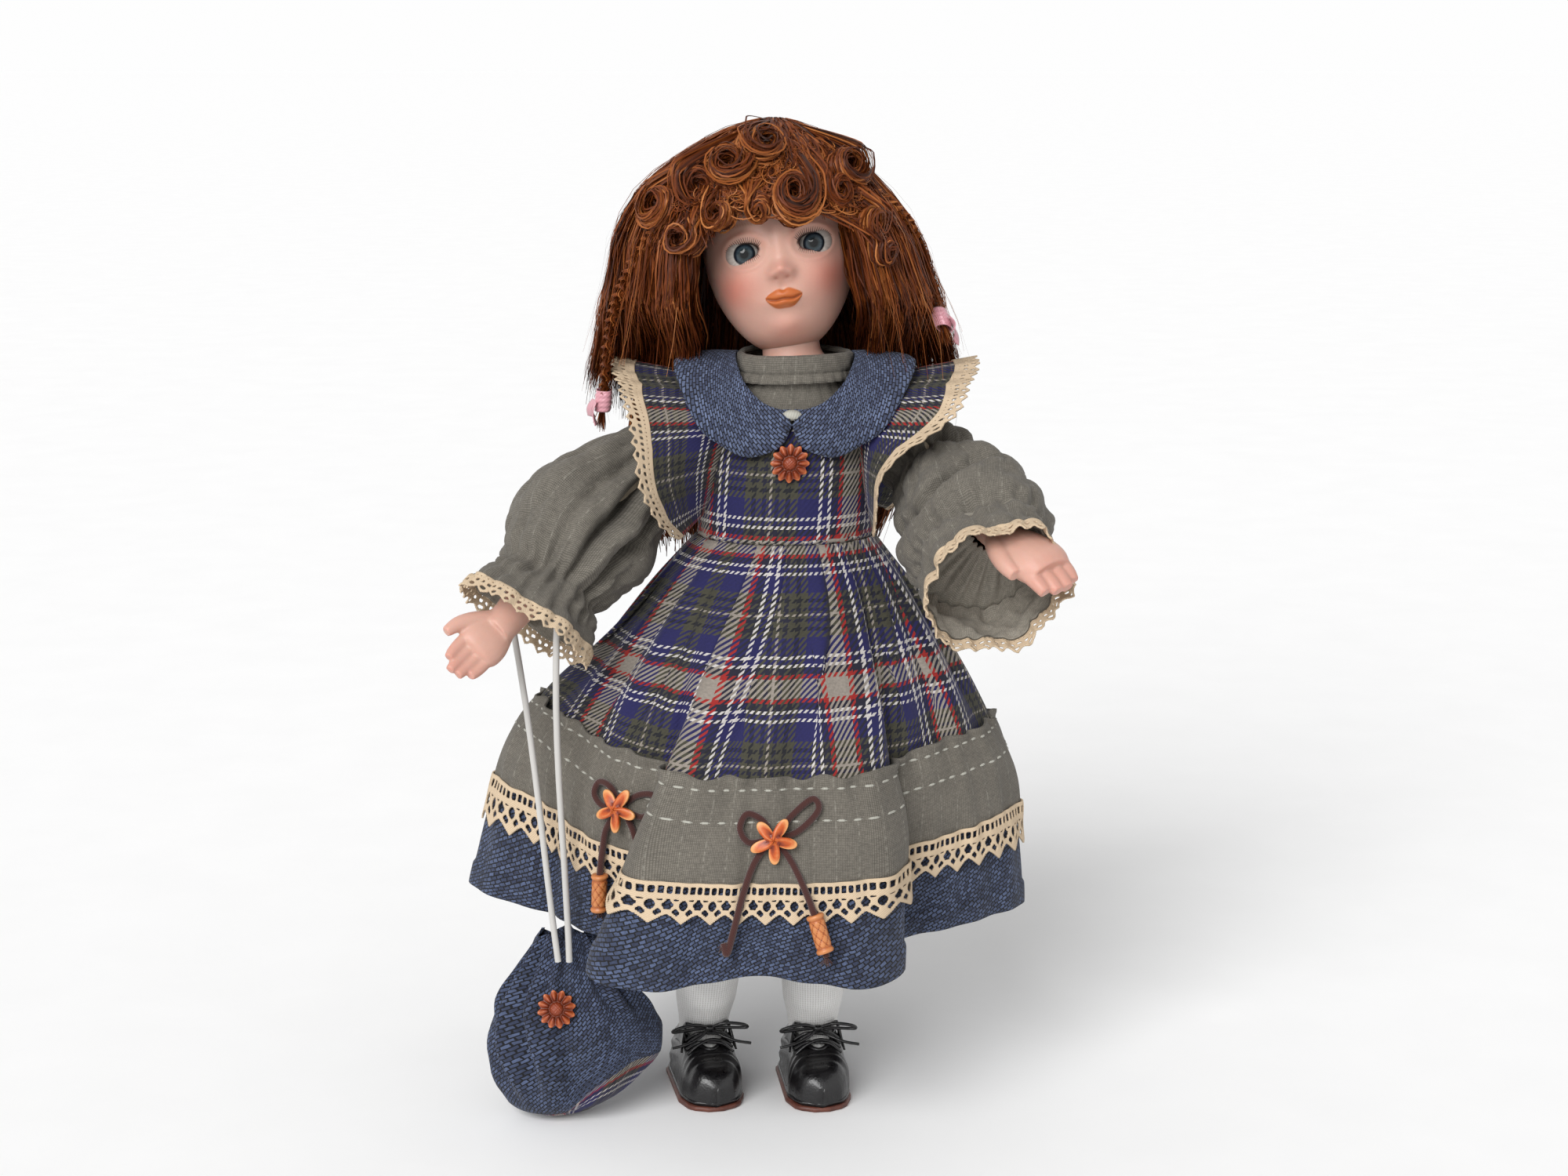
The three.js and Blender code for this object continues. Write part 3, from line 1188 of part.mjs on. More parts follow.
add(figure, "head", inHead(head()), BISQUE, 0.5);
add(figure, "pate", inHead(pate()), CREAM);
add(figure, "wig_cap", inHead(wigCap()), HAIR);
add(figure, "wig", wig(), HAIR, 0.5);
add(figure, "fringe", fringe(), HAIR, 0.5);
add(figure, "back_hair", backHair(), HAIR, 0.5);
for (const [name, side] of Object.entries(SIDES)) {
  const plait = braid(BRAIDS[name]);
  add(figure, `eye_${name}`, inHead(eye(side)), GLASS, 0.1);
  add(figure, `braid_${name}`, plait.geometry, HAIR, 0.5);
  add(figure, `ribbon_${name}`, ribbon(plait.points), PINK, 0.5);
  add(figure, `upper_arm_${name}`, upperArm(side), MUSLIN);
  add(figure, `forearm_${name}`, forearm(side), BISQUE, 0.5);
  add(figure, `sleeve_${name}`, sleeve(side), LINEN);
  add(figure, `cuff_lace_${name}`, cuffLace(side), CREAM);
  add(figure, `collar_${name}`, collar(side), DENIM);
  add(figure, `ruffle_${name}`, ruffle(side), PLAID);
  add(figure, `ruffle_lace_${name}`, ruffleLace(side), CREAM);
  add(figure, `thigh_${name}`, thigh(side), MUSLIN);
  add(figure, `lower_leg_${name}`, lowerLeg(side), BISQUE, 0.5);
  add(figure, `stocking_${name}`, stocking(side), KNITTED);
  add(figure, `shoe_${name}`, shoe(side), LEATHER, 0.3);
  add(figure, `sole_${name}`, sole(side), SOLE_BROWN, 0.6);
  add(figure, `shoelace_${name}`, shoelace(side), LEATHER, 0.6);
}

add(hung, "bag", bag(), DENIM);
add(hung, "bag_base", bagBase(), PLAID);
add(hung, "bag_flower", bagFlower(), RUST, 0.6);
add(hung, "bag_cord", bagCord(), SATIN, 0.4);

figure.matrixAutoUpdate = false;
figure.matrix.makeShear(0, 0, 0, 0, LEAN, 0);

const doll = new THREE.Group();
doll.name = "doll";
doll.add(figure, hung);
doll.position.y = DEPTH_SHIFT;

export default doll;
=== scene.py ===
"""A bisque doll in a plaid pinafore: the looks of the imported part, in its own frame."""

import json
import math

import bpy
import numpy as np
from mathutils import Matrix


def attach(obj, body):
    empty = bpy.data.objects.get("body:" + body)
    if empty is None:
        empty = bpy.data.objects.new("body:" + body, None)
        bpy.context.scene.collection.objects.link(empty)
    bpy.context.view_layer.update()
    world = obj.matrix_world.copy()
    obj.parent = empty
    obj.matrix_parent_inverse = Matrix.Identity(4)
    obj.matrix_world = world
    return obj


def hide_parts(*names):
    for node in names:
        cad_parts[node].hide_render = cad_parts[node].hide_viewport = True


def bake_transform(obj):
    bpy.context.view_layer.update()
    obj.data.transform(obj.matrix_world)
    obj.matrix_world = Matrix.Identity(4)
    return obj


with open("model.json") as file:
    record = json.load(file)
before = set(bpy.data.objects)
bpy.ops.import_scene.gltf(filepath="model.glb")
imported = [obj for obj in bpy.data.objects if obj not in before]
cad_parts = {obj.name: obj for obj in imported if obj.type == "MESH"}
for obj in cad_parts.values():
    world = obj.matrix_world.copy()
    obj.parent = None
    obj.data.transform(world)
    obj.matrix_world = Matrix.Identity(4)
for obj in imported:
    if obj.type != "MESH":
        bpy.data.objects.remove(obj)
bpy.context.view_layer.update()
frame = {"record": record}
BODY = {n: body for body, nodes in frame["record"]["behaviour"]["bodies"].items() for n in nodes}
SIDES = {"left": 1, "right": -1}
TAU = 2 * math.pi
MM = 0.001
LEAN = 0.055  # how far the figure leans to its left for each millimetre up
SHIFT = 12.8  # how far the figure stands behind the frame's origin
rng = np.random.default_rng(11)


# Numbers and places, in millimetres until figure() or hung() turns them into the part's frame


def mix(a, b, t):
    return a + (b - a) * t


def smooth(low, high, x):
    t = np.clip((np.asarray(x, float) - low) / (high - low), 0, 1)
    return t * t * (3 - 2 * t)


def hump(x, middle, width):
    return np.exp(-(((x - middle) / width) ** 2))


def vec(*xyz):
    return np.array(xyz, float)


def unit(v):
    return v / np.maximum(np.linalg.norm(v, axis=-1, keepdims=True), 1e-12)


def figure(p):
    """From the leaning figure's own frame."""
    p = np.asarray(p, float)
    return np.stack([p[..., 0] + LEAN * p[..., 2], p[..., 1] + SHIFT, p[..., 2]], -1) * MM


def hung(p):
    """From the frame of the bag, which hangs plumb."""
    return (np.asarray(p, float) + [0, SHIFT, 0]) * MM


def turn(degrees, axis):
    return np.array(Matrix.Rotation(math.radians(degrees), 3, axis))


HEAD = turn(-9.5, "Y") @ turn(-7, "X") @ turn(-0.5, "Z")
NECK = vec(0, 0, 297)


def in_head(p):
    """From the frame of the tilted head, whose origin is the neck's pivot."""
    return figure(np.asarray(p, float) @ HEAD.T + NECK)


def rows_at(rows, z, soft=0.0):
    """Columns of a table read at heights z, softened over the given height."""
    rows = np.array(rows, float)
    at = [z - soft, z, z + soft]
    return [sum(np.interp(h, rows[:, 0], rows[:, k]) for h in at) / 3 for k in range(1, rows.shape[1])]


def circle(count):
    return np.arange(count) * TAU / count


def lengths(path):
    """Length from the first place of a path to each of its places."""
    return np.concatenate([[0], np.cumsum(np.linalg.norm(np.diff(path, axis=0), axis=1))])


def moved(at, *steps):
    """Places reached from at by steps, each an amount and a direction."""
    for amount, way in steps:
        at = at + np.asarray(amount)[..., None] * way
    return at


def spline(points, count):
    """Places along a smooth line through points."""
    p = np.asarray(points, float)
    p = np.vstack([2 * p[0] - p[1], p, 2 * p[-1] - p[-2]])
    t = np.linspace(0, len(points) - 1, count)
    i = np.minimum(t.astype(int), len(points) - 2)
    s = (t - i)[:, None]
    a, b, c, d = p[i], p[i + 1], p[i + 2], p[i + 3]
    return 0.5 * (2 * b + (c - a) * s + (2 * a - 5 * b + 4 * c - d) * s**2 + (3 * b - a - 3 * c + d) * s**3)


def tube(path, radius, sides=8, hint=(0.13, -0.4, 0.9), flat=1.0):
    """Rings around a path, closed at both ends."""
    path = np.asarray(path, float)
    hint = unit(vec(*hint))
    along = unit(np.gradient(path, axis=0))
    second = unit(hint - (along @ hint)[:, None] * along)
    first = np.cross(second, along)
    a = circle(sides)
    r = np.broadcast_to(radius, len(path))[:, None, None]
    around = np.cos(a)[:, None] * first[:, None] + flat * np.sin(a)[:, None] * second[:, None]
    rings = path[:, None] + r * around
    ends = [np.repeat(path[k][None, None], sides, 1) for k in (0, -1)]
    return np.concatenate([ends[0], rings, ends[1]])


def closed(points):
    """The same rings with both ends drawn together."""
    ends = [np.repeat(points[k].mean(0)[None, None], points.shape[1], 1) for k in (0, -1)]
    return np.concatenate([ends[0], points, ends[1]])


def around(cols, width, v):
    """Cloth coordinates of a closed ring of the given width, rows at lengths v."""
    u = np.linspace(0, width, cols + 1)
    return np.stack(np.meshgrid(u, v), -1) * MM


class Shape:
    """Grids collected for one mesh, in metres."""

    def __init__(self):
        self.verts, self.quads, self.uvs, self.tints, self.looks = [], [], [], [], []
        self.count = 0

    def raw(self, verts, quads, uvs, tints, look=0):
        self.verts.append(verts)
        self.quads.append(quads + self.count)
        self.uvs.append(uvs)
        self.tints.append(tints)
        self.looks.append(np.full(len(quads), look))
        self.count += len(verts)
        return self

    def grid(self, points, wrap=False, uv=None, tint=0.5, look=0, keep=None):
        """Rows of places. wrap joins the last column to the first, and keep picks the quads that stay."""
        rows, cols = points.shape[:2]
        span = cols if wrap else cols - 1
        r, c = np.meshgrid(np.arange(rows - 1) * cols, np.arange(span), indexing="ij")
        n = (c + 1) % cols
        quads = np.stack([r + c, r + n, r + cols + n, r + cols + c], -1).reshape(-1, 4)
        if uv is None:
            steps = np.linalg.norm(np.diff(points, axis=0), axis=2).mean(1)
            v = np.concatenate([[0], np.cumsum(steps)])
            width = np.linalg.norm(np.diff(points, axis=1), axis=2).sum(1).mean()
            uv = np.stack(np.meshgrid(np.linspace(0, width, span + 1), v), -1)
        corners = np.stack([uv[:-1, :-1], uv[:-1, 1:], uv[1:, 1:], uv[1:, :-1]], 2).reshape(-1, 4, 2)
        if keep is not None:
            quads, corners = quads[keep.ravel()], corners[keep.ravel()]
        tint = np.asarray(tint, float)
        if tint.shape[-1:] != (3,):
            tint = tint[..., None]
        colour = np.ones((rows * cols, 4))
        colour[:, :3] = np.broadcast_to(tint, (rows, cols, 3)).reshape(-1, 3)
        return self.raw(points.reshape(-1, 3), quads, corners, colour, look)

    def thread(self, path, radius, sides=8, hint=(0.13, -0.4, 0.9), flat=1.0, look=0, place=figure):
        """A closed tube along a path, both in millimetres."""
        return self.grid(tube(place(path), np.asarray(radius) * MM, sides, hint, flat), True, look=look)

    def strands(self, paths, out, radius, tints):
        """Many hairs at once, each a narrow ribbon. paths and out are hairs by places by three."""
        n, k = paths.shape[:2]
        side = unit(np.cross(unit(np.gradient(paths, axis=1)), out))
        roll = rng.uniform(-0.8, 0.8, (n, 1, 1))
        across = np.cos(roll) * side + np.sin(roll) * unit(out)
        wide = radius * MM * (1 - 0.6 * np.linspace(0, 1, k) ** 3)[None, :, None]
        edges = np.stack([paths - wide * across, paths + wide * across], 2)
        h, i = np.meshgrid(np.arange(n), np.arange(k - 1), indexing="ij")
        at = (h * k + i) * 2
        quads = np.stack([at, at + 1, at + 3, at + 2], -1).reshape(-1, 4)
        uv = np.stack([np.zeros(n * (k - 1)), np.tile(np.arange(k - 1) / k, n)], -1)[:, None].repeat(4, 1)
        colour = np.ones((n * k * 2, 4))
        colour[:, :3] = np.repeat(np.clip(tints, 0.03, 1.0), k * 2)[:, None]
        return self.raw(edges.reshape(-1, 3), quads, uv, colour)


def add(name, data):
    """A new object of the scene."""
    obj = bpy.data.objects.new(name, data)
    bpy.context.scene.collection.objects.link(obj)
    return obj


def paint(mesh, colour):
    """Writes a colour for every vertex, which the looks read as tint."""
    layer = mesh.color_attributes.get("tint") or mesh.color_attributes.new("tint", "FLOAT_COLOR", "POINT")
    layer.data.foreach_set("color", colour.ravel())


def piece(name, shape, look, node, thick=0.0, offset=-1.0, blend=None, voxel=0.0, relax=0, inside_look=0):
    """Makes the mesh and ties it to the frame: it replaces node and rides on its body, or when blend is given
    is left unparented in the part's frame.
    """
    mesh = bpy.data.meshes.new(name)
    mesh.from_pydata(np.concatenate(shape.verts).tolist(), [], np.concatenate(shape.quads).tolist())
    mesh.uv_layers.new(name="weave").data.foreach_set("uv", np.concatenate(shape.uvs).ravel())
    paint(mesh, np.concatenate(shape.tints))
    mesh.polygons.foreach_set("material_index", np.concatenate(shape.looks))
    for one in look if isinstance(look, list) else [look]:
        mesh.materials.append(one)
    obj = add(name, mesh)
    if voxel:
        skin = obj.modifiers.new("skin", "REMESH")
        skin.mode = "VOXEL"
        skin.voxel_size = voxel * MM
    if relax:
        obj.modifiers.new("relax", "SMOOTH").iterations = relax
    if thick:
        wall = obj.modifiers.new("thickness", "SOLIDIFY")
        wall.thickness = thick * MM
        wall.offset = offset
        # The inner faces move this many looks on; the sleeves use this for the lighter linen, painted light
        # inside them.
        wall.material_offset = inside_look
    if len(obj.modifiers):
        graph = bpy.context.evaluated_depsgraph_get()
        shown = obj.evaluated_get(graph)
        made = bpy.data.meshes.new_from_object(shown, preserve_all_data_layers=True, depsgraph=graph)
        obj.modifiers.clear()
        obj.data = made
    obj.data.polygons.foreach_set("use_smooth", np.ones(len(obj.data.polygons), bool))
    obj.data.validate()
    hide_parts(node)
    if blend:
        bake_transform(obj)
    else:
        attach(obj, BODY[node])
    return obj


# Materials


def srgb(r, g, b):
    lin = [c / 255 / 12.92 if c < 10.3 else ((c / 255 + 0.055) / 1.055) ** 2.4 for c in (r, g, b)]
    return (*lin, 1.0)


def rgb(r, g, b):
    return np.array(srgb(r, g, b)[:3])


def tones(*rows):
    """Stops of a ramp, each a place and its red, green and blue."""
    return [(place, srgb(*colour)) for place, *colour in rows]


class Nodes:
    """A node tree. Nodes take plain numbers, colours or other nodes' outputs."""

    def __init__(self, tree):
        self.tree = tree

    def node(self, kind, inputs=None, **props):
        made = self.tree.nodes.new("ShaderNode" + kind)
        for key, value in props.items():
            setattr(made, key, value)
        for key, value in (inputs or {}).items():
            self.plug(made.inputs[key], value)
        return made

    def plug(self, socket, value):
        if isinstance(value, bpy.types.NodeSocket):
            self.tree.links.new(value, socket)
        else:
            socket.default_value = value

    def math(self, operation, a, b=0.0):
        return self.node("Math", {0: a, 1: b}, operation=operation).outputs[0]


class Look(Nodes):
    """A material on the principled shader."""

    def __init__(self, name, **sockets):
        self.material = bpy.data.materials.new(name)
        self.material.use_nodes = True
        super().__init__(self.material.node_tree)
        self.bsdf = self.tree.nodes["Principled BSDF"]
        for key, value in sockets.items():
            self.bsdf.inputs[key.replace("_", " ").title().replace("Ior", "IOR")].default_value = value

    def mix(self, share, a, b, blend="MIX"):
        made = self.node("Mix", {0: share, 6: a, 7: b}, data_type="RGBA", blend_type=blend)
        return made.outputs[2]

    def ramp(self, value, stops, sharp=False):
        """A colour ramp. Each stop is a place and a colour, or a plain number for a grey."""
        made = self.node("ValToRGB", {0: value})
        ramp = made.color_ramp
        ramp.interpolation = "CONSTANT" if sharp else "LINEAR"
        while len(ramp.elements) < len(stops):
            ramp.elements.new(0.5)
        for element, (place, tone) in zip(ramp.elements, stops):
            element.position = place
            element.color = tone if isinstance(tone, tuple) else (tone, tone, tone, 1)
        return made.outputs[0]

    def millimetres(self, vector):
        return self.node("VectorMath", {0: vector, 3: 1000.0}, operation="SCALE").outputs[0]

    def weave(self):
        """The cloth's own coordinates."""
        return self.millimetres(self.node("UVMap", uv_map="weave").outputs[0])

    def place(self):
        """The place in the part."""
        return self.millimetres(self.node("TexCoord").outputs["Object"])

    def ways(self, vector):
        return self.node("SeparateXYZ", {0: vector}).outputs[:2]

    def noise(self, vector, scale, detail=3.0, rough=0.55):
        inputs = {"Vector": vector, "Scale": scale, "Detail": detail, "Roughness": rough}
        return self.node("TexNoise", inputs).outputs[0]

    def wave(self, vector, scale, distortion, detail=2.0, finer=1.0, way="X"):
        inputs = {"Vector": vector, "Scale": scale, "Distortion": distortion}
        inputs.update({"Detail": detail, "Detail Scale": finer})
        return self.node("TexWave", inputs, bands_direction=way).outputs[1]

    def tint(self):
        return self.node("VertexColor", layer_name="tint").outputs[0]

    def shade(self, colour, noise, low):
        """Darkens a colour down to low where the noise is low."""
        return self.mix(1.0, colour, self.ramp(noise, [(0.25, low), (0.75, 1.0)]), "MULTIPLY")

    def bump(self, height, strength, distance):
        made = self.node("Bump", {"Strength": strength, "Distance": distance * MM, "Height": height})
        self.plug(self.bsdf.inputs["Normal"], made.outputs[0])

    def colour(self, colour):
        self.plug(self.bsdf.inputs["Base Color"], colour)
        return self.material

    def rough(self, value):
        self.plug(self.bsdf.inputs["Roughness"], value)


def plaid_look():
    look = Look("plaid_cotton", roughness=0.86, sheen_weight=0.06)
    weave = look.weave()
    x, y = look.ways(weave)
    navy, royal, dark, olive = srgb(15, 14, 38), srgb(22, 20, 80), srgb(10, 10, 20), srgb(62, 60, 46)
    cream, red, white = srgb(150, 141, 131), srgb(156, 27, 22), srgb(206, 201, 198)
    bands = [(0, cream), (3.8, red), (5.6, navy), (8.4, white), (9.7, royal), (11.8, white), (13.1, royal)]
    bands += [(20.6, olive), (23.2, dark), (24.8, olive), (27, navy), (28.4, olive), (29.5, cream)]
    half_sett = 30.0
    stops = [(at / half_sett, colour) for at, colour in bands]
    shares = [look.math("DIVIDE", look.math("PINGPONG", way, half_sett), half_sett) for way in (x, y)]
    warp, weft = [look.ramp(share, stops, True) for share in shares]
    twill = look.math("ADD", look.math("MULTIPLY", x, 0.49), look.math("MULTIPLY", y, 0.34))
    cloth = look.mix(look.math("GREATER_THAN", look.math("FRACT", twill), 0.5), warp, weft)
    fine = look.noise(weave, 1.1, 2.0)
    cloth = look.shade(look.shade(cloth, fine, 0.7), look.noise(weave, 0.05), 0.86)
    ridge = look.math("PINGPONG", twill, 0.5)
    look.bump(look.math("ADD", ridge, look.math("MULTIPLY", fine, 0.5)), 0.4, 0.4)
    return look.colour(cloth)


def denim_look(name, light, mid, dark):
    look = Look(name, roughness=0.92, sheen_weight=0.05)
    weave = look.weave()
    jitter = look.node("TexNoise", {"Vector": weave, "Scale": 0.6, "Detail": 2.0}).outputs[1]
    spread = {0: jitter, 1: (0.9, 0.9, 0.9), 2: weave}
    uneven = look.node("VectorMath", spread, operation="MULTIPLY_ADD").outputs[0]
    yarn = look.node("VectorRotate", {"Vector": uneven, "Angle": 0.5}, rotation_type="Z_AXIS").outputs[0]
    bricks = {"Brick Width": 2.1, "Row Height": 1.35, "Scale": 1.0, "Bias": -0.1}
    bricks.update({"Color1": light, "Color2": mid, "Mortar": dark, "Mortar Size": 0.26, "Mortar Smooth": 0.5})
    threads = look.node("TexBrick", {"Vector": yarn, **bricks})
    fine = look.noise(weave, 0.9)
    cloth = look.shade(look.shade(threads.outputs[0], fine, 0.5), look.noise(weave, 0.06), 0.74)
    look.bump(look.math("SUBTRACT", look.math("MULTIPLY", fine, 0.6), threads.outputs[1]), 0.6, 0.6)
    return look.colour(cloth)


def linen_look(name, dark, light):
    look = Look(name, roughness=0.9, sheen_weight=0.06)
    weave = look.weave()
    warp, weft = look.wave(weave, 0.55, 1.6, 2.0, 3.0), look.wave(weave, 0.5, 1.8, 2.0, 3.0, "Y")
    threads = look.math("MULTIPLY", warp, weft)
    stripe = look.math("LESS_THAN", look.math("FRACT", look.math("DIVIDE", look.ways(weave)[0], 7.6)), 0.07)
    broken = look.ramp(look.noise(weave, 0.5, 2.0), [(0.45, 0.0), (0.6, 1.0)])
    slub = look.math("MULTIPLY", stripe, broken)
    base = look.ramp(threads, [(0.0, dark), (0.6, light)])
    cloth = look.mix(look.math("MULTIPLY", slub, 0.35), base, srgb(172, 168, 156))
    cloth = look.shade(cloth, look.noise(weave, 0.07, 4.0), 0.76)
    cloth = look.shade(cloth, look.noise(weave, 0.7, 2.0), 0.66)
    look.bump(look.math("ADD", threads, look.math("MULTIPLY", slub, 0.5)), 0.3, 0.3)
    return look.colour(cloth)


def thread_look(name, colour, dark, scale=1.6, rough=0.85, depth=0.25, **sockets):
    """Cotton, ribbon or cord: fine twisted threads with a little variation."""
    look = Look(name, roughness=rough, **sockets)
    weave = look.weave()
    rib = look.wave(weave, scale * 0.4, 2.0, way="DIAGONAL")
    cloth = look.mix(look.math("MULTIPLY", look.noise(weave, scale), rib), dark, colour)
    cloth = look.mix(0.55, cloth, colour)
    look.bump(rib, 0.4, depth)
    return look.colour(look.shade(cloth, look.noise(weave, 0.08), 0.88))


def knit_look():
    look = Look("white_knit", roughness=0.88, sheen_weight=0.15)
    weave = look.weave()
    loops = look.math("MULTIPLY", look.wave(weave, 0.32, 0.8, 1.0, way="Y"), 0.5)
    height = look.math("ADD", look.wave(weave, 0.28, 0.6, 1.0), loops)
    base = look.ramp(height, tones((0.0, 220, 217, 213), (0.9, 250, 249, 247)))
    look.bump(height, 0.4, 0.4)
    return look.colour(look.shade(base, look.noise(weave, 0.1), 0.9))


def bisque_look():
    glow = {"subsurface_weight": 0.25, "subsurface_scale": 0.004}
    look = Look("bisque", roughness=0.45, specular_ior_level=0.35, **glow)
    at = look.place()
    mottle = look.noise(at, 0.12, 4.0)
    grain = look.noise(at, 2.2, 2.0)
    look.rough(look.ramp(mottle, [(0.3, 0.38), (0.7, 0.5)]))
    look.bump(grain, 0.04, 0.1)
    return look.colour(look.shade(look.shade(look.tint(), mottle, 0.93), grain, 0.96))


def varied_tint(look, noise, size):
    """The tint moved up and down by a noise."""
    return look.math("ADD", look.tint(), look.math("MULTIPLY", look.math("SUBTRACT", noise, 0.5), size))


def hair_look():
    look = Look("hair_fibre", roughness=0.5, specular_ior_level=0.2)
    shade = varied_tint(look, look.noise(look.place(), 0.06), 0.5)
    dark = [(0.0, 30, 9, 2), (0.28, 66, 26, 6), (0.55, 104, 48, 16)]
    return look.colour(look.ramp(shade, tones(*dark, (0.8, 142, 78, 32), (1.0, 172, 108, 58))))


def leather_look(name, dark, light, rough, coat):
    look = Look(name, coat_weight=coat, coat_roughness=0.12)
    at = look.place()
    grain = look.node("TexVoronoi", {"Vector": at, "Scale": 1.5, "Randomness": 1.0}).outputs[0]
    creases = look.noise(at, 0.25, 5.0, 0.65)
    look.rough(look.ramp(creases, [(0.3, rough), (0.75, rough + 0.18)]))
    look.bump(look.math("ADD", look.math("MULTIPLY", grain, 0.25), creases), 0.3, 0.8)
    return look.colour(look.ramp(creases, [(0.3, dark), (0.72, light)]))


def painted_look(name, deep, mid, edge):
    """Moulded trim whose tint runs from dark in its hollows to light at its edges."""
    look = Look(name, roughness=0.42)
    worn = look.noise(look.place(), 0.9, 4.0)
    look.bump(worn, 0.15, 0.2)
    return look.colour(look.ramp(varied_tint(look, worn, 0.3), [(0.1, deep), (0.5, mid), (0.95, edge)]))


def eye_look():
    look = Look("glass_eye", roughness=0.12, specular_ior_level=0.3, coat_weight=0.15, coat_roughness=0.03)
    x, y = look.ways(look.weave())
    spokes = look.node("CombineXYZ", {0: look.math("MULTIPLY", x, 0.6), 1: look.math("MULTIPLY", y, 0.05)})
    rays = look.node("TexNoise", {"Vector": spokes.outputs[0], "Scale": 1.0, "Detail": 3.0}).outputs[0]
    pupil = [(0.0, 6, 6, 8), (0.11, 8, 9, 12)]
    iris = [(0.135, 40, 50, 52), (0.215, 64, 78, 86), (0.275, 40, 50, 60), (0.31, 12, 15, 20)]
    white = [(0.335, 60, 60, 64), (0.37, 206, 198, 190), (0.8, 186, 164, 154)]
    return look.colour(look.shade(look.ramp(look.tint(), tones(*pupil, *iris, *white)), rays, 0.6))


PLAID = plaid_look()
DENIM = denim_look("denim", srgb(92, 106, 140), srgb(38, 45, 70), srgb(6, 7, 16))
# A lighter copy of the denim for the collars, which face up: painted light.
DENIM_LIT = denim_look("denim_lit_copy", srgb(112, 126, 160), srgb(56, 64, 92), srgb(12, 14, 30))
LINEN = linen_look("linen", srgb(98, 93, 84), srgb(136, 130, 120))
# A lighter copy of the linen for the insides of the sleeves: painted light that lifts their shade.
LINEN_LIT_INSIDE = linen_look("linen_inside_painted_light", srgb(140, 134, 122), srgb(178, 172, 160))
LACE = thread_look("cream_lace", srgb(224, 202, 172), srgb(160, 136, 108), 2.0)
STITCH = thread_look("white_thread", srgb(196, 194, 184), srgb(130, 130, 120), 2.4)
SATIN = thread_look("white_satin", srgb(214, 212, 208), srgb(164, 162, 158), 1.2, 0.35, sheen_weight=0.2)
MUSLIN = thread_look("muslin", srgb(217, 203, 180), srgb(176, 160, 134), 1.4)
PINK = thread_look("pink_ribbon", srgb(226, 166, 176), srgb(182, 112, 126), 1.0, 0.32, 0.1, sheen_weight=0.2)
SUEDE = thread_look("suede_cord", srgb(74, 34, 28), srgb(34, 14, 12), 1.8, 0.95, 0.3, sheen_weight=0.3)
KNIT = knit_look()
BISQUE = bisque_look()
HAIR = hair_look()
BLACK = leather_look("black_leather", srgb(8, 7, 8), srgb(19, 17, 19), 0.24, 0.2)
SOLE = leather_look("sole_leather", srgb(72, 36, 28), srgb(108, 60, 46), 0.45, 0.05)
RUST = painted_look("rust_button", srgb(66, 22, 8), srgb(132, 52, 18), srgb(176, 92, 44))
STAR = painted_look("rust_star", srgb(112, 36, 8), srgb(186, 80, 20), srgb(216, 150, 92))
BEAD = painted_look("rust_bead", srgb(100, 46, 20), srgb(176, 98, 48), srgb(206, 140, 86))
EYE = eye_look()
INK = painted_look("lash_paint", srgb(34, 20, 14), srgb(58, 34, 24), srgb(84, 54, 38))


# Camera, floor and light

LOOK_AT = vec(12.3, 12.8, 210) * MM
CAMERA_AWAY = 1.1  # metres
CAMERA_TILT = math.radians(12)
FLOOR_HALF = 20  # metres
SKY_LIGHT, SKY_SEEN = 0.53, 0.99  # how bright the sky is as a light, and to the camera and in reflections

camera = add("camera", bpy.data.cameras.new("camera"))
camera.data.lens = 62.26
camera.data.sensor_width = 36
camera.data.sensor_fit = "HORIZONTAL"
camera.location = LOOK_AT + CAMERA_AWAY * vec(0, -math.cos(CAMERA_TILT), math.sin(CAMERA_TILT))
camera.rotation_euler = (math.pi / 2 - CAMERA_TILT, 0, 0)
bpy.context.scene.camera = camera

floor_look = Look("floor_paper", roughness=0.9)
floor_grain = floor_look.noise(floor_look.place(), 0.02)
floor_look.colour(floor_look.ramp(floor_grain, [(0.3, 0.965), (0.7, 0.985)]))
floor_mesh = bpy.data.meshes.new("floor")
floor_corners = [(x * FLOOR_HALF, y * FLOOR_HALF, 0) for x, y in ((-1, -1), (1, -1), (1, 1), (-1, 1))]
floor_mesh.from_pydata(floor_corners, [], [(0, 1, 2, 3)])
floor_mesh.materials.append(floor_look.material)
floor = add("floor", floor_mesh)

sun = add("sun", bpy.data.lights.new("sun", "SUN"))
sun.data.energy = 2.7
sun.data.angle = math.radians(36)
sun.rotation_euler = (math.radians(57), 0, math.radians(-24))
world = bpy.data.worlds.new("world")
bpy.context.scene.world = world
world.use_nodes = True
sky = Nodes(world.node_tree)
rays = sky.node("LightPath").outputs
shiny = sky.math("MAXIMUM", rays["Is Glossy Ray"], rays["Is Transmission Ray"])
seen = sky.math("MAXIMUM", rays["Is Camera Ray"], shiny)
level = sky.node("MapRange", {"Value": seen, "To Min": SKY_LIGHT, "To Max": SKY_SEEN})
background = sky.tree.nodes["Background"]
sky.plug(background.inputs["Strength"], level.outputs[0])
sky.plug(background.inputs["Color"], (1, 1, 1, 1))
bpy.context.scene.view_settings.view_transform = "Standard"


# Arms' places, shared by the cord, the sleeves and the hands

SHOULDER_X, SHOULDER_Z = 40.7, 273
REACH = {
    "right": [vec(-35, -22, -30), vec(-65, -64, -62), vec(-83, -82, -79)],
    "left": [vec(29, -18, -21), vec(40, -62, -29), vec(55, -97, -39)],
}


def arm(name):
    """Shoulder, elbow, wrist and finger tips."""
    shoulder = vec(SIDES[name] * SHOULDER_X, 0, SHOULDER_Z)
    return [shoulder] + [shoulder + p for p in REACH[name]]


# Bag cord, on the route of the part's source

CORD_RADIUS = 1.3
BAG_X = -75


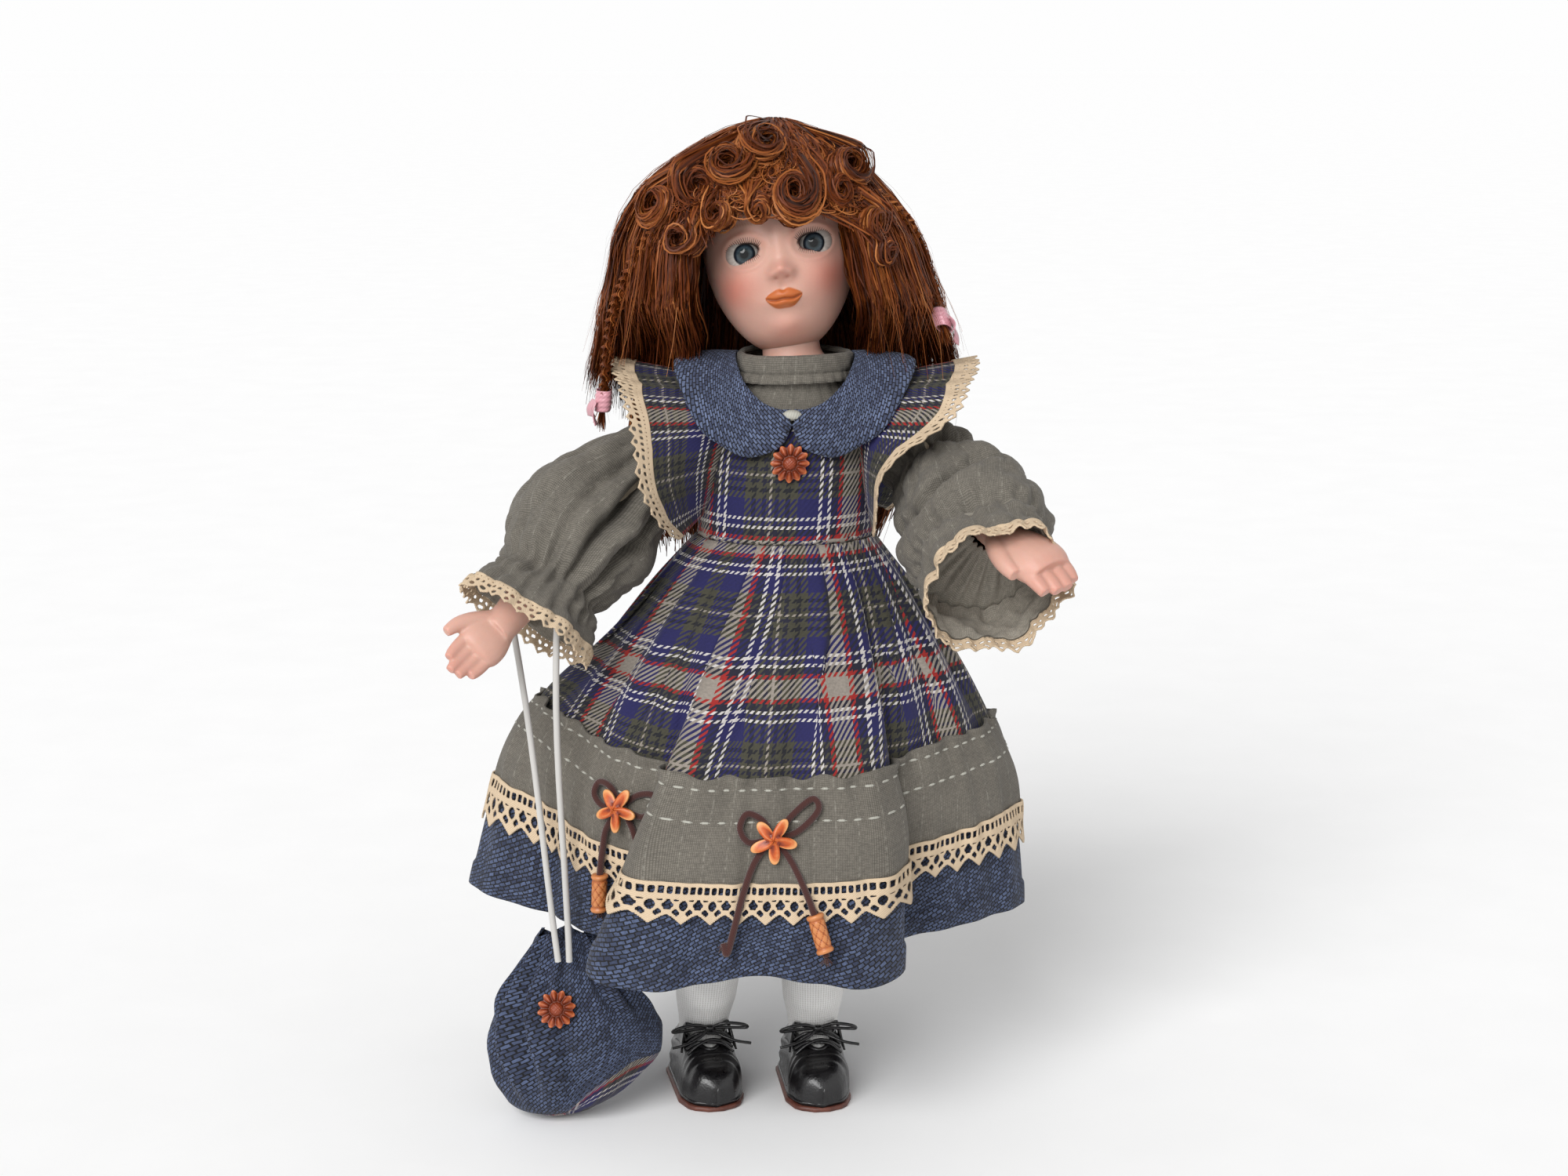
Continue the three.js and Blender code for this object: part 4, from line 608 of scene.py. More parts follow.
def bag_cord():
    _, elbow, wrist, _ = arm("right")
    hang = mix(wrist, elbow, 0.25)
    hang = hang + vec(LEAN * hang[2], 0, 0)
    along = unit(elbow - wrist)
    aside = unit(np.cross(along, vec(0, 0, 1)))
    over = np.cross(aside, along)
    hold, sink = 12.8, 3.6
    turns = np.linspace(math.pi, 0, 9)
    arch = [hang + aside * hold * math.cos(a) + over * (hold * math.sin(a) - sink) for a in turns]
    foot = vec(BAG_X, hang[1] - 2, 70.4)

    def side(start, sign):
        run = []
        apart = sign * 2.2
        for share in (0.12, 0.3, 0.5, 0.7, 0.88, 1):
            p = mix(start, foot + vec(apart, 0, 0), share)
            near = math.sin(math.pi * share) * 0.35
            run.append(mix(p, vec(mix(hang[0], BAG_X, share) + apart, p[1], p[2]), near))
        return run

    route = hung(spline(side(arch[0], -1)[::-1] + arch + side(arch[-1], 1), 40))
    curve = bpy.data.curves.new("bag_cord", "CURVE")
    curve.dimensions = "3D"
    curve.bevel_depth = CORD_RADIUS * MM
    curve.bevel_resolution = 3
    line = curve.splines.new("POLY")
    line.points.add(len(route) - 1)
    line.points.foreach_set("co", np.hstack([route, np.ones((len(route), 1))]).ravel())
    line.use_smooth = True
    curve.materials.append(SATIN)
    cord = add("bag_cord_satin", curve)
    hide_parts("bag_cord")
    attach(cord, "bag")


bag_cord()


# Skirt, its band, lace and flounce: all on one falling surface

WAIST_Z, HEM_Z = 232.6, 79
SKIRT_DROP = 153.6
SKIRT_ROUND, BAND_ROUND, FLOUNCE_ROUND = 540.0, 600.0, 640.0  # how much weave runs round each cloth
BAND_TOP, BAND_LOW = 152, 116

# Degrees from the front, and how far the cloth stands out there as a share of a full fold
FOLDS_BACK = [(114, -1.0), (145, 0.9), (180, -0.9), (181, -0.9)]
FOLDS_RIGHT = np.array([(0, 0.7), (18, 1.05), (31, -1.45), (52, -1.15), (84, 0.75), *FOLDS_BACK])
FOLDS_LEFT = np.array([(0, 0.7), (23, 1.05), (41, -1.35), (80, 0.6), (112, -1.0), *FOLDS_BACK[1:]])


def from_front(t):
    """Degrees from the front, negative to the doll's right."""
    return np.degrees((t + math.pi) % TAU - math.pi)


def skirt_fall(z):
    """Share of the way from the waist to the hem."""
    return (WAIST_Z - z) / SKIRT_DROP


def skirt_spread(fall):
    """Share of the way from the waist's width to the hem's."""
    return 1 - (1 - np.minimum(fall, 1)) ** 1.9


def skirt_outline(t, fall):
    """The skirt's cut at one height: unequal folds, of which the two at the front overhang."""
    turned = from_front(t)
    d = np.abs(turned)
    d = d / (1 + 0.29 * (turned < 0) * smooth(0.58, 1, fall) * smooth(85, 45, d))
    fold = np.zeros_like(d)
    over = np.zeros_like(d)
    for table, edge, here in ((FOLDS_RIGHT, 27, turned < 0), (FOLDS_LEFT, 36, turned >= 0)):
        k = np.clip(np.searchsorted(table[:, 0], d, "right") - 1, 0, len(table) - 2)
        share = (d - table[k, 0]) / (table[k + 1, 0] - table[k, 0])
        fold = np.where(here, mix(table[k, 1], table[k + 1, 1], share * share * (3 - 2 * share)), fold)
        over = np.where(here, 5 * hump(d, edge - 5, 5) - 5.5 * hump(d, edge + 6, 6), over)
    fold = 14 * fall**1.3 * fold
    t = t + np.radians(over) * np.sign(np.sin(t)) * fall
    a = mix(35.3, 103, skirt_spread(fall)) + fold
    b = mix(28.3, 92.7, skirt_spread(fall)) + fold
    return -6.5 * fall + a * np.sin(t), -b * np.cos(t)


def skirt_point(t, z, extra):
    """A place on the falling skirt, extra millimetres off its cloth."""
    t, z = np.broadcast_arrays(np.asarray(t, float), np.asarray(z, float))
    fall = np.clip(skirt_fall(z), 0, 1.05)
    x, y = skirt_outline(t, fall)
    ahead, behind = skirt_outline(t + 0.006, fall), skirt_outline(t - 0.006, fall)
    along = unit(np.stack([ahead[0] - behind[0], ahead[1] - behind[1]], -1))
    turned = from_front(t)
    lift = 19 * hump(turned, -84, 30) + 9 * hump(turned, 80, 30)
    lift = lift * smooth(205, 128, z) * (1 - 0.55 * smooth(118, 84, z))
    return np.stack([x + extra * along[..., 1], y - extra * along[..., 0], z + lift], -1)


def falling(z):
    """Length of cloth from the first height down to each height."""
    radius = mix(32, 98, skirt_spread(skirt_fall(z)))
    return lengths(np.stack([z, radius], -1))


def skirt_grid(cols, z):
    """Angles round the skirt, from the back, and heights."""
    return np.meshgrid(circle(cols) - math.pi, z)


def skirt():
    pleats = 22
    cols = pleats * 20
    s = np.arange(cols) / cols
    z = np.linspace(WAIST_Z, 147.9, 56)
    q = (s * pleats + 0.25 * np.sin(TAU * 3 * s)) % 1
    lay = np.interp(q, [0, 0.52, 0.74, 1], [0, 1.2, 0.42, 1]) - q
    deep = np.interp(q, [0, 0.1, 0.45, 0.54, 0.72, 0.9, 1], [-1.0, 0.3, 0.5, -0.4, -2.1, -1.7, -1.0])
    S, Z = np.meshgrid(s, z)
    fall = skirt_fall(Z)
    amp = 1 - smooth(0.05, 0.52, fall)
    rise = 0.9 + 1.5 * smooth(0, 0.13, fall)
    soft = 2.1 * smooth(0, 0.2, fall) * (1 - 0.85 * smooth(0.36, 0.56, fall))
    soft = soft * np.cos(TAU * pleats * S + 0.6)
    sway = 0.8 * np.sin(17 * TAU * S + 9 * fall) * smooth(0.2, 0.5, fall)
    t = TAU * (S + amp * lay / pleats) - math.pi
    points = skirt_point(t, Z, amp * deep * rise + soft + sway - 0.2)
    shape = Shape().grid(figure(points), True, around(cols, SKIRT_ROUND, falling(z)))
    obj = piece("skirt_plaid", shape, PLAID, "skirt", 0.7)


def wrinkle(t, z):
    """Small gathers of the band, strongest at its stitched edges."""
    edge = 0.4 + 0.6 * np.abs(2 * (z - BAND_LOW) / (BAND_TOP - BAND_LOW) - 1)
    fine = np.sin(43 * t + 1.5 * np.sin(3 * t)) + 0.7 * np.sin(67 * t + 2 * np.sin(5 * t) + 0.06 * z)
    slack = np.sin(17 * t + 2.2 * np.sin(4 * t) + 0.09 * z) + 0.5 * np.sin(29 * t - 0.16 * z)
    return np.maximum(0.55 * edge * fine + 0.5 * slack, -0.6)


def puff(z):
    """How far the band swells between its edges."""
    return 1.6 * np.sin(np.pi * np.clip((BAND_TOP - z) / (BAND_TOP - BAND_LOW), 0, 1))


def skirt_band():
    cols, stitches = 480, 110
    z = np.linspace(154, 115, 28)
    t, Z = skirt_grid(cols, z)
    frill = smooth(149.4, 154, Z) * (1.3 + 1.2 * np.sin(37 * t + 2 * np.sin(5 * t)))
    points = skirt_point(t, Z, 1.5 + puff(Z) + frill + wrinkle(t, Z))
    points[..., 2] += 0.8 * np.sin(23 * t + 3 * np.sin(4 * t)) * smooth(149, 154, Z)
    shape = Shape().grid(figure(points), True, around(cols, BAND_ROUND, falling(z)))
    for height in (149.6, 138.6):
        for k in range(stitches):
            at = TAU * (k + 0.5 * rng.random() * 0.3) / stitches
            span = at + np.linspace(0, 0.034, 5)
            off = 2.2 + puff(height) + wrinkle(span, height)
            shape.thread(skirt_point(span, height + 0.3 * math.sin(9 * at), off), 0.26, 6, look=1)
    obj = piece("skirt_band_linen", shape, [LINEN, STITCH], "skirt_band", 0.8)


def flounce():
    cols = 440
    z = np.concatenate([np.linspace(147, 90, 24), np.linspace(88, HEM_Z, 8)])
    t, Z = skirt_grid(cols, z)
    ease = 0.9 * np.sin(23 * t + 2 * np.sin(3 * t) + 0.04 * Z) + 0.5 * np.sin(41 * t)
    hem = 0.9 * smooth(88.5, 86.5, Z)
    d = np.degrees(t)
    sag = 0.8 * np.sin(7 * t) + 3 * hump(d, 1, 9) - 3.5 * hump(d, -22, 10) - 3.5 * hump(d, 23, 10)
    points = skirt_point(t, Z, ease * smooth(140, 100, Z) + hem - 0.2)
    points[..., 2] += sag * smooth(112, HEM_Z, Z)
    shape = Shape().grid(figure(points), True, around(cols, FLOUNCE_ROUND, falling(z)))
    obj = piece("flounce_denim", shape, DENIM, "flounce", 1.1)


# Lace: threads where a repeated pattern is positive, holes where it isn't


def lace_pattern(u, v, period, height):
    """Positive on the threads of a bobbin edging: two bars, a ladder, a zigzag and a pointed edge."""
    half, rung = period / 2, period / 4
    x = np.abs((u % period) - half)
    bar = 0.045 * height
    top = bar - np.abs(v - bar)
    second = bar - np.abs(v - 0.3 * height)
    ladder = np.minimum(0.15 * rung - np.abs(u % rung - rung / 2), 0.17 * height - np.abs(v - 0.18 * height))
    point = height * (0.95 - 0.26 * x / half)
    edge = 0.055 * height - np.abs(v - point + 0.055 * height)
    slope = (v - 0.3 * height) / (0.42 * height)
    zigzag = np.minimum(0.12 * half - np.abs(x - half * slope) * 0.8, v - 0.28 * height)
    cross = np.minimum(0.1 * half - np.abs(x - half * (1 - slope)) * 0.8, v - 0.28 * height)
    leaf = 0.1 * height - np.hypot(x * 1.2, v - 0.76 * height)
    made = np.max([top, second, ladder, edge, zigzag, cross, leaf], axis=0)
    return np.minimum(made, point - v)


def hole(across, down, wide, tall):
    """Positive outside a round hole."""
    return (np.hypot(across / wide, down / tall) - 1) * min(wide, tall)


def edging_pattern(u, v, period, height):
    """Positive on the threads of a narrow edging: a heading, two rows of holes and points with an eye."""
    x = u % period - period / 2
    half = u % (period / 2) - period / 4
    third = u % (period / 3) - period / 6
    lean = 0.35 * (v - 0.44 * height)
    eye = hole(x, v - 0.72 * height, 0.2 * period, 0.1 * height)
    slits = hole(half - lean, v - 0.44 * height, 0.15 * period, 0.095 * height)
    small = hole(third, v - 0.2 * height, 0.07 * period, 0.05 * height)
    point = height * (0.96 - 0.46 * np.abs(x) / period)
    return np.min([eye, slits, small, point - v], axis=0)


def lace(place, length, height, period, step, wrap, pattern, order=slice(None)):
    """A strip of lace laid by place(share of the length, millimetres down), columns in the given order."""
    cols = int(length / step)
    rows = int(height / step) + 1
    u = np.arange(cols if wrap else cols + 1) * length / cols
    v = np.linspace(0, height, rows)
    U, V = np.meshgrid(u, v)
    value = pattern(U, V, period, height)
    solid = value > 0
    pairs = solid[:, :cols].astype(int) + solid[:, (np.arange(cols) + 1) % solid.shape[1]]
    keep = pairs[:-1] + pairs[1:] >= 2
    e = 0.05
    du = (pattern(U + e, V, period, height) - value) / e
    dv = (pattern(U, V + e, period, height) - value) / e
    size = np.maximum(du**2 + dv**2, 0.2)
    move = np.where(value < 0, -value, 0) / size
    reach = 0.8 * step
    U2 = U + np.clip(move * du, -reach, reach)
    V2 = np.clip(V + np.clip(move * dv, -reach, reach), 0, height)
    weave = around(cols, length, v)
    points = figure(place(U2 / length, V2))
    return Shape().grid(points[:, order], wrap, weave[:, order], keep=keep[:, order])


def hem_lace():
    def place(share, down):
        t = TAU * share - math.pi
        flat = wrinkle(t, np.full_like(t, 117.0)) * smooth(10, 0, down)
        return skirt_point(t, 116.6 - down, 2.6 + flat + 0.3 * np.sin(60 * t))

    shape = lace(place, 594.0, 16.0, 9.0, 0.5, True, lace_pattern)
    obj = piece("hem_lace_cotton", shape, LACE, "hem_lace", 0.7)


skirt()
skirt_band()
flounce()
hem_lace()


# Torso and the fitted cloth over it

# Height, half width and half depth
TRUNK = [
    [191.6, 29, 18], [206, 33, 24], [233, 31.5, 24.5], [262, 31.5, 25],
    [273, 30.5, 23], [288, 25, 19.5], [294, 18.3, 18.3], [303.5, 18.3, 18.3],
]
UPRIGHT = (0, 0, 1)


def trunk_grid(z, extra, cols, ease=0.0):
    """Places round the trunk, extra millimetres off it, with fine gathers of size ease at the waist."""
    t, Z = skirt_grid(cols, z)
    a, b = rows_at(TRUNK, Z, 3.0)
    push = extra + ease * np.sin(27 * t + 2 * np.sin(3 * t)) * smooth(242, 233, Z)
    return np.stack([(a + push) * np.sin(t), -(b + push) * np.cos(t), Z], -1)


def armholes(points):
    """Which quads lie outside the armholes."""
    middle = (points[:-1] + points[1:]) / 2
    away = np.hypot(middle[..., 1], middle[..., 2] - SHOULDER_Z)
    return ~((away < 11.4) & (np.abs(middle[..., 0]) > 12))


def torso():
    z = np.linspace(192, 296, 40)
    body = trunk_grid(z, -0.1 + 0.25 * np.sin(0.5 * z)[:, None], 64)
    shape = Shape().grid(figure(closed(body))[::-1], True)
    obj = piece("torso_stuffed", shape, MUSLIN, "torso")


def neck_tie():
    t = np.linspace(0, TAU, 91)
    ring = np.stack([19.6 * np.sin(t), -19.6 * np.cos(t), 301.7 + 0.4 * np.sin(3 * t)], -1)
    piece("neck_tie_cotton", Shape().thread(ring, 0.9, 8, UPRIGHT), LACE, "neck_tie")


def blouse():
    cols = 128
    points = trunk_grid(np.linspace(233, 299, 46), 1.4, cols)
    gather = vec(1, 1, 0) * np.sin(27 * circle(cols))[None, :, None]
    points = points * (1 + 0.02 * smooth(284, 296, points[..., 2:]) * gather)
    shape = Shape().grid(figure(points)[::-1], True, keep=armholes(points)[::-1])
    obj = piece("blouse_linen", shape, LINEN, "blouse_body", 0.8)


def bodice():
    cols = 160
    z = np.linspace(233, 291, 60)
    points = trunk_grid(z, 2.9, cols, 0.35)
    middle = (points[:-1] + points[1:]) / 2
    scoop = (middle[..., 1] < 0) & (middle[..., 2] > 280 + 14 * (middle[..., 0] / 22) ** 2)
    keep = armholes(points) & ~scoop
    shape = Shape().grid(figure(points)[::-1], True, around(cols, 192.0, 291 - z[::-1]), keep=keep[::-1])
    seam = trunk_grid(np.array([234.2]), 3.3, 96)[0]
    shape.thread(np.vstack([seam, seam[:1]]), 0.9, 8, UPRIGHT)
    obj = piece("bodice_plaid", shape, PLAID, "bodice", 0.9)


def neckband():
    cols = 120
    z = np.array([296, 297.4, 298.6, 299.3, 299.8, 300.3, 301.4, 303, 304.8, 306, 306.5, 306.2, 305])
    out = np.array([1.2, 0.9, 0.5, 0.1, -0.35, 0.15, 0.35, 0.35, 0.3, 0.1, -0.6, -1.3, -1.6])
    t, Z = np.meshgrid(circle(cols), z)
    gather = 0.4 * np.sin(31 * t) * smooth(302, 298, Z) + 0.25 * np.sin(17 * t + 0.5 * Z)
    r = 22.3 + out[:, None] + gather
    points = np.stack([r * np.sin(t), -r * np.cos(t), Z + 0.5 * np.sin(2 * t + 0.6)], -1)
    shape = Shape().grid(figure(points)[::-1], True, around(cols, 142.0, np.arange(len(z)) * 1.3))
    obj = piece("neckband_linen", shape, LINEN, "neckband", 0.6)


# Seam and free edge of the doll's left collar lobe, from the front round to the back
COLLAR_IN = [
    (0.9, -24.6, 285), (6, -24.4, 286), (12.5, -22.8, 289), (19, -17.8, 295.5), (22.6, -9, 302),
    (23.5, 0, 305), (21.5, 9, 303.5), (16.6, 16.6, 300.5), (8.5, 21.5, 297.5), (1.6, 23, 296),
]
COLLAR_OUT = [
    (1.2, -27, 281.5), (5, -28.6, 273.5), (14, -28.4, 269), (26, -26, 272), (37.5, -24.4, 281.5),
    (46, -12.5, 298), (46.5, 2, 302.5), (37, 17, 298), (20, 26.5, 282), (2, 29.6, 271.5),
]
COLLAR_TACK = [(-2.2, -26.6, 284.4), (-0.8, -27.4, 284.7), (0.8, -27.4, 284.6), (2.2, -26.6, 284.2)]


def collar(name):
    side = SIDES[name]
    cols, rows = 120, 26
    w = np.linspace(0, 1, rows)[:, None, None]
    points = mix(spline(COLLAR_IN, cols)[None], spline(COLLAR_OUT, cols)[None], w)
    away = unit(np.cross(np.gradient(points, axis=1), np.gradient(points, axis=0)))
    away = away * np.sign((away * unit(points - vec(0, 0, 285))).sum(-1, keepdims=True).mean())
    roll = 1.5 * np.sin(np.pi * w) - 0.8 * smooth(0.9, 1.0, w)
    points = points + away * roll + vec(0, 0, 0.4) * np.sin(np.arange(cols) * 0.35)[None, :, None] * w
    wide = np.linalg.norm(points[-1] - points[0], axis=1)
    u = np.broadcast_to(lengths(points[rows // 2]), points.shape[:2])
    uv = np.stack([u, w[..., 0] * wide[None]], -1) * MM
    points = points * vec(side, 1, 1)
    if side > 0:
        points, uv = points[:, ::-1], uv[:, ::-1]
    shape = Shape().grid(figure(points), uv=uv)
    if side < 0:
        shape.thread(spline(COLLAR_TACK, 12), 0.4, 6, look=1)
    # The collars take the lighter denim copy: painted light.
    obj = piece("collar_denim_" + name, shape, [DENIM_LIT, STITCH], "collar_" + name, 1.7, 1.0)


torso()
blouse()
bodice()
neck_tie()
neckband()
collar("left")
collar("right")


# Ruffles over the shoulders, with their lace

RUFFLE_WIDE = 40.4


def ruffle_place(side, share, d, lift=0.0):
    """A place on the ruffle: share along its seam, d out from the seam and lift off its cloth."""
    angle = mix(math.radians(148), math.radians(-148), share)
    under = smooth(-0.5, 0.4, -np.cos(angle))
    narrow = np.where(angle > 0, 0.8 if side > 0 else 0.0, 0.0) * under
    swell = np.sin(np.pi * np.clip(share, 0, 1)) ** 0.6 * (1 - narrow)
    gather = 0.6 * np.sin(38 * np.pi * share) * np.minimum(1, d / 6) * (1 - 0.5 * d / 47)
    ahead = np.where(angle > 0, 34 * smooth(-0.4, 0.5, -np.cos(angle)), 0)
    y = -17 * np.sin(angle)
    z = SHOULDER_Z + 22 * np.maximum(0, np.cos(angle)) - 38 * np.maximum(0, -np.cos(angle))
    a, b = rows_at(TRUNK, np.minimum(z, 291), 2.0)
    x = (a + 2.8) * np.sqrt(np.maximum(0.2, 1 - (y / (b + 2.8)) ** 2)) + 0.9
    wave = 1.6 * np.cos(7 * np.pi * share) * d / 40 + gather
    y = y - (15 * d / 40 + wave + lift) * np.sin(angle) - ahead * swell * d / 40
    z = z + (6 * d / 40 + wave + lift) * np.cos(angle)
    return np.stack([side * (x + d * swell), y, z], -1)


def ruffle(name):
    side = SIDES[name]
    start, span = 0.02, 0.96
    share, d = np.meshgrid(np.linspace(start, 0.98, 200), np.linspace(0, RUFFLE_WIDE, 30))
    uv = np.stack([share * 215, d], -1) * MM
    order = slice(None, None, -side)
    shape = Shape().grid(figure(ruffle_place(side, share, d))[:, order], uv=uv[:, order])
    bend = ("body", "upper_arm_" + name, figure(vec(side * 38, 0, 285)), figure(vec(side * 72, 0, 285)))
    obj = piece("ruffle_plaid_" + name, shape, PLAID, "ruffle_" + name, 0.8, blend=bend)

    def place(s, down):
        return ruffle_place(side, start + span * s, RUFFLE_WIDE - 2 + down, 0.5)

    shape = lace(place, 216.0, 10.4, 6.0, 0.38, False, edging_pattern, order)
    obj = piece("ruffle_edging_" + name, shape, LACE, "ruffle_lace_" + name, 0.7, blend=bend)


# Sleeves and cuffs

# From the shoulder: place, half width and half depth
SLEEVES = {
    "right": [
        [-16, -5, -12, 20, 20], [-38, -23, -33, 32, 27], [-50, -42, -51, 25, 22], [-57, -53, -62, 28, 25],
    ],
    "left": [
        [16, -6, -12, 20, 20], [31, -30, -29, 31, 31], [36, -55, -40, 29, 29], [39, -71, -46, 27, 27],
    ],
}
SLEEVE_LONG = {"right": 104.0, "left": 98.0}
SLEEVE_ROUND = 168.0
ELASTIC = {"right": 0.77, "left": 0.72}  # share along the sleeve

# Creases of the sleeves: turns round, run along, start and depth
CRUMPLES = [
    (2, 7, 0.4, 1.1), (3, -9, 1.7, 1.0), (5, 4, 2.9, 0.8),
    (1, 13, 4.2, 0.9), (4, -15, 5.1, 0.6), (7, 8, 0.9, 0.5),
]


def sleeve_place(name, s, angle, out):
    """A place on the sleeve: share along it, angle round it, and how far out."""
    side = SIDES[name]
    count = 201
    rows = [[side * 34.7, 0, SHOULDER_Z, 13, 13]]
    rows += [[side * SHOULDER_X + x, y, SHOULDER_Z + z, a, b] for x, y, z, a, b in SLEEVES[name]]
    line = spline(rows, count)
    path = line[:, :3]
    along = unit(np.gradient(path, axis=0))
    turn_in = smooth(0, 0.12, np.linspace(0, 1, count))[:, None]
    along = unit(mix(vec(side, 0, 0)[None], along, turn_in))
    hint = vec(0, -1, 0) if side < 0 else vec(0, 0, 1)
    second = unit(hint - (along @ hint)[:, None] * along)
    first = np.cross(second, along)
    at = np.clip(s, 0, 1) * (count - 1)

    def pick(table):
        return np.stack([np.interp(at, np.arange(count), column) for column in table.T], -1)

    size = pick(line[:, 3:])
    slant = 8 * np.sin(angle) * smooth(0.6, 1, s) * (side < 0)
    beyond = (np.maximum(s, 1) - 1) * 100 + slant
    aside = (size[..., 0] + out) * np.cos(angle)
    up = (size[..., 1] + out) * np.sin(angle)
    return moved(pick(path), (aside, pick(first)), (up, pick(second)), (beyond, along[-1]))


def sleeve_folds(name, s, angle):
    """How the cloth stands in and out: soft folds, a gathered top and the elastic above the cuff."""
    top = 0.9 * np.sin(21 * angle + np.sin(4 * angle)) * hump(s, 0, 0.2) * smooth(0, 0.06, s)
    main = 1.0 * np.cos(5 * angle) * smooth(0, 0.2, s)
    crumple = 0
    for k, (turns, run, shift, size) in enumerate(CRUMPLES):
        line = np.sin(turns * angle + run * s + shift + 0.8 * np.sin(2 * angle + k))
        crumple = crumple - size * (1 - np.abs(line)) ** 2.2
    crumple = 1.6 * crumple * smooth(0.03, 0.2, s)
    elastic = hump(s, ELASTIC[name], 0.045)
    if name == "right":
        turned = np.mod(angle - 1.2 + math.pi, TAU) - math.pi
        full = np.sin(np.pi * np.clip(s / 0.78, 0, 1)) ** 0.6
        pleats = 1.3 * np.sin(23 * angle + np.sin(3 * angle)) * hump(s, 0.79, 0.12)
        crease = -14.0 * hump(turned, 0.3 - 0.2 * s, 0.11) - 11.0 * hump(turned, -0.3 - 0.15 * s, 0.11)
        crease = crease + 2.5 * hump(turned, 0.02 - 0.2 * s, 0.14) - 4.0 * hump(turned, 0.85 - 0.3 * s, 0.13)
        return top + main - 4.2 * elastic + pleats + crease * full + crumple + 1.2 * smooth(0.86, 1, s)
    pleats = 0.8 * np.sin(25 * angle + np.sin(2 * angle)) * hump(s, 0.72, 0.1)
    flute = 0.8 * np.sin(6 * angle + 1) * smooth(0.75, 1, s)
    bend = -6.5 * hump(s, 0.27 + 0.05 * np.sin(2 * angle), 0.035) * (0.5 + 0.5 * np.cos(angle - 1.6))
    bend = bend - 6.0 * hump(s, 0.5 + 0.06 * np.sin(3 * angle), 0.035) * (0.5 + 0.5 * np.cos(angle - 2.2))
    return top + main - 4.0 * elastic + pleats + flute + bend + crumple + 1.0 * smooth(0.85, 1, s)


def sleeve_inside(name, a):
    """The cloth drawn in round the left wrist, seen through the open cuff."""
    _, elbow, wrist, _ = arm(name)
    edge = np.full(len(a), 0.74)
    wall = sleeve_place(name, edge, a, sleeve_folds(name, edge, a) - 0.4)
    away = unit(sleeve_place(name, edge, a, 1.0) - sleeve_place(name, edge, a, 0.0))
    grip = mix(elbow, wrist, 0.9) + away * (9 + 0.7 * np.sin(19 * a))[:, None]
    q = np.linspace(0, 1, 12)[:, None, None]
    pucker = 1.3 * np.sin(np.pi * q) * np.sin(19 * a + 2 * np.sin(3 * a))[None, :, None]
    return mix(wall, grip, q) + pucker * unit(wrist - elbow)


def sleeve(name):
    shoulder, elbow, wrist, _ = arm(name)
    long = SLEEVE_LONG[name]
    rows, cols = 60, 132
    s, angle = np.meshgrid(np.linspace(0, 1, rows), circle(cols), indexing="ij")
    points = sleeve_place(name, s, angle, sleeve_folds(name, s, angle))
    shape = Shape().grid(figure(points), True, around(cols, SLEEVE_ROUND, np.linspace(0, long, rows)))
    if name == "left":
        inside = figure(sleeve_inside(name, angle[0]))
        # Look 2 is the lighter linen: painted light on the cloth inside the cuff.
        shape.grid(inside, True, around(cols, SLEEVE_ROUND, np.linspace(0, 20, 12)), look=2)
    a = np.linspace(0, TAU, 97)
    at = np.full(97, ELASTIC[name])
    shape.thread(sleeve_place(name, at, a, sleeve_folds(name, at, a) - 1.0), 0.4, 6, look=1)
    bones = ("upper_arm_" + name, "forearm_" + name)
    bend = (*bones, figure(mix(shoulder, elbow, 0.55)), figure(mix(elbow, wrist, 0.55)))
    # The sleeve's inner faces also take look 2, the lighter linen: painted light.
    looks = [LINEN, SUEDE, LINEN_LIT_INSIDE]
    obj = piece("sleeve_linen_" + name, shape, looks, "sleeve_" + name, 0.8, blend=bend, inside_look=2)

    def place(share, down):
        a = share * TAU
        s = 1 + (down - 1.5) / 100
        flare = 0.5 + 0.12 * down + 0.5 * np.sin(36 * a) * down / 8
        return sleeve_place(name, s, a, sleeve_folds(name, np.minimum(s, 1.0), a) + flare)

    shape = lace(place, 174.0, 8.4, 5.8, 0.38, True, edging_pattern)
    obj = piece("cuff_edging_" + name, shape, LACE, "cuff_lace_" + name, 0.7, blend=bend)


def upper_arm(name):
    shoulder, elbow = arm(name)[:2]
    ball = 9.4
    long = np.linalg.norm(elbow - shoulder) - ball
    d = np.concatenate([-ball * np.cos(np.linspace(0.05, math.pi / 2, 10)), np.linspace(2, long, 16)])
    r = np.where(d < 0, np.sqrt(np.maximum(ball**2 - d**2, 0.3)), mix(9.6, 8.6, np.clip(d / long, 0, 1)))
    r = r + 0.25 * np.sin(d) * (d > 0)
    shape = Shape().thread(shoulder + unit(elbow - shoulder) * d[:, None], r, 32)
    obj = piece("upper_arm_stuffed_" + name, shape, MUSLIN, "upper_arm_" + name)


SKIN = rgb(206, 162, 146)
BLUSH = rgb(196, 108, 92)

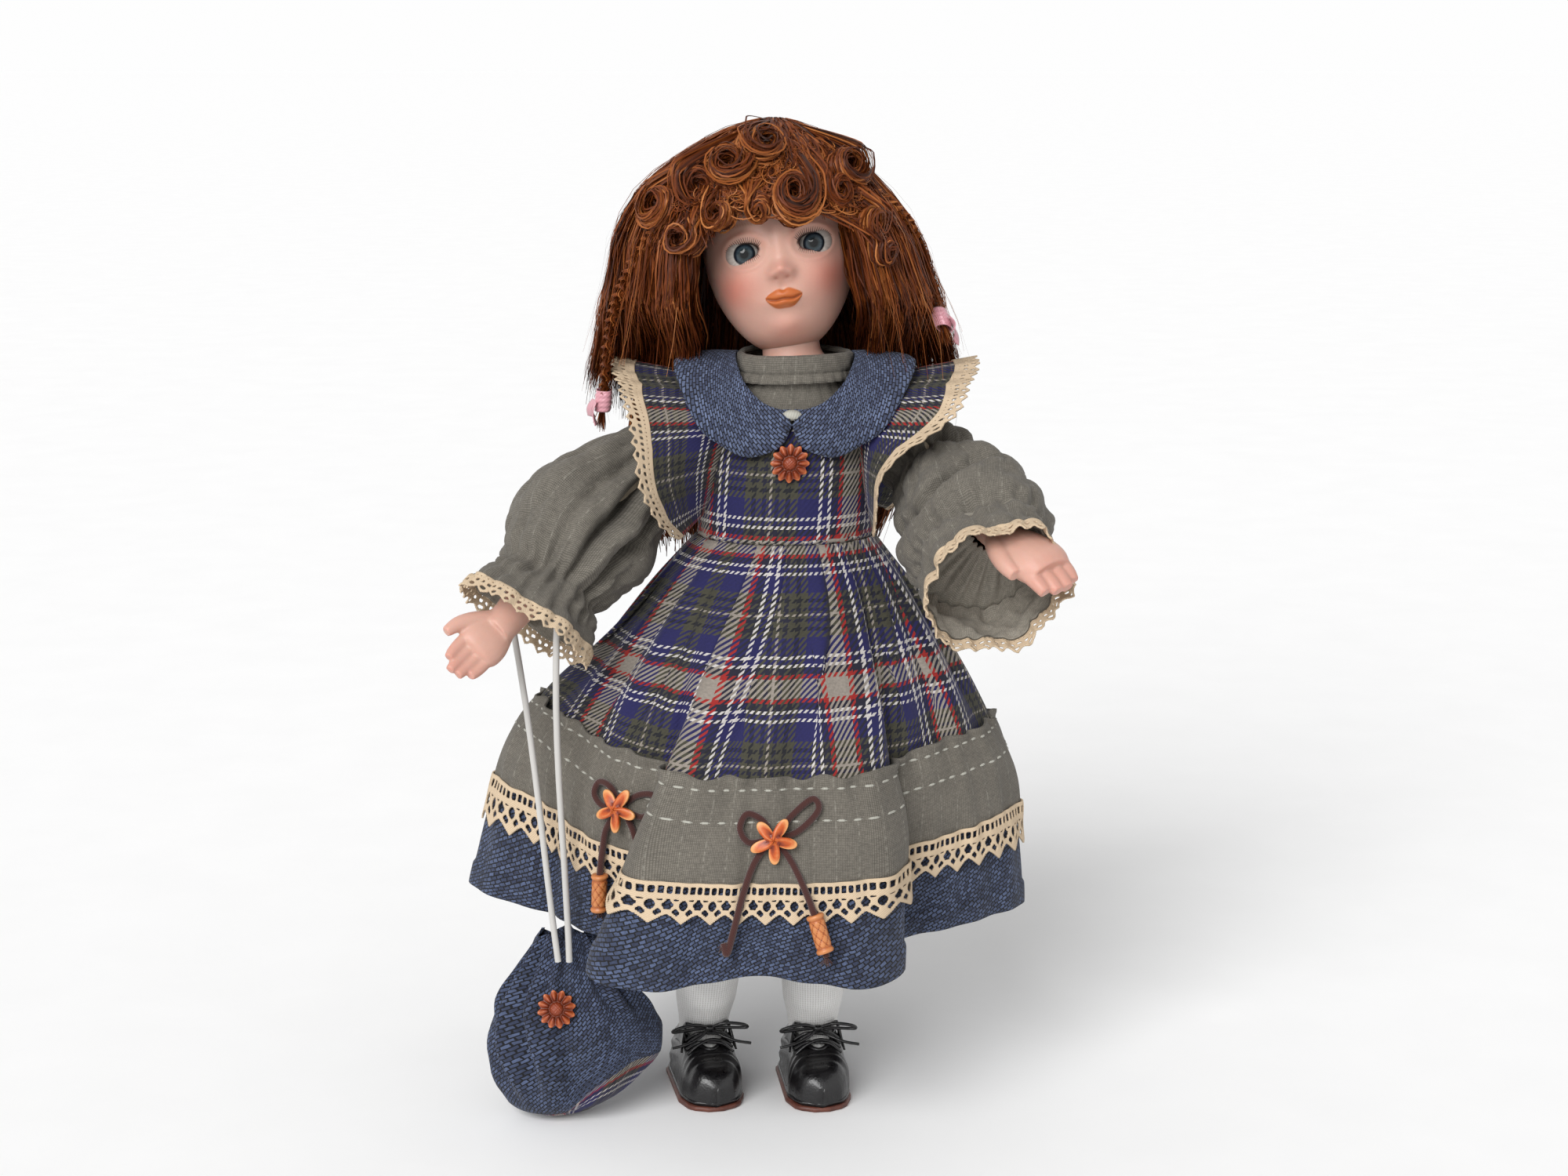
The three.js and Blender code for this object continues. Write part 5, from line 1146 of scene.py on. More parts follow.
# Palm and thumb as share along the hand, aside, lift and radius; fingers as aside and length, then radii
HANDS = {
    "right": {
        "palm": [
            (-0.1, 0, 0, 5.4), (0.15, 0.3, 0, 7.8), (0.38, 0, 0, 9.6), (0.56, 0, 0, 8.8), (0.62, 0, 0, 5.2),
        ],
        "thin": 0.56,
        "thumb": [(0.12, 4, 0, 3.6), (0.32, 9, 0, 3.5), (0.5, 12.2, 0, 3.0), (0.68, 13.4, 0, 2.1)],
        "fingers": [(6.3, 0.9), (2.2, 1.0), (-2.0, 0.97), (-5.9, 0.86)],
        "sizes": [2.6, 2.55, 2.35, 1.8],
        "curl": -0.5,
    },
    "left": {
        "palm": [
            (-0.1, 0, 0, 6.4), (0.15, 0, 0, 8.8), (0.4, 0, 0, 11.4), (0.64, 0, 0, 11.6), (0.8, 0, -1, 9.4),
        ],
        "thin": 0.66,
        "thumb": [(0.1, 5, 0, 4.2), (0.3, 9.5, 1, 4.2), (0.5, 12.4, 1, 3.6), (0.66, 12.8, 0, 2.7)],
        "fingers": [(7.6, 0.95), (2.6, 1.0), (-2.5, 1.0), (-7.4, 0.94)],
        "sizes": [3.3, 3.3, 3.15, 2.6],
        "curl": 1.5,
    },
}


def forearm(name):
    side, hand = SIDES[name], HANDS[name]
    _, elbow, wrist, tip = arm(name)
    if side > 0:
        tip = tip + vec(8, 6, -2)
    along = unit(tip - wrist)
    hint = vec(0, -1, 0) if side < 0 else vec(0.1, -0.5, 1)
    flat = unit(hint - hint @ along * along)
    out = np.cross(flat, along)
    thumb_away = out[2] < 0 if side < 0 else out[0] > 0
    if thumb_away:
        out = -out
    long = np.linalg.norm(tip - wrist)
    shape = Shape()

    def limb(points, radii, thin=1.0, count=26):
        line = spline(np.hstack([np.array(points), np.array(radii)[:, None]]), count)
        shape.thread(line[:, :3], line[:, 3], 20, tuple(flat), thin)

    def reach(share, wide, lift=0.0):
        return wrist + along * long * share + out * wide + flat * lift

    def part(rows, thin, count):
        limb([reach(*row[:3]) for row in rows], [row[3] for row in rows], thin, count)

    ease = unit(wrist - elbow)
    bone = [elbow - ease * 8.2, elbow - ease * 5.5, elbow, mix(elbow, wrist, 0.5), wrist, reach(0.2, 0)]
    limb(bone, [2.5, 6.8, 8.6, 8.4, 6.8, 6.6])
    part(hand["palm"], hand["thin"], 26)
    part(hand["thumb"], 1.0, 18)
    curl = hand["curl"]
    for wide, far in hand["fingers"]:
        knuckle = reach(mix(0.62, far, 0.6), wide * 0.97, -1.2 * curl)
        root = [reach(0.45, wide * 0.9), reach(0.62, wide, -0.4 * curl)]
        limb(root + [knuckle, reach(far, wide * 0.9, -2.6 * curl)], hand["sizes"], 0.95, 18)
    obj = piece("forearm_bisque_" + name, shape, BISQUE, "forearm_" + name, voxel=0.55, relax=5)
    mesh = obj.data
    co = np.empty(len(mesh.vertices) * 3)
    mesh.vertices.foreach_get("co", co)
    ahead = unit(figure(tip) - figure(wrist))
    far = smooth(0.5, 1.0, ((co.reshape(-1, 3) - figure(wrist)) @ ahead) / (long * MM))
    colour = np.ones((len(mesh.vertices), 4))
    colour[:, :3] = mix(SKIN, mix(SKIN, BLUSH, 0.25), far[:, None])
    paint(mesh, colour)


for side_name in SIDES:
    upper_arm(side_name)
    forearm(side_name)
    sleeve(side_name)
    ruffle(side_name)


# Head

MOUTH_Z, MOUTH_HALF = 29.9, 7.4
SKULL_Z = 54  # the middle of the skull, from which the next sizes are taken
SKULL_TOP, CHIN = 34, 45
SKULL_HALF, SKULL_FRONT, SKULL_BACK = 30.5, 33, 35
CROWN_CUT = 20  # where the open crown begins, above the middle of the skull
JAW = 0.17  # how much narrower the jaw is
EYE_X, EYE_Z = 13.3, 50.0
EYE_WIDE, EYE_UP, EYE_LOW = 5.5, 3.6, 2.9
EYE_TILT = -0.03  # how much the outer corner of an eye rises


def bump(x, z, cx, cz, sx, sz):
    return np.exp(-(((x - cx) / sx) ** 2) - ((z - cz) / sz) ** 2)


def lips(x, z):
    """How far up the upper or down the lower lip a place is: 0 at the mouth's line, 1 at the lip's edge."""
    e = np.clip(1 - (x / MOUTH_HALF) ** 2, 0, 1)
    upper = (4.7 * e**0.9 - 1.3 * hump(x, 0, 1.5)) * (e > 0)
    lower = 3.7 * e**0.8
    line = MOUTH_Z + 0.35 * hump(x, 0, 2.2) - 0.25 * hump(np.abs(x), 4, 2)
    line = line + 1.2 * np.minimum(np.abs(x) / MOUTH_HALF, 1) ** 2
    up = np.where(z > line, (z - line) / np.maximum(upper, 0.01), 9)
    down = np.where(z <= line, (line - z) / np.maximum(lower, 0.01), 9)
    return up, down, z - line, e


def features(x, z):
    """How far the face stands out, forward: nose, wings, mouth, chin, cheeks, sockets, lips and lids."""
    side = np.abs(x)
    out = 4.6 * bump(x, z, 0, 41.5, 3.6, 3.2) + 1.5 * bump(x, z, 0, 48, 3.6, 8)
    out += 1.8 * bump(side, z, 3.8, 40, 2.2, 2.2) + 2.4 * bump(x, z, 0, 29.7, 6.5, 3.2)
    out += 2.6 * bump(x, z, 0, 19, 7, 5) + 2.4 * bump(side, z, 17, 36, 9, 9)
    out -= 1.7 * bump(side, z, EYE_X, EYE_Z, 7.5, 5.2)
    up, down, gap, e = lips(x, z)
    out += (0.9 * np.sin(np.pi * np.clip(up, 0, 1)) + 1.2 * np.sin(np.pi * np.clip(down, 0, 1))) * e**0.5
    out -= 0.8 * hump(gap, 0, 0.55) * e**0.5
    out -= 0.5 * bump(x, z, 0, 35.2, 1.2, 1.6) + 0.5 * bump(side, z, 2.3, 38.3, 1.1, 0.8)
    lid = np.hypot((side - EYE_X) / 8.6, (z - EYE_Z - 0.3) / 6.9)
    out += 0.6 * hump(lid, 1.0, 0.18) * smooth(48, 51, z) + 0.45 * hump(lid, 0.98, 0.14) * smooth(51, 48, z)
    return out


def skull_point(round_, up, extra, face=True):
    """A place on the head: angle round it from the front, angle up and extra millimetres off it."""
    flat, rise = np.cos(up), np.sin(up)
    z = SKULL_Z + rise * (np.where(rise > 0, SKULL_TOP, CHIN) + extra)
    jaw = np.where(rise < 0, (1 - JAW * rise**2) * flat**-0.2, 1)
    x = np.sin(round_) * flat * (SKULL_HALF + extra) * jaw
    ahead = np.cos(round_)
    y = -ahead * flat * (np.where(ahead > 0, SKULL_FRONT, SKULL_BACK) + extra)
    if face:
        y = y - smooth(0, 0.5, ahead * flat) * features(x, z)
    return np.stack([x, y, z], -1)


def face_y(x, z, taper=0.8, relief=features):
    """How far forward the face's skin is, around the eyes and below them."""
    rise = np.clip((np.asarray(z, float) - SKULL_Z) / CHIN, -1, 1)
    flat = np.sqrt(1 - rise**2)
    share = np.sqrt(1 - (x / (SKULL_HALF * (1 - JAW * rise**2) * flat**taper)) ** 2)
    return -share * flat * SKULL_FRONT - relief(x, z)


def socket(x, z):
    """How far the face stands out around an eye, without its lids."""
    return 1.8 * bump(x, z, 3.8, 39, 2.2, 2.2) + 2.4 * bump(x, z, 17, 36, 9, 9) - 1.7


def eye_middle(side):
    return vec(side * EYE_X, face_y(EYE_X, EYE_Z, 1.0, socket) + 7, EYE_Z)


def eye_open(x, z):
    """Below 1 inside an eye's opening."""
    side = np.abs(x)
    tall = np.where(z > EYE_Z, EYE_UP, EYE_LOW)
    return np.hypot((side - EYE_X) / EYE_WIDE, (z - EYE_Z - EYE_TILT * (side - EYE_X)) / tall)


def eye_edge(a, tall):
    """Across and up on the edge of an eye's opening, at angle a from its outer corner."""
    return EYE_X + EYE_WIDE * np.cos(a), EYE_Z + tall * np.sin(a) + EYE_TILT * EYE_WIDE * np.cos(a)


def face_paint(p):
    """The painted face: cheeks, chin and nose, lids, brows, lips, nostrils and the dark rims of the eyes."""
    x, z = p[..., 0], p[..., 2]
    side = np.abs(x)
    ahead = smooth(8, 20, -p[..., 1])
    up, down, gap, e = lips(x, z)
    lid = np.hypot((side - EYE_X) / 8.2, (z - EYE_Z - 1.6) / 6.4)
    brow = hump(z, 61.2 - 0.03 * (side - 12) ** 2, 0.9) * smooth(5, 8, side) * smooth(21, 17, side)
    lip = np.maximum(smooth(1.08, 0.94, up), smooth(1.08, 0.94, down))
    rim = eye_open(x, z)
    layers = [
        (0.62 * bump(side, z, 19, 36.5, 9, 8), BLUSH),
        (0.3 * bump(x, z, 0, 18, 7, 5) + 0.25 * bump(x, z, 0, 41, 4, 4), BLUSH),
        (0.35 * hump(lid, 1.0, 0.25) * smooth(49, 53, z), rgb(196, 132, 112)),
        (0.5 * brow * (0.7 + 0.3 * np.sin(6 * x + 2 * z)), rgb(140, 88, 62)),
        (lip * smooth(0, 0.08, e), rgb(186, 102, 50)),
        (0.6 * hump(gap, 0, 0.45) * smooth(0.02, 0.2, e), rgb(112, 44, 30)),
        (0.35 * bump(x, z, 0, 27.2, 2.6, 0.9), rgb(204, 134, 104)),
        (0.55 * bump(side, z, 2.2, 38.4, 0.9, 0.6), rgb(150, 76, 62)),
        (0.9 * smooth(1.2, 1.05, rim) * smooth(49.5, 51, z) + 0.4 * smooth(1.16, 1.02, rim), rgb(52, 30, 22)),
    ]
    colour = np.broadcast_to(SKIN, p.shape)
    for amount, tone in layers:
        colour = mix(colour, tone, np.clip(amount * ahead, 0, 1)[..., None])
    return colour


def face(shape):
    """The skin of the head up to the crown's edge, with the eyes cut out cleanly."""
    theta = np.linspace(-math.pi, math.pi, 280, endpoint=False)
    up = np.linspace(-math.pi / 2 + 0.02, math.asin(CROWN_CUT / SKULL_TOP), 260)
    R, U = np.meshgrid(theta - 0.58 * np.sin(theta), up)
    p = skull_point(R, U, 0)
    value = np.where(-p[..., 1] > 5, eye_open(p[..., 0], p[..., 2]), 9)
    beside = np.roll(value, -1, 1)
    corners = np.stack([value[:-1], value[1:], beside[:-1], beside[1:]])
    keep = (corners >= 1).sum(0) >= 2
    middle = np.stack([np.sign(p[..., 0]) * EYE_X, p[..., 1], np.full_like(value, EYE_Z)], -1)
    rim = middle + (p - middle) / np.maximum(value, 0.3)[..., None]
    p = np.where(value[..., None] < 1, rim, p)
    shape.grid(in_head(p), True, tint=face_paint(p), keep=keep)


def eyelids(shape, side):
    """The edge of an eye's opening, turned in towards the glass."""
    a = np.linspace(0, TAU, 60, endpoint=False)
    x, z = eye_edge(a, np.where(np.sin(a) > 0, EYE_UP, EYE_LOW))
    x = side * x
    y = face_y(x, z)
    mid = side * EYE_X
    turns = ((-0.12, 1.07), (0.15, 0.97), (1.4, 0.95), (4.0, 1.0))
    rings = []
    for deep, pull in turns:
        rings.append(np.stack([mid + (x - mid) * pull, y + deep, EYE_Z + (z - EYE_Z) * pull], -1))
    above = smooth(-0.1, 0.3, np.sin(a))[None, :, None]
    # The lower wall darkens as it turns in towards the glass, painted shade in the recess; the upper wall
    # takes the dark paint of the lid line.
    lower = np.array([rgb(150, 92, 76), rgb(120, 72, 60), rgb(92, 58, 50), rgb(50, 34, 30)])[:, None]
    tone = mix(lower, rgb(40, 24, 20), above)
    shape.grid(in_head(np.array(rings))[:, ::-side], True, tint=tone[:, ::-side])


def lashes(shape, side):
    """Lashes, long above the eye and short below it."""
    hairs = [(a, 2.5, 1, 0.2) for a in np.linspace(0.3, 2.8, 21)]
    hairs += [(a, 1.6, -1, 0.11) for a in np.linspace(3.6, 5.9, 17)]
    for a, long, lift, thick in hairs:
        x, z = eye_edge(a, EYE_UP if lift > 0 else EYE_LOW)
        away = unit(vec(math.cos(a) * 0.75 + 0.25, 0, 0.75 * math.sin(a) + 0.2 * lift))
        line = vec(x, 0, z) + away * np.linspace(0.1, long, 5)[:, None]
        line[:, 0] *= side
        line[:, 1] = face_y(line[:, 0], line[:, 2]) - 0.1
        shape.thread(line, np.linspace(thick, 0.04, 5), 5, look=1, place=in_head)


def neck(shape):
    """The neck and its round end in the torso's socket."""
    ball = 14.6
    a, h = np.meshgrid(circle(48), np.linspace(0, 1, 30))
    z = mix(-13.0, 26.0, h)
    r = np.where(z < 8, np.sqrt(np.maximum(ball**2 - z**2, 1)), 12.2) * smooth(-ball, -11, z) ** 0.5
    r = np.where(z > 4, mix(r, 11.4 + 0.012 * (z - 12) ** 2, smooth(4, 11, z)), r)
    shape.grid(in_head(np.stack([r * np.cos(a), r * np.sin(a), z], -1)), True, tint=SKIN)


def head():
    shape = Shape()
    face(shape)
    for side in (-1, 1):
        eyelids(shape, side)
        lashes(shape, side)
    neck(shape)
    piece("head_bisque", shape, [BISQUE, INK], "head")


def eye(name):
    side = SIDES[name]
    a, q = np.meshgrid(circle(48), np.linspace(0, math.pi, 60) ** 1.25 / math.pi**0.25)
    swell = 8 + 0.5 * hump(q, 0, 0.42)
    local = np.stack([swell * np.sin(q) * np.cos(a), -swell * np.cos(q), swell * np.sin(q) * np.sin(a)], -1)
    gaze = turn(1 + 1.5 * side, "Z") @ turn(3, "X")
    points = in_head(local @ gaze.T + eye_middle(side))
    shape = Shape().grid(points, True, around(48, 50, np.linspace(0, 50, 60)), tint=q / math.pi * 2)
    piece("eye_glass_" + name, shape, EYE, "eye_" + name)


def cap(edge, rows, extra):
    """The top of the head above an edge, given as the sine of its angle up."""
    r, u = np.meshgrid(circle(48), np.linspace(math.asin(edge), math.pi / 2 - 0.01, rows))
    return in_head(skull_point(r, u, extra, False))


head()
eye("left")
eye("right")
piece("pate_card", Shape().grid(cap(20.4 / SKULL_TOP, 20, 0), True), MUSLIN, "pate", 1.0)
piece("wig_net", Shape().grid(cap(14.5 / 35, 24, 1.8), True, tint=0.15), HAIR, "wig_cap", 0.6)


# Hair

DOME_Z, DOME_TALL, DOME_HALF, DOME_ROUND = 340, 57.6, 61.5, 1.65


def hair_point(angle, z, extra=0.0):
    """A place on the outside of the hair: angle 0 is the doll's left, a quarter turn is the front."""
    z = np.asarray(z, float)
    up = np.clip((z - DOME_Z) / DOME_TALL, 0, 0.9995)
    dome = (1 - up**DOME_ROUND) ** (1 / DOME_ROUND)
    below = np.interp(z, [290, 301, 322, DOME_Z], [76, 74, 68, DOME_HALF])
    half = np.where(z > DOME_Z, DOME_HALF * dome, below)
    x = np.interp(z, [290, 311, 347, 373, 397], [-7, -8, -13.5, -16.5, -14])
    lie = dome**1.3
    wide = half + extra * lie
    nape = 0.17 * smooth(345, 300, z) * smooth(0.2, -0.6, np.sin(angle))
    deep = 0.77 * half * (1 - nape) + extra * lie
    rise = z + 0.4 * extra * (1 - lie) + 0 * angle
    return np.stack([x + wide * np.cos(angle), 8 - deep * np.sin(angle), rise], -1)


def outward(points):
    """Away from the middle of the head."""
    return unit(points - figure(vec(-12, 8, 340)))


def tints(count, spread=0.19):
    return np.clip(rng.normal(0.52, spread, count), 0.06, 0.98)


def wavy(paths, size):
    """Gives each hair its own slight wave, growing towards its end."""
    n, k = paths.shape[:2]
    ph = rng.random((n, 3, 3)) * TAU
    rate = 1.0 + 2.2 * rng.random((n, 3, 3))
    s = np.linspace(0, 1, k)
    wave = np.sin(ph[:, None] + rate[:, None] * TAU * s[None, :, None, None] * 0.8).sum(2)
    return paths + size * wave * (0.15 + s[None, :, None])


def fall_angles(count):
    """Angles of the long hair: everywhere but over the face."""
    a = rng.random(count) * TAU
    over = (a > math.radians(54)) & (a < math.radians(120))
    return a[~over]


def wig_shell(shape):
    """The dark layer under the hair, open at the face: painted shade under the strands."""
    a, h = np.meshgrid(circle(96), np.linspace(0, 1, 46))
    shell = hair_point(a, 397.59 - 93 * h**1.7, -3.2)
    z = (shell[:-1, :, 2] + shell[1:, :, 2]) / 2
    degrees = np.degrees((a[:-1] + TAU / 192) % TAU)
    open_face = (degrees > 44) & (degrees < 124) & (z < 368)
    front = (degrees > 350) | (degrees < 184)
    keep = ~(open_face | (front & (z < 336)))
    shape.grid(figure(shell)[::-1], True, tint=0.1, keep=keep[::-1])


def wig_fall(shape, k):
    """The long hair, with fuller strands that frame the face."""
    top = 397.55
    angle = fall_angles(10000)
    gap = np.abs(np.degrees(angle) - 85.5) - 31.5
    inner = (rng.random(len(angle)) < 0.2) & (gap > 9)
    framing = np.radians(np.concatenate([rng.uniform(125, 140, 650), rng.uniform(36, 48, 550)]))
    angle = np.concatenate([angle, framing])
    inner = np.concatenate([inner, np.full(len(framing), True)])
    n = len(angle)
    away = np.abs(np.degrees((angle - math.radians(81) + math.pi) % TAU - math.pi))
    near = smooth(100, 60, away)
    nape = smooth(0.2, -0.6, np.sin(angle))
    low = rng.normal(300, 5, n) + 5 * near + nape * rng.normal(-9, 6, n)
    clump = 1.5 * np.sin(13 * angle + 2 * np.sin(5 * angle)) + 0.9 * np.sin(29 * angle)
    extra = np.where(inner, rng.uniform(-16, -3, n), rng.uniform(-2.8, 0.8, n))
    begin = 0.5 * rng.random(n) ** 2 + np.where(inner, 0.35, 0)
    s = begin[:, None] + (1 - begin[:, None]) * np.linspace(0, 1, k)[None]
    z = top + (low[:, None] - top) * s**1.7
    sway = (rng.normal(0, 0.05, n) + 0.04 * np.sin(11 * angle))[:, None] * s
    sway = sway * smooth(33, 46, np.abs(np.degrees(angle) - 87))[:, None]
    path = hair_point(angle[:, None] + sway, z, extra[:, None] + clump[:, None] * smooth(0.2, 0.7, s))
    tuck = smooth(332, 303, z) * near[:, None]
    path[..., 1] += 36 * tuck
    path[..., 0] += (-8 - path[..., 0]) * 0.14 * tuck
    path = figure(wavy(path, 0.55))
    # Hairs lying deeper than the rest are painted darker, as shade under the top layer; the strands framing
    # the face get a little of it back.
    tone = tints(n) + 0.08 * np.sin(17 * angle) - 0.16 * (extra < -1.4)
    tone = tone + 0.08 * (np.arange(n) >= n - len(framing))
    shape.strands(path, outward(path), 0.36, tone)


def wig_stray(shape, k):
    """Thin hairs that stand off the rest."""
    top = 397
    angle = fall_angles(260)
    n = len(angle)
    low = rng.normal(312, 10, n)
    s = np.linspace(0, 1, k)[None]
    z = top + (low[:, None] - top) * s**1.7
    extra = 1.0 + 2.6 * rng.random(n)[:, None] * s
    path = figure(wavy(hair_point(angle[:, None] + 0 * s, z, extra), 0.9))
    shape.strands(path, outward(path), 0.16, tints(n) + 0.15)


def wig():
    shape = Shape()
    wig_shell(shape)
    wig_fall(shape, 13)
    wig_stray(shape, 13)
    piece("wig_strands", shape, HAIR, "wig")


# Rolled curls of the fringe: place, size and which way each turns
CURLS = [
    (-42, 374, 8, 1), (-30, 379, 9.5, -1), (-55, 365, 8, 1), (-31, 363, 5.5, 1),
    (-46, 354, 6, -1), (-5, 369, 10, -1), (-17, 366, 5.5, 1), (12, 371, 7.5, 1),
    (24, 360, 6.5, -1), (30, 349, 5.5, 1), (14, 379, 8.5, -1), (-17, 386, 8.5, 1),
]


def fringe_fall(shape):
    """The short hair combed over the forehead."""
    n, k, top = 3600, 13, 397.2
    angle = np.radians(rng.uniform(28, 144, n))
    low = 369 + 2 * np.cos(5 * angle) + rng.normal(0, 2.4, n)
    low = low - 18 * smooth(0.3, 0.85, np.abs(angle - math.radians(82)))
    s = 0.55 * rng.random(n)[:, None] ** 1.6
    s = s + (1 - s) * np.linspace(0, 1, k)[None]
    z = top + (low[:, None] - top) * s**1.5
    angle = angle[:, None]
    lift = rng.uniform(-1.6, 1.4, n)[:, None] + 1.6 * np.sin(7 * angle) * s
    lift = lift + 2.0 * s - 3 * smooth(0.85, 1.0, s)
    bend = (0.07 * np.sin(9 * angle + 6 * s) + 0.03 * np.sin(21 * angle + 11 * s)) * s
    path = figure(wavy(hair_point(angle + bend, z, lift), 0.9))
    shape.strands(path, outward(path), 0.36, tints(n) - 0.06)


def curl(shape, x, z, big, spin):
    """One rolled curl, fed by hairs from above."""
    middle, side = hair_point(np.array([math.pi / 2, 0.0]), np.array([z, z]), 1.0)
    angle = math.acos(np.clip((x - middle[0]) / (side[0] - middle[0]), -0.98, 0.98))
    at = hair_point(np.array(angle), np.array(float(z)), 2.0)
    up = np.clip((z - 352) / 45, 0, 1)
    facing = unit(vec(math.cos(angle) * 0.75, -math.sin(angle), 0.1 + 0.75 * up**2) + rng.normal(0, 0.22, 3))
    right = unit(np.cross(facing, vec(0, 0, 1)))
    right = right * np.sign(right[0])
    top = np.cross(right, facing)
    top = top * np.sign(top[2])
    squeeze = rng.uniform(0.72, 1.0)
    n = int(38 * big)
    q = np.linspace(0, 1, 30)[None]
    turns = rng.uniform(0.7, 2.1, n)[:, None]
    theta = (math.pi if spin > 0 else 0) + spin * (TAU * turns * q - 0.5) + rng.normal(0, 0.16, n)[:, None]
    thick = rng.normal(0, 1, (n, 1))
    r = big * (1.04 - 0.8 * q**0.75) * (1 + 0.22 * thick) + 0.5 * np.sin(3 * theta + 6 * thick)
    depth = 3.0 * rng.normal(0, 1, (n, 1)) * (1 - 0.5 * q) + 2.6 * np.sin(np.pi * q) - 1.0
    ring = r[..., None] * (squeeze * np.cos(theta)[..., None] * right + np.sin(theta)[..., None] * top)
    path = at + ring + depth[..., None] * facing
    spread = np.array(angle) + 0.16 * rng.normal(0, 1, n)
    feed = hair_point(spread, np.full(n, min(z + 2.8 * big, 397.0)), 0.5)
    lead = np.linspace(0, 1, 7)[None, :-1, None]
    rise = path[:, :1] + 0.35 * big * top * rng.uniform(0.6, 1.2, (n, 1, 1))
    joined = (1 - lead) ** 2 * feed[:, None] + 2 * lead * (1 - lead) * rise + lead**2 * path[:, :1]
    path = figure(np.concatenate([joined, path], 1))
    radial = np.concatenate([np.broadcast_to(facing, joined.shape), unit(ring)], 1)
    # Hairs on the outside of the roll are painted lighter and those inside it darker: painted light and
    # shade.
    tone = tints(n, 0.2) + 0.08 * thick[:, 0] - 0.02
    shape.strands(path, unit(0.6 * radial + facing), 0.34, tone)


def fringe_hooks(shape):
    """Loose hairs that end in small hooks over the curls."""
    n = 420
    angle = np.radians(rng.uniform(36, 134, n))[:, None]
    base = rng.uniform(368, 392, n)[:, None]
    q = np.linspace(0, 1, 14)[None]
    size = rng.uniform(2.0, 5.5, n)[:, None]
    bent = TAU * rng.uniform(0.5, 1.1, n)[:, None] * q
    way = rng.choice([-1, 1], n)[:, None]
    drop = size * (1 - np.cos(bent)) * 0.8
    path = figure(hair_point(angle + way * size * np.sin(bent) / 42, base - drop, 3.5 + 3 * q))
    shape.strands(path, outward(path), 0.24, tints(n) + 0.12)


def fringe():
    shape = Shape()
    fringe_fall(shape)
    for row in CURLS:
        curl(shape, *row)
    fringe_hooks(shape)
    piece("fringe_curls", shape, HAIR, "fringe")


# Height, half width and place behind the middle
BACK_HAIR = [[222, 44.8, 52.0], [253, 56.0, 50.96], [288.5, 56.0, 48.9], [311, 53.2, 46.0]]


def back_place(share, z, deep):
    half, back = rows_at(BACK_HAIR, z, 4.0)
    x = half * share
    return np.stack([x - 8, back - 9 * share**2 + deep, z + 0 * x], -1)


def back_hair():
    shape = Shape()
    share, z = np.meshgrid(np.linspace(-0.97, 0.97, 40), np.linspace(232, 312, 24))
    # A dark sheet under the strands: painted shade.
    shape.grid(figure(back_place(share, z, 0.0)), tint=0.1)
    n, k, top = 4200, 13, 313
    start = rng.uniform(-1, 1, n)
    s = np.linspace(0, 1, k)[None]
    low = rng.normal(225, 7, n) + 9 * start**2
    z = top + (low - top)[:, None] * s
    edge = np.sqrt(np.maximum(0, 1 - start**6)) * 4.6
    deep = rng.uniform(-1, 1, n) * edge
    share = start[:, None] + rng.normal(0, 0.05, n)[:, None] * s + 0.03 * np.sin(9 * start)[:, None] * s
    path = figure(wavy(back_place(share, z, deep[:, None] + 0 * s), 0.55))
    away = np.stack([0.4 * share, np.where(deep > 0, 1, -1)[:, None] + 0 * share, 0 * share + 0.1], -1)
    shape.strands(path, unit(away), 0.4, tints(n, 0.17) + 0.06 * np.sin(23 * start))
    bend = ("head", "body", figure(vec(0, 48, 308)), figure(vec(0, 50, 236)))
    piece("back_hair_strands", shape, HAIR, "back_hair", blend=bend)


# Angle round the hair and height
BRAIDS = {
    "left": [[30, 371.2], [14, 360], [4, 346.3], [6, 328.2], [14, 317.9]],
    "right": [[138, 355.7], [150, 340.2], [156, 323.9], [160, 305.8], [162, 286.1]],
}


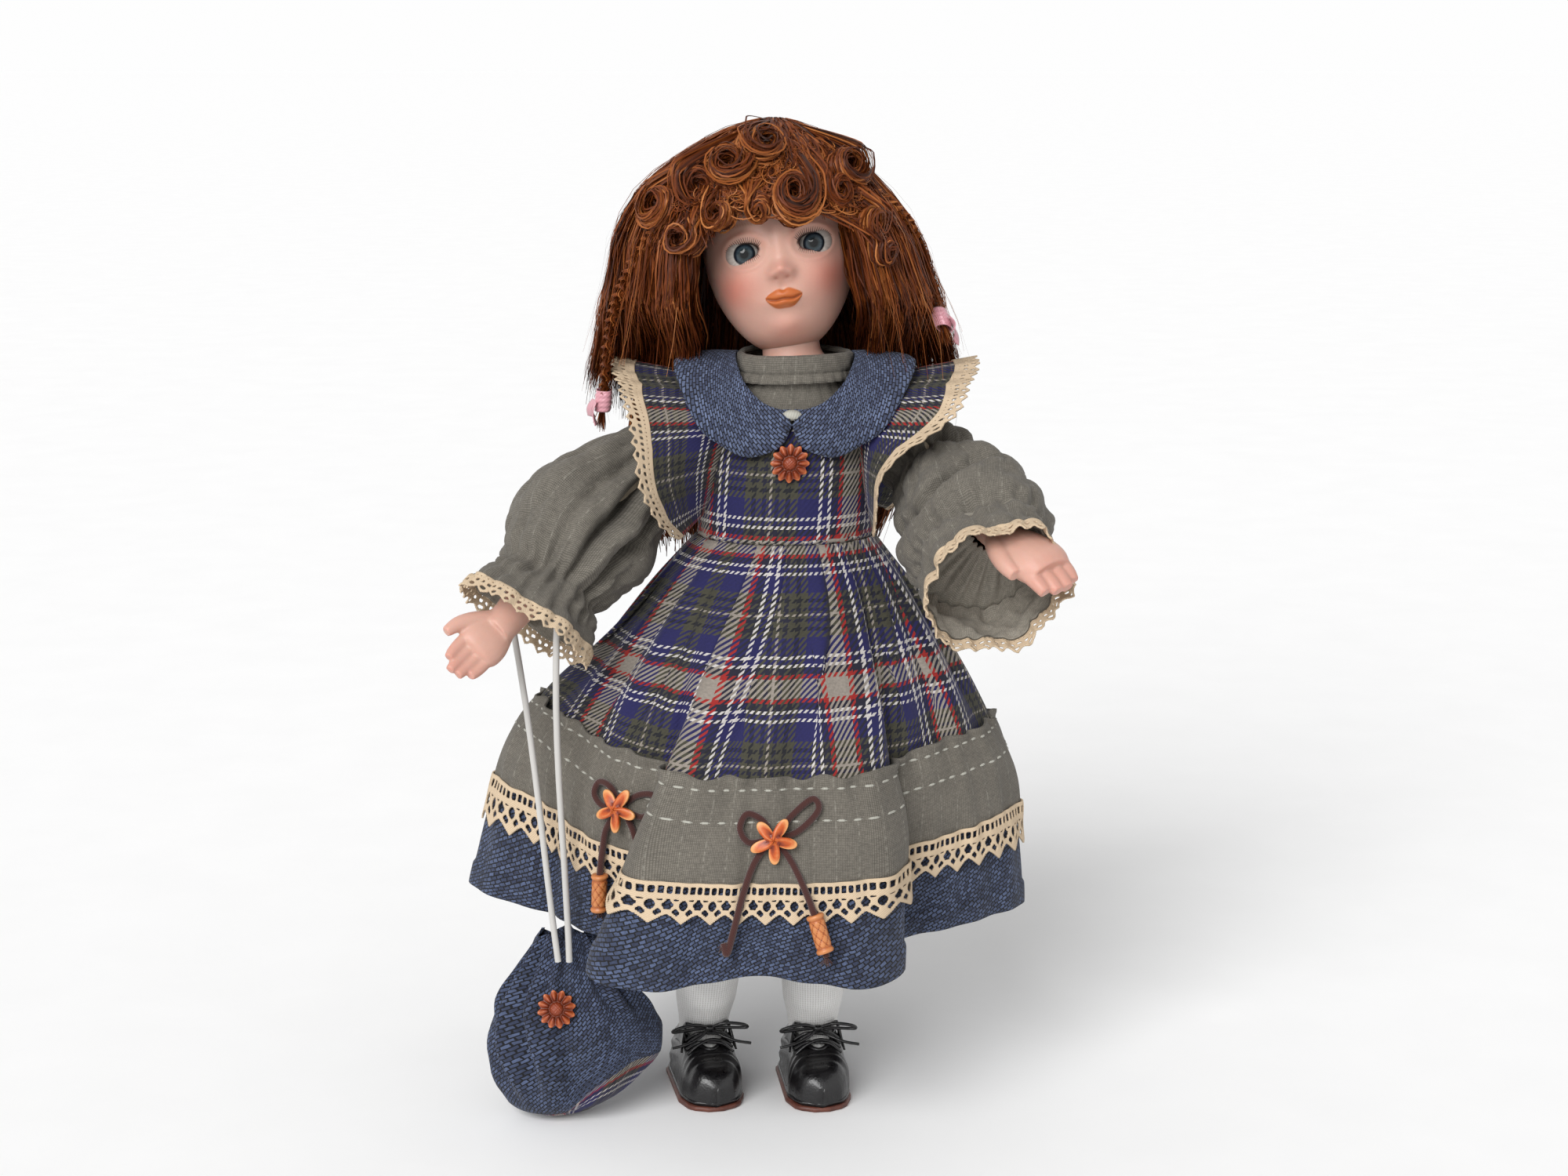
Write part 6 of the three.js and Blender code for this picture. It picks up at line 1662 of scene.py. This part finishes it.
def braid(name):
    shape = Shape()
    k, hairs = 90, 60
    turns = np.radians(np.interp(np.linspace(0, 4, k), range(5), [b[0] for b in BRAIDS[name]]))
    points = []
    for i, (angle, z) in enumerate(BRAIDS[name]):
        p = hair_point(np.array(math.radians(angle)), np.array(max(z, 311.0)), 0.8 if i < 3 else -0.5)
        p[2] = z
        points.append(p)
    path = spline(points, k)
    out = np.stack([np.cos(turns), -np.sin(turns), np.zeros(k)], -1)
    along = unit(np.gradient(path, axis=0))
    side = unit(np.cross(along, out))
    beat = np.linspace(0, lengths(path)[-1] / 11.0, k)
    for lock in range(3):
        phase = TAU * (beat + lock / 3)
        middle = path + side * (1.9 * np.sin(phase))[:, None] + out * (1.0 * np.sin(2 * phase))[:, None]
        spread = rng.normal(0, 0.55, (hairs, 2))
        paths = middle[None] + spread[:, 0, None, None] * side[None] + spread[:, 1, None, None] * out[None]
        # Hairs on the outer side of a lock are painted lighter and those towards the head darker: painted
        # light and shade.
        tone = tints(hairs, 0.16) + 0.08 + 0.1 * spread[:, 1]
        shape.strands(figure(paths), np.broadcast_to(out, paths.shape), 0.26, tone)
    tail = path[-1] + along[-1] * np.linspace(0, 9, 8)[:, None]
    tuft = tail[None] + rng.normal(0, 0.9, (hairs, 1, 3)) * (0.4 + np.linspace(0, 1, 8))[None, :, None]
    shape.strands(figure(tuft), np.broadcast_to(out[-1], tuft.shape), 0.26, tints(hairs))
    bend = None
    if name == "right":
        bend = ("head", "body", figure(vec(-60, 20, 320)), figure(vec(-60, 40, 262)))
    piece("braid_hair_" + name, shape, HAIR, "braid_" + name, blend=bend)
    ribbon = bow_ribbon(path[-1] - along[-1] * 2, along[-1], side[-1], out[-1])
    piece("ribbon_satin_" + name, ribbon, PINK, "ribbon_" + name, 0.35, 0.0, blend=bend)


def bow_ribbon(knot, along, side, out):
    """A ribbon wound round the end of a braid, with two loose ends."""
    ribbon = Shape()
    a, h = np.meshgrid(circle(48), np.linspace(-4.2, 4.2, 16))
    r = 3.0 + 0.35 * np.cos(h * 0.37) + 0.16 * np.sin(h * 3.1 + a) + 0.12 * np.sin(4 * a)
    ribbon.grid(figure(moved(knot, (h, along), (1.12 * r * np.cos(a), side), (r * np.sin(a), out))), True)
    q = np.linspace(0, 1, 18)
    for way, drop in ((-1, 9.0), (1, 7.5)):
        line = moved(knot, (3.5 + 1.1 * np.sin(3.4 * q), out), (way * (1.2 + 3.0 * q), side))
        line = moved(line, (drop * q, along))
        wide = np.linspace(-2.1, 2.1, 6) * (1 + 0.1 * way)
        twist = (0.5 * way * q)[:, None]
        across = np.cos(twist) * side + np.sin(twist) * out
        ribbon.grid(figure(line[:, None] + wide[None, :, None] * across[:, None]))
    return ribbon


wig()
fringe()
back_hair()
braid("left")
braid("right")


# Legs, stockings and shoes

LEG = [[12.2, 9], [22, 9], [48, 10.8], [78, 12.4], [104, 12.6]]  # height and radius
TOE_TURN = {"right": 11, "left": 7}
ANKLE_Z, HIP_Z = 22, 178
HIP_RADIUS = 13.5


def leg_x(side, z):
    return side * mix(23, 16, (z - ANKLE_Z) / (HIP_Z - ANKLE_Z))


def leg_ring(side, z, extra, cols=64):
    """Rings round the lower leg at heights z, extra millimetres off it."""
    a, Z = np.meshgrid(circle(cols), z)
    r = rows_at(LEG, Z, 4.0)[0] + extra
    return np.stack([leg_x(side, Z) + r * np.cos(a), r * np.sin(a), Z], -1)


def at_ankle(name, p):
    """From the frame of a foot, whose toes are turned out."""
    return np.asarray(p, float) @ turn(TOE_TURN[name], "Z").T + vec(leg_x(SIDES[name], ANKLE_Z), 0, 0)


def foot(name, extra):
    a, q = np.meshgrid(circle(48), np.linspace(0.02, math.pi - 0.02, 28))
    x = (8.6 + extra) * np.sin(q) * np.cos(a)
    z = (7 + extra) * np.sin(q) * np.sin(a) + 12.2
    return at_ankle(name, np.stack([x, -(21 + extra) * np.cos(q) - 11, z], -1))


def thigh(name):
    z = np.concatenate([HIP_Z + HIP_RADIUS * np.sin(np.linspace(1.5, 0.05, 10)), np.linspace(176, 104.6, 24)])
    ball = np.sqrt(np.maximum(HIP_RADIUS**2 - (z - HIP_Z) ** 2, 0.4))
    r = np.where(z > HIP_Z, ball, np.interp(z, [104.4, 148.4, HIP_Z], [12.6, 14.3, HIP_RADIUS]))
    a, Z = np.meshgrid(circle(40), z)
    R = np.broadcast_to(r[:, None], a.shape) + 0.2 * np.sin(3 * a + Z * 0.3)
    points = np.stack([leg_x(SIDES[name], np.minimum(Z, HIP_Z)) + R * np.cos(a), R * np.sin(a), Z], -1)
    shape = Shape().grid(figure(closed(points)), True)
    obj = piece("thigh_stuffed_" + name, shape, MUSLIN, "thigh_" + name)


def lower_leg(name):
    shin = closed(leg_ring(SIDES[name], np.linspace(104, 13, 40), 0.0))
    shape = Shape().grid(figure(shin), True, tint=SKIN).grid(figure(foot(name, -0.1)), True, tint=SKIN)
    piece("lower_leg_bisque_" + name, shape, BISQUE, "lower_leg_" + name)


def stocking(name):
    z = np.linspace(98, 13, 90)[:, None]
    crumple = 0.5 * np.sin(z * 0.75) * smooth(46, 26, z) * (1 + np.sin(circle(64) * 2 + z * 0.15))
    cuff = 0.7 * smooth(95, 96.5, z)
    knit = leg_ring(SIDES[name], z[:, 0], 1.1 + 1.5 * smooth(24, 38, z) + 0.5 * crumple + cuff)
    shape = Shape().grid(figure(knit), True).grid(figure(foot(name, 1.2)), True)
    piece("stocking_knit_" + name, shape, KNIT, "stocking_" + name)


# Place from toe to heel, half width and height
SHOE = [
    [-39.6, 5.7, 9], [-35.6, 9.8, 14], [-27.7, 12.6, 16], [-16.6, 12.6, 18.4],
    [-11.6, 12.6, 20], [6.9, 12.6, 22.8], [12.6, 8.8, 22],
]
SHOE_BOXY = 0.62  # below 1 the shoe's cut is squarer than an ellipse
SOLE_TOP = 2.4
SHOE_MIDDLE = -13.6
MOUTH_MIDDLE, MOUTH_LONG, MOUTH_WIDE = -4.6, 17.0, 8.4  # the shoe's open instep and ankle, from above


def rounded(y, toe, heel):
    """Draws a width in towards both ends."""
    return np.clip((y - toe) / 3, 0.05, 1) ** 0.5 * np.clip((heel - y) / 2.6, 0.05, 1) ** 0.5


def toe_to_heel(toe, long, margin, count):
    """Places along the shoe, closer together at both ends."""
    return toe + long * (0.5 - 0.5 * np.cos(np.linspace(margin, math.pi - margin, count)))


def shoe_size(y):
    half, tall = rows_at(SHOE, y, 2.2)
    ends = rounded(y, -40.2, 13.0)
    return half * ends, tall * mix(0.72, 1.0, ends)


def shoe_top(x, y):
    """Height of the shoe's upper side."""
    half, tall = shoe_size(y)
    c = np.clip(np.abs(x) / half, 0, 1) ** (1 / SHOE_BOXY)
    return SOLE_TOP + tall * np.sqrt(np.maximum(1 - c**2, 0)) ** SHOE_BOXY


def shoe_shell(name, shape):
    """The upper with its creases, toe cap and open instep."""
    a, Y = np.meshgrid(np.linspace(0, math.pi, 72), toe_to_heel(-39.8, 52.6, 0.05, 90))
    half, tall = shoe_size(Y)
    x = half * np.sign(np.cos(a)) * np.abs(np.cos(a)) ** SHOE_BOXY
    z = SOLE_TOP + tall * np.sin(a) ** SHOE_BOXY
    crease = 0.5 * np.sin(Y * 1.3 + 3 * np.cos(2 * a)) * hump(Y, -25, 6) * np.sin(a)
    crease += 0.45 * np.sin(z * 0.9 + Y * 0.4 + 2 * np.cos(3 * a)) * hump(Y, 2, 10) * np.abs(np.cos(a))
    toe_cap = 0.35 * smooth(-29.5, -28.3, Y) * smooth(-20, -27, Y)
    swell = crease + toe_cap
    p = np.stack([x * (1 + swell / 14), Y, z + swell * np.sin(a)], -1)
    p = np.concatenate([p[:1] * vec(0, 1, 0.8) - vec(0, 0.3, 0), p, p[-1:] * vec(0, 1, 0.9) + vec(0, 0.3, 0)])
    middle = (p[:-1, :-1] + p[1:, 1:]) / 2
    ahead = (middle[..., 1] - MOUTH_MIDDLE) / -MOUTH_LONG
    wide = MOUTH_WIDE * np.sqrt(np.maximum(1 - ahead**2, 0)) * (1 - 0.3 * ahead)
    keep = ~((np.abs(middle[..., 0]) < wide) & (middle[..., 2] > 10))
    shape.grid(figure(at_ankle(name, p))[:, ::-1], keep=keep[:, ::-1])


def shoe(name):
    shape = Shape()
    shoe_shell(name, shape)

    def in_foot(p):
        return figure(at_ankle(name, p))

    t = np.linspace(0, TAU, 120)
    x = MOUTH_WIDE * np.sin(t) * (1 - 0.3 * np.cos(t)) * 1.02
    y = MOUTH_MIDDLE - MOUTH_LONG * np.cos(t)
    shape.thread(np.stack([x, y, shoe_top(x, y) + 0.2], -1), 0.9, 8, UPRIGHT, place=in_foot)
    u, v = np.meshgrid(np.linspace(-1, 1, 18), np.linspace(0, 1, 10))
    for way in (-1, 1):
        x = way * (10.8 - 2.2 * v - 0.5 * np.cos(2 * u))
        flap = in_foot(np.stack([x, -9 + u * mix(8.0, 1.6, v**0.8), 18.5 + 9.0 * v - 1.2 * u**2], -1))
        shape.grid(flap if way < 0 else flap[:, ::-1])
    q = np.linspace(0, TAU, 140)
    y = SHOE_MIDDLE + 26.0 * np.cos(q)
    half, _ = shoe_size(y)
    x = np.sign(np.sin(q)) * (half * 0.995) * np.minimum(1, np.abs(np.sin(q)) * 2.2) ** 0.5
    shape.thread(np.stack([x, y, 0 * q + 3.4], -1), 0.6, 6, UPRIGHT, place=in_foot)
    piece("shoe_leather_" + name, shape, BLACK, "shoe_" + name, 0.9)


def sole(name):
    y = toe_to_heel(-40.4, 54.2, 0.06, 60)
    half = (np.interp(y, [r[0] for r in SHOE], [r[1] for r in SHOE]) + 1.0) * rounded(y, -41, 14.0)
    rim = np.concatenate([np.stack([half, y], -1), np.stack([-half, y], -1)[::-1]])
    layers = [(0.0, 0.02), (0.0, 0.96), (0.35, 1.0), (1.7, 1.0), (2.1, 0.97), (2.1, 0.02)]
    middle = vec(0, SHOE_MIDDLE)
    loops = [np.hstack([middle + (rim - middle) * pull, np.full((len(rim), 1), h)]) for h, pull in layers]
    shape = Shape().grid(figure(at_ankle(name, np.array(loops))), True)
    piece("sole_sewn_" + name, shape, SOLE, "sole_" + name)


# Runs of a shoelace's bow on one side: from the flap, the loop and the loose end
LACE_KNOT = (0, -15, 26.8)
LACE_LOOP = [(6, -17.4, 29.4), (13.4, -18, 28.6), (15.4, -16.6, 26.6), (8, -15.4, 26.6), (0, -14.6, 26.8)]
LACE_RUNS = [
    ([(8.4, -9, 27), (4, -13.4, 27.0), LACE_KNOT], 0.7),
    ([LACE_KNOT, *LACE_LOOP], 0.7),
    ([LACE_KNOT, (4, -20, 25.4), (10, -22.6, 23.4), (16.4, -22.8, 22.0)], 0.62),
]


def shoelace(name):
    shape = Shape()

    def in_foot(p):
        return figure(at_ankle(name, p))

    def run(points, radius):
        shape.thread(spline(points, 30), radius, 7, (0.2, 0.3, 0.9), place=in_foot)

    for y, z in ((-17.5, 20.4), (-13.0, 22.6)):
        for way in (-1, 1):
            near = [(way * 9.6, y, z - 1.5), (way * 5, y - 1, z + 1.6), (0, y - 1.6, z + 2.3 + 0.5 * way)]
            run(near + [(-way * 5, y - 2.2, z + 1), (-way * 9.6, y - 3, z - 2.6)], 0.7)
    for way in (-1, 1):
        for points, radius in LACE_RUNS:
            run([(way * x, y, z) for x, y, z in points], radius)
    knot = [(-1.8, -15, 26.7), (-0.6, -15.3, 26.9), (0.6, -15.3, 26.9), (1.8, -15, 26.7)]
    shape.thread(knot, 1.4, 10, place=in_foot)
    piece("shoelace_cord_" + name, shape, BLACK, "shoelace_" + name)


for side_name in SIDES:
    for make in (thigh, lower_leg, stocking, shoe, sole, shoelace):
        make(side_name)


# Trims: flower buttons, bows, stars and beads


def moulded(at, way, r, a, height, tone):
    """A trim with the given radius and height at every angle, closed behind, and its tint."""
    facing = unit(way)
    right = unit(np.cross(vec(0, 0, 1), facing))
    top = np.cross(facing, right)
    front = moved(at, (r * np.cos(a), right), (r * np.sin(a), top), (height, facing))
    rim = front[-1] - facing * height[-1][:, None]
    points = np.concatenate([front, rim[None], np.repeat(at[None, None], a.shape[1], 1)])
    return points, np.vstack([tone, tone[-1:], tone[-1:]])


def flower(at, way, spin=0.0):
    """A moulded flower with cupped petals and a raised, waffled middle."""
    radius, petals, thick = 7.7, 12, 2.6
    a, h = np.meshgrid(circle(petals * 12) + spin, np.linspace(0.001, 1, 30))
    lobe = 0.5 + 0.5 * np.cos(petals * (a - spin))
    r = radius * h * (1 - 0.17 * (1 - lobe) * smooth(0.5, 1, h))
    cup = 0.5 * thick * smooth(0.36, 0.5, h) * lobe**0.6 * (1 - 0.65 * smooth(0.6, 1.0, h))
    button = 0.75 * thick * np.sqrt(np.clip(1 - (h / 0.36) ** 2, 0, 1))
    waffle = 0.12 * np.sin(r * np.cos(a) * 5) * np.sin(r * np.sin(a) * 5) * (h < 0.33)
    height = 0.5 * thick + np.maximum(cup, button) + waffle
    tone = 0.25 + 0.5 * lobe * smooth(0.4, 0.75, h) + 0.35 * (h < 0.36) * button / thick
    tone = np.clip(tone + 0.4 * smooth(0.86, 1, h) * lobe, 0, 1)
    return moulded(at, way, r, a, height, tone)


def star(at, way):
    """Five pointed petals that twist like a pinwheel, with pale edges."""
    radius, thick, spin = 9.2, 2.4, 0.35
    a, h = np.meshgrid(circle(100), np.linspace(0.001, 1, 26))
    lobe = (0.5 + 0.5 * np.cos(5 * a)) ** 0.8
    r = radius * h * mix(1.0, 0.34 + 0.66 * lobe, smooth(0.15, 0.7, h))
    rib = np.abs(np.sin(2.5 * a))
    height = thick * (0.75 + 0.35 * (1 - rib) * (1 - h) - 0.35 * h**2 + 0.25 * hump(h, 0, 0.2))
    tone = 0.35 + 0.3 * lobe + 0.5 * smooth(0.8, 1, h) - 0.35 * rib * (h > 0.2) * (h < 0.8)
    return moulded(at, way, r, a + spin - 0.55 * h, height, np.clip(tone, 0, 1))


def trim(name, made, look, node, place=figure):
    points, tone = made
    piece(name, Shape().grid(place(points), True, tint=tone), look, node)


# Each bow as across, up and off the skirt from its knot
BOW_Z = 134
BOW_RADIUS = 97.85  # how far the skirt is from its middle there
BOWS = {
    "front": {
        "degrees": 3,
        "loops": [
            [(-1, 1, 0), (-5, 6, 0.6), (-11, 8, 0.8), (-13, 3, 0.8), (-9, -2, 0.5), (-1, -1, 0)],
            [(1, 1, 0), (7, 8, 0.6), (14, 13, 0.8), (16, 9, 0.8), (9, 2, 0.5), (1, -1, 0)],
        ],
        "tails": [
            [(-6, -9, 0.2), (-9, -20, 0.4), (-11, -33, 1.8), (-12.5, -42, 2.2), (-14, -38, 2.4)],
            [(7, -9, 0.4), (12, -19, 1.8), (15.4, -28, 2.1), (18.8, -39.6, 2.1), (19.8, -43.5, 2.0)],
        ],
        "bead_at": 71,
    },
    "side": {
        "degrees": -40,
        "loops": [
            [(-1, 1, 0), (-6, 6, 0.6), (-12, 6, 0.8), (-13, 1, 0.8), (-8, -2, 0.5), (-1, -1, 0)],
            [(1, 1, 0), (6, 6, 0.6), (12, 7, 0.8), (13, 2, 0.8), (8, -2, 0.5), (1, -1, 0)],
        ],
        "tails": [
            [(5, -9, 0.2), (8, -20, 0.4), (10, -32, 1.6), (10.5, -40, 2.0)],
            [(-5, -10, 0.4), (-6.2, -19, 1.8), (-7.6, -28, 2.1), (-9, -39, 2.1), (-9.4, -42.5, 2.0)],
        ],
        "bead_at": 73,
    },
}
BOW_KNOT = [(-2.4, 0.4, 0.8), (-0.8, 0.2, 1.5), (0.8, -0.2, 1.5), (2.4, -0.4, 0.8)]
KNOT_RADII = [1.4, 1.9, 2.2, 2.4, 2.5, 2.5, 2.5, 2.5, 2.4, 2.2, 1.9, 1.4]


def bead(middle, along, out):
    """A carved bead threaded on a cord that runs along."""
    first = unit(np.cross(along, out))
    second = np.cross(first, along)
    a, h = np.meshgrid(circle(40), np.linspace(-7.5, 7.5, 50))
    groove = hump(np.abs(h), 5.4, 0.5)
    lines = [np.abs(np.sin(3 * a + way * h * 0.75)) < 0.22 for way in (1, -1)]
    carve = 0.22 * (lines[0].astype(int) + lines[1]) * (np.abs(h) < 4.9)
    r = 3.05 + 0.35 * hump(np.abs(h), 6.7, 0.6) - 0.25 * groove - carve
    tone = np.clip(0.75 - 2.0 * carve - 0.4 * groove, 0, 1)
    points = moved(middle, (h, along), (r * np.cos(a), first), (r * np.sin(a), second))
    return closed(points), np.vstack([tone[:1] * 0.4, tone, tone[-1:] * 0.4])


def bow(name, degrees, loops, tails, bead_at):
    """A cord bow on the skirt, with its star over the knot and its bead on the second tail."""
    base = math.radians(degrees)
    tails = [[(0, 0, 0), *row] for row in tails]

    def place(points):
        p = np.array(points, float)
        swell = 3.6 + p[:, 2] + puff(BOW_Z + p[:, 1]) * 0.8
        return skirt_point(base + p[:, 0] / BOW_RADIUS, BOW_Z + p[:, 1], swell)

    shape = Shape()
    for points in loops + tails:
        shape.thread(spline(place(points), 60), 1.35, 10, (0.2, -0.9, 0.3), 0.8)
    shape.thread(spline(place(BOW_KNOT), 12), KNOT_RADII, 12)
    for points in tails:
        end = place(points[-1:])[0]
        for _ in range(16):
            away = vec(rng.normal(0, 0.5), rng.normal(-0.1, 0.3), -1)
            shape.thread(end + unit(away) * np.linspace(0, rng.uniform(2, 4), 4)[:, None], 0.18, 4)
    piece(name + "_bow_suede", shape, SUEDE, name + "_bow")
    out = unit((skirt_point(base, BOW_Z, 1.0) - skirt_point(base, BOW_Z, 0.0)) * vec(1, 1, 0))
    trim(name + "_star_flower", star(place([(0, -0.5, 3.0)])[0], out + vec(0, 0, 0.15)), STAR, name + "_star")
    tail = spline(place(tails[1]), 101)
    along = unit(tail[bead_at + 2] - tail[bead_at - 2])
    trim(name + "_bead_carved", bead(tail[bead_at], along, out), BEAD, name + "_bead")


trim("bodice_flower_button", flower(vec(0, -28.6, 266), vec(0, -1, 0.05)), RUST, "bodice_flower")
for bow_name, row in BOWS.items():
    bow(bow_name, **row)


# Bag

# Height, half width and half depth
BAG_ROWS = [
    [2.4, 4, 3], [3.4, 13.2, 7.2], [8, 22, 13.6], [21, 31.2, 15.5], [35, 33.6, 16],
    [49, 28.4, 14.2], [61, 19, 10], [70, 14, 8], [76, 11.5, 7], [79, 8, 5],
]
BAG_MIDDLE = vec(BAG_X, -42.75, 0)
BAG_ROUND = 170.0
BAG_SOFT = 2.6


def bag_points(share, low, high, cols, extra=0.0):
    """Places round the bag between two edges, each a height at every angle."""
    t, h = np.meshgrid(circle(cols), share)
    Z = mix(low, high, h)
    half, deep = rows_at(BAG_ROWS, Z, BAG_SOFT)
    gather = smooth(40, 60, Z)
    fold = 1 + 0.03 * np.cos(6 * t) + gather * (0.1 * np.sin(11 * t + 0.05 * Z) + 0.07 * np.sin(17 * t + 1))
    fold = fold + 0.04 * np.sin(7 * t + Z * 0.14) * hump(Z, 26, 16)
    for at in (3.7, 4.15):
        roll = at + 0.3 * smooth(60, 12, Z)
        fold = fold + smooth(8, 30, Z) * 0.2 * (hump(t, roll, 0.15) - 0.9 * hump(t, roll + 0.26, 0.12))
    lean = 4 * smooth(64, 30, Z) - 4 * smooth(30, 4, Z)
    x = (half * fold * 1.04 + extra) * np.cos(t) + lean
    tip = 0.17 * x * smooth(60, 10, Z)
    ruck = gather * 1.6 * np.sin(5 * t) * smooth(66, 75, Z)
    return np.stack([x, (deep * fold + extra) * np.sin(t), np.maximum(Z + tip, 0.3) + ruck], -1) + BAG_MIDDLE


def bag():
    cols = 160
    split = 4.5 + 19 * smooth(0.25, 0.95, np.cos(circle(cols) + 0.35))
    points = bag_points(np.linspace(0, 1, 70), split, 78.0, cols)
    shape = Shape().grid(hung(points), True, around(cols, BAG_ROUND, np.linspace(66, 0, 70)))
    obj = piece("bag_denim", shape, DENIM, "bag")
    under = bag_points(np.linspace(0, 1, 24), 2.4, split + 0.3, cols, -0.15)
    under = np.concatenate([np.repeat(under[0].mean(0)[None, None], cols, 1), under])
    shape = Shape().grid(hung(under), True, around(cols, BAG_ROUND, np.linspace(24, 0, 25)))
    obj = piece("bag_base_plaid", shape, PLAID, "bag_base")
    z = mix(34, 61, 0.62)
    deep = float(rows_at(BAG_ROWS, np.array(z), BAG_SOFT)[1])
    made = flower(BAG_MIDDLE + vec(-3, -deep - 0.2, z), vec(0, -1, 0.45), 0.2)
    trim("bag_flower_button", made, RUST, "bag_flower", hung)


bag()
